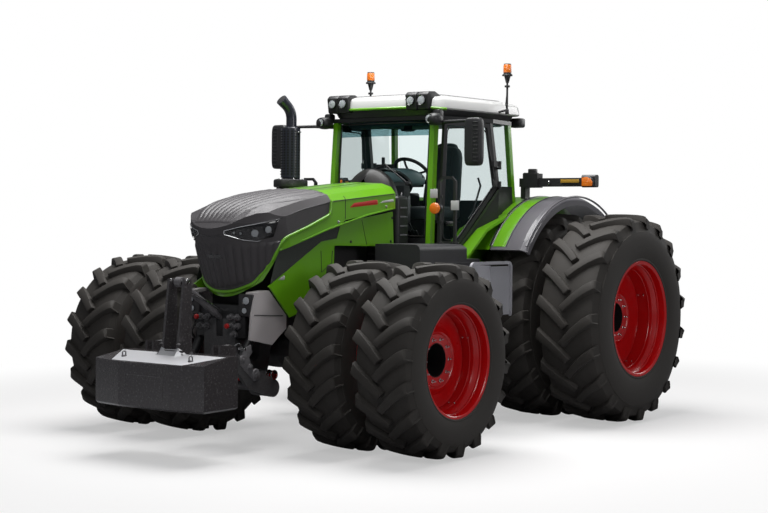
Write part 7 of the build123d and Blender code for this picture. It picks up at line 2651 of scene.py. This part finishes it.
# ---------------------------------------------------------------- linkages and underside
@dataclass
class FrontLinkage:
    """The ballast block, the lower arms, top link, cylinders, pins and hoses."""

    arm_y: float = 0.400
    cylinder_y: float = 0.300

    def build(self) -> None:
        """Finishes the CAD pieces and adds their fittings."""
        dress(BALLAST, "front_weight")
        dress(CAST_GREY, "front_frame", "front_arms")
        dress(BLACK_METAL, "front_cylinder_barrels")
        dress(CHROME, "front_cylinder_rods")
        dress(LINK_GREY, "front_top_link")
        self._block()
        self._arms()
        self._cylinders()
        self._top_link()

    def _block(self) -> None:
        """The pale sheet on the top that paints its highlight, the blank embossed frame, lifting
        eyes and bolts of the ballast.
        """
        skin = Skin("front_weight")
        low, high = span("front_weight")
        # A pale sheet laid on the top paints the bright highlight there.
        top = Shape()
        top.laid(skin, between([at(high.x - 0.36, -0.62, 3), at(high.x - 0.36, 0.62, 3)],
                               [at(high.x - 0.03, -0.42, 3),
                                at(high.x - 0.03, 0.42, 3)]), DOWN, 24, 8,
                 lambda u, v: 0.0015)
        top.piece("ballast_top", BALLAST_TOP_PAINTED_HIGHLIGHT, body="ballast")
        emboss, bolts = Shape(), Shape()
        frame_line = [(-0.30, 0.555), (0.30, 0.555), (0.30, 0.735), (-0.30, 0.735)]
        rays = [at(high.x + 1, y * 0.75, z) for y, z in frame_line]
        for start, end in zip(rays, rays[1:] + rays[:1]):
            spots = skin.line([start.lerp(end, step / 8) for step in range(9)], BACKWARDS, -0.001)
            emboss.tube(spots, 0.0045, THIN)
        emboss.piece("ballast_emboss", BALLAST, body="ballast")
        for y in (0.40, -0.40):
            spot, _ = skin.hit(at(high.x - 0.16, y, 3.0), DOWN)
            bolts.rod(spot - by(0, 0, 0.01), spot + by(0, 0, 0.010), 0.024, sides=28)
            eye = [spot + by(x, 0, z) for x,
                   z in ((-0.02, 0), (-0.02, 0.045), (0.02, 0.045), (0.02, 0))]
            bolts.tube(round_path(eye, 0.02), 0.006)
        for y in (-0.135, -0.10, 0.10, 0.135):
            for x in (0.10, 0.24, 0.36):
                found = skin.hit(at(low.x + x, y, 3.0), DOWN)
                if found and found[0].z < 1.05:
                    bolts.bolts([found[0]], UP, 0.014, 0.013)
        bolts.piece("ballast_bolts", LINK_GREY, body="ballast")

    def _arms(self) -> None:
        """Collars, cast bosses and hook latches on the lower arms."""
        low, high = span("front_arms")
        pins = Shape()
        x, z = low.x + 0.085, low.z + 0.20
        for y in (self.arm_y - 0.036, self.arm_y + 0.026):
            pins.rod(at(x, y, z), at(x, y + 0.012, z), 0.045, sides=28)
        pins.both_sides().piece("arm_collars", BRIGHT, body="lower_arms")
        bosses = Shape()
        outer = self.arm_y + 0.016
        for x, z, radius in ((4.12, 0.700, 0.055), (4.20, 0.770, 0.036), (4.30, 0.845, 0.040)):
            bosses.rod(at(x, outer, z), at(x, outer + 0.022, z), radius, radius * DRAFT, sides=32,
                       bevel=0.005)
            bosses.rod(at(x, outer, z), at(x, outer + 0.030, z), radius * 0.45, sides=24)
        bosses.plate([at(4.33, outer, 0.80), at(4.27, outer, 0.94), at(4.19, outer, 0.97),
                      at(4.17, outer, 0.90), at(4.21, outer, 0.86), at(4.16, outer, 0.74),
                      at(4.08, outer, 0.66), at(4.14, outer, 0.64)],
                     (0, 0.016, 0), 0.005, 2)
        bosses.both_sides().piece("arm_castings", LINK_GREY, body="lower_arms")
        latch = Shape()
        tip = at(high.x - 0.07, self.arm_y, high.z - 0.02)
        latch.tube(round_path([tip + by(-0.16, 0.030, -0.03), tip + by(-0.08, 0.034, 0.03),
                               tip + by(-0.02, 0.030, 0.0)], 0.04), 0.008, 10)
        latch.rod(tip + by(-0.16, -0.034, -0.03), tip + by(-0.16, 0.040, -0.03), 0.013, sides=20)
        latch.both_sides().piece("arm_latches", BRIGHT, body="lower_arms")

    def _cylinders(self) -> None:
        """Hoses of the two lift cylinders."""
        low, high = span("front_cylinder_barrels")
        hoses = Shape()
        top = at(low.x + 0.05, self.cylinder_y + 0.055, high.z - 0.05)
        hoses.tube(round_path([top, top + by(0.05, 0.02, 0.05), top + by(0.0, 0.0, 0.14),
                               at(low.x - 0.10, 0.26, high.z + 0.06)], 0.05), 0.011, 10)
        hoses.tube(round_path([top + by(0.06, 0.0, -0.10), top + by(0.10, 0.02, -0.03),
                               top + by(0.04, -0.01, 0.08),
                               at(low.x - 0.10, 0.24, high.z + 0.02)], 0.05),
                   0.010, 10)
        hoses.both_sides().piece("cylinder_hoses", HOSE)

    def _top_link(self) -> None:
        """Pins with heads and rings at both ends of the top link."""
        low, high = span("front_top_link")
        pins = Shape()
        for x, z, half in ((high.x - 0.035, high.z - 0.035, 0.105),
                           (low.x + 0.04, low.z + 0.04, 0.075)):
            pins.rod(at(x, -half, z), at(x, half, z), 0.015, sides=24)
            pins.rod(at(x, half - 0.012, z), at(x, half, z), 0.026, sides=28)
            pins.rod(at(x, -half, z), at(x, -half + 0.012, z), 0.024, sides=28)
        pins.piece("top_link_pins", BRIGHT, body="top_link")
        handle = Shape()
        start, end = at(high.x - 0.09, 0.0, high.z - 0.12), at(low.x + 0.12, 0.0, low.z + 0.15)
        handle.tube([start + by(0, 0.045, 0), end + by(0, 0.045, 0)], 0.007, THIN)
        handle.piece("top_link_handle", BRIGHT, body="top_link")


@dataclass
class RearLinkage:
    """The hitch, its shaft hood and couplings, and a sleeve for the lift rods."""

    block_z: float = 1.50
    hood_z: float = 0.76
    hood_half: float = 0.13
    hood_rise: float = 0.10

    def build(self) -> None:
        """Finishes the CAD pieces and adds their fittings."""
        dress(BLACK_METAL, "rear_lift_arms", "rear_lift_rods", "rear_links")
        dress(DARK_CAST, "lift_housing", "hitch")
        self._couplings()
        self._guard()
        self._links()

    def _couplings(self) -> None:
        """A block of hydraulic couplings with coloured caps and an electric socket."""
        skin = Skin("lift_housing", "transmission_housing", "cab_bulkheads")
        wall, _ = skin.hit(at(-3, 0.0, 1.52), FORWARDS)
        back = wall.x - REAR_AXLE_X
        block, taps, caps = Shape(), Shape(), Shape()
        block.box(at(back - 0.045, 0.0, self.block_z), (0.10, 0.46, 0.20), 0.012)
        for index in range(8):
            y, z = -0.18 + 0.12 * (index % 4), self.block_z + 0.05 - 0.10 * (index // 4)
            face = at(back - 0.095, y, z)
            taps.rod(face, face - by(0.035, 0, 0), 0.027, sides=24)
            taps.rod(face, face - by(0.055, 0, 0), 0.017, sides=20)
            caps.rod(face - by(0.055, 0, 0), face - by(0.075, 0, 0), 0.024, 0.021, sides=24)
        block.piece("coupling_block", DARK_CAST)
        taps.piece("coupling_taps", BRIGHT)
        caps.piece("coupling_caps", RED_CAP)

    def _guard(self) -> None:
        """The hood over the drive shaft."""
        low, _ = span("hitch")
        hood = Shape()

        def rule(u: float, v: float) -> Vector:
            """An arch over the shaft.

            Args:
                u: The share over the arch.
                v: The share along it.

            Returns:
                The place in the frame.
            """
            angle = math.pi * u
            return at(low.x + 0.34 + 0.20 * v, self.hood_half * math.cos(angle),
                      self.hood_z + self.hood_rise * math.sin(angle))

        hood.surface(rule, 24, 6, 0.008)
        hood.piece("shaft_hood", BLACK)

    def _links(self) -> None:
        """A bright sleeve that moves with the lift rods."""
        _, high = span("rear_lift_rods")
        foot = at(high.x - 0.06, 0, high.z - 0.20)
        sleeves = Shape()
        sleeves.rod(foot, foot + by(0, 0, 0.05), 0.02)
        sleeves.both_sides().piece("lift_rod_sleeves", BRIGHT, body="hitch_rods")


@dataclass
class Underside:
    """Gearbox bolts, side pipes and drain plugs."""

    flange_z: tuple[float, float] = (0.80, 1.28)
    sump_y: float = 0.20

    def build(self) -> None:
        """Finishes the castings and adds what is seen from below."""
        dress(DARK_CAST, "engine_block", "transmission_housing", "front_axle", "rear_axle",
              "knuckle_left", "knuckle_right")
        bolts = Shape()
        skin = Skin("transmission_housing")
        for step in range(9):
            for z in self.flange_z:
                for spot in skin.line([at(0.15 + 0.16 * step, 2, z)], INWARDS, 0.0):
                    bolts.bolts([spot], (0, 1, 0), 0.016, 0.014)
        for step in range(6):
            for y in (-self.sump_y, self.sump_y):
                for spot in skin.line([at(0.2 + 0.22 * step, y, -1)], UP, 0.0):
                    bolts.bolts([spot], DOWN, 0.016, 0.014)
        bolts.both_sides().piece("gearbox_bolts", BRIGHT)
        pipes = Shape()
        block = Skin("engine_block", "transmission_housing", "front_frame")
        for z, radius in ((1.05, 0.012), (1.09, 0.009)):
            spots = block.line([at(1.2 + 0.1 * step, 2, z + 0.02 * math.sin(step))
                                for step in range(16)],
                               INWARDS, 0.018)
            pipes.tube(round_path(spots, 0.05, 3), radius, THIN)
        pipes.both_sides().piece("side_pipes", HOSE)
        plug = Shape()
        for spot in block.line([at(2.9, 0, -1), at(0.9, 0.1, -1)], UP, 0.0):
            plug.rod(spot, spot - by(0, 0, 0.02), 0.024, sides=6)
        plug.piece("drain_plugs", BRIGHT)


# ---------------------------------------------------------------- assembly
def main() -> None:
    """Builds the stage, then every sub-assembly in turn."""
    logging.basicConfig(level=logging.INFO, format="%(message)s")
    Stage().build()
    for axle in Axle:
        for side in Side:
            TwinTyres(axle, side).build()
            TwinRims(axle, side).build()
    Bonnet().build()
    EngineSides().build()
    Cowl().build()
    Exhaust().build()
    Cab().build()
    CabInside().build()
    Mudguards().build()
    TanksAndSteps().build()
    FrontLinkage().build()
    RearLinkage().build()
    Underside().build()
    log.info("done")


if __name__ == "__main__":
    main()
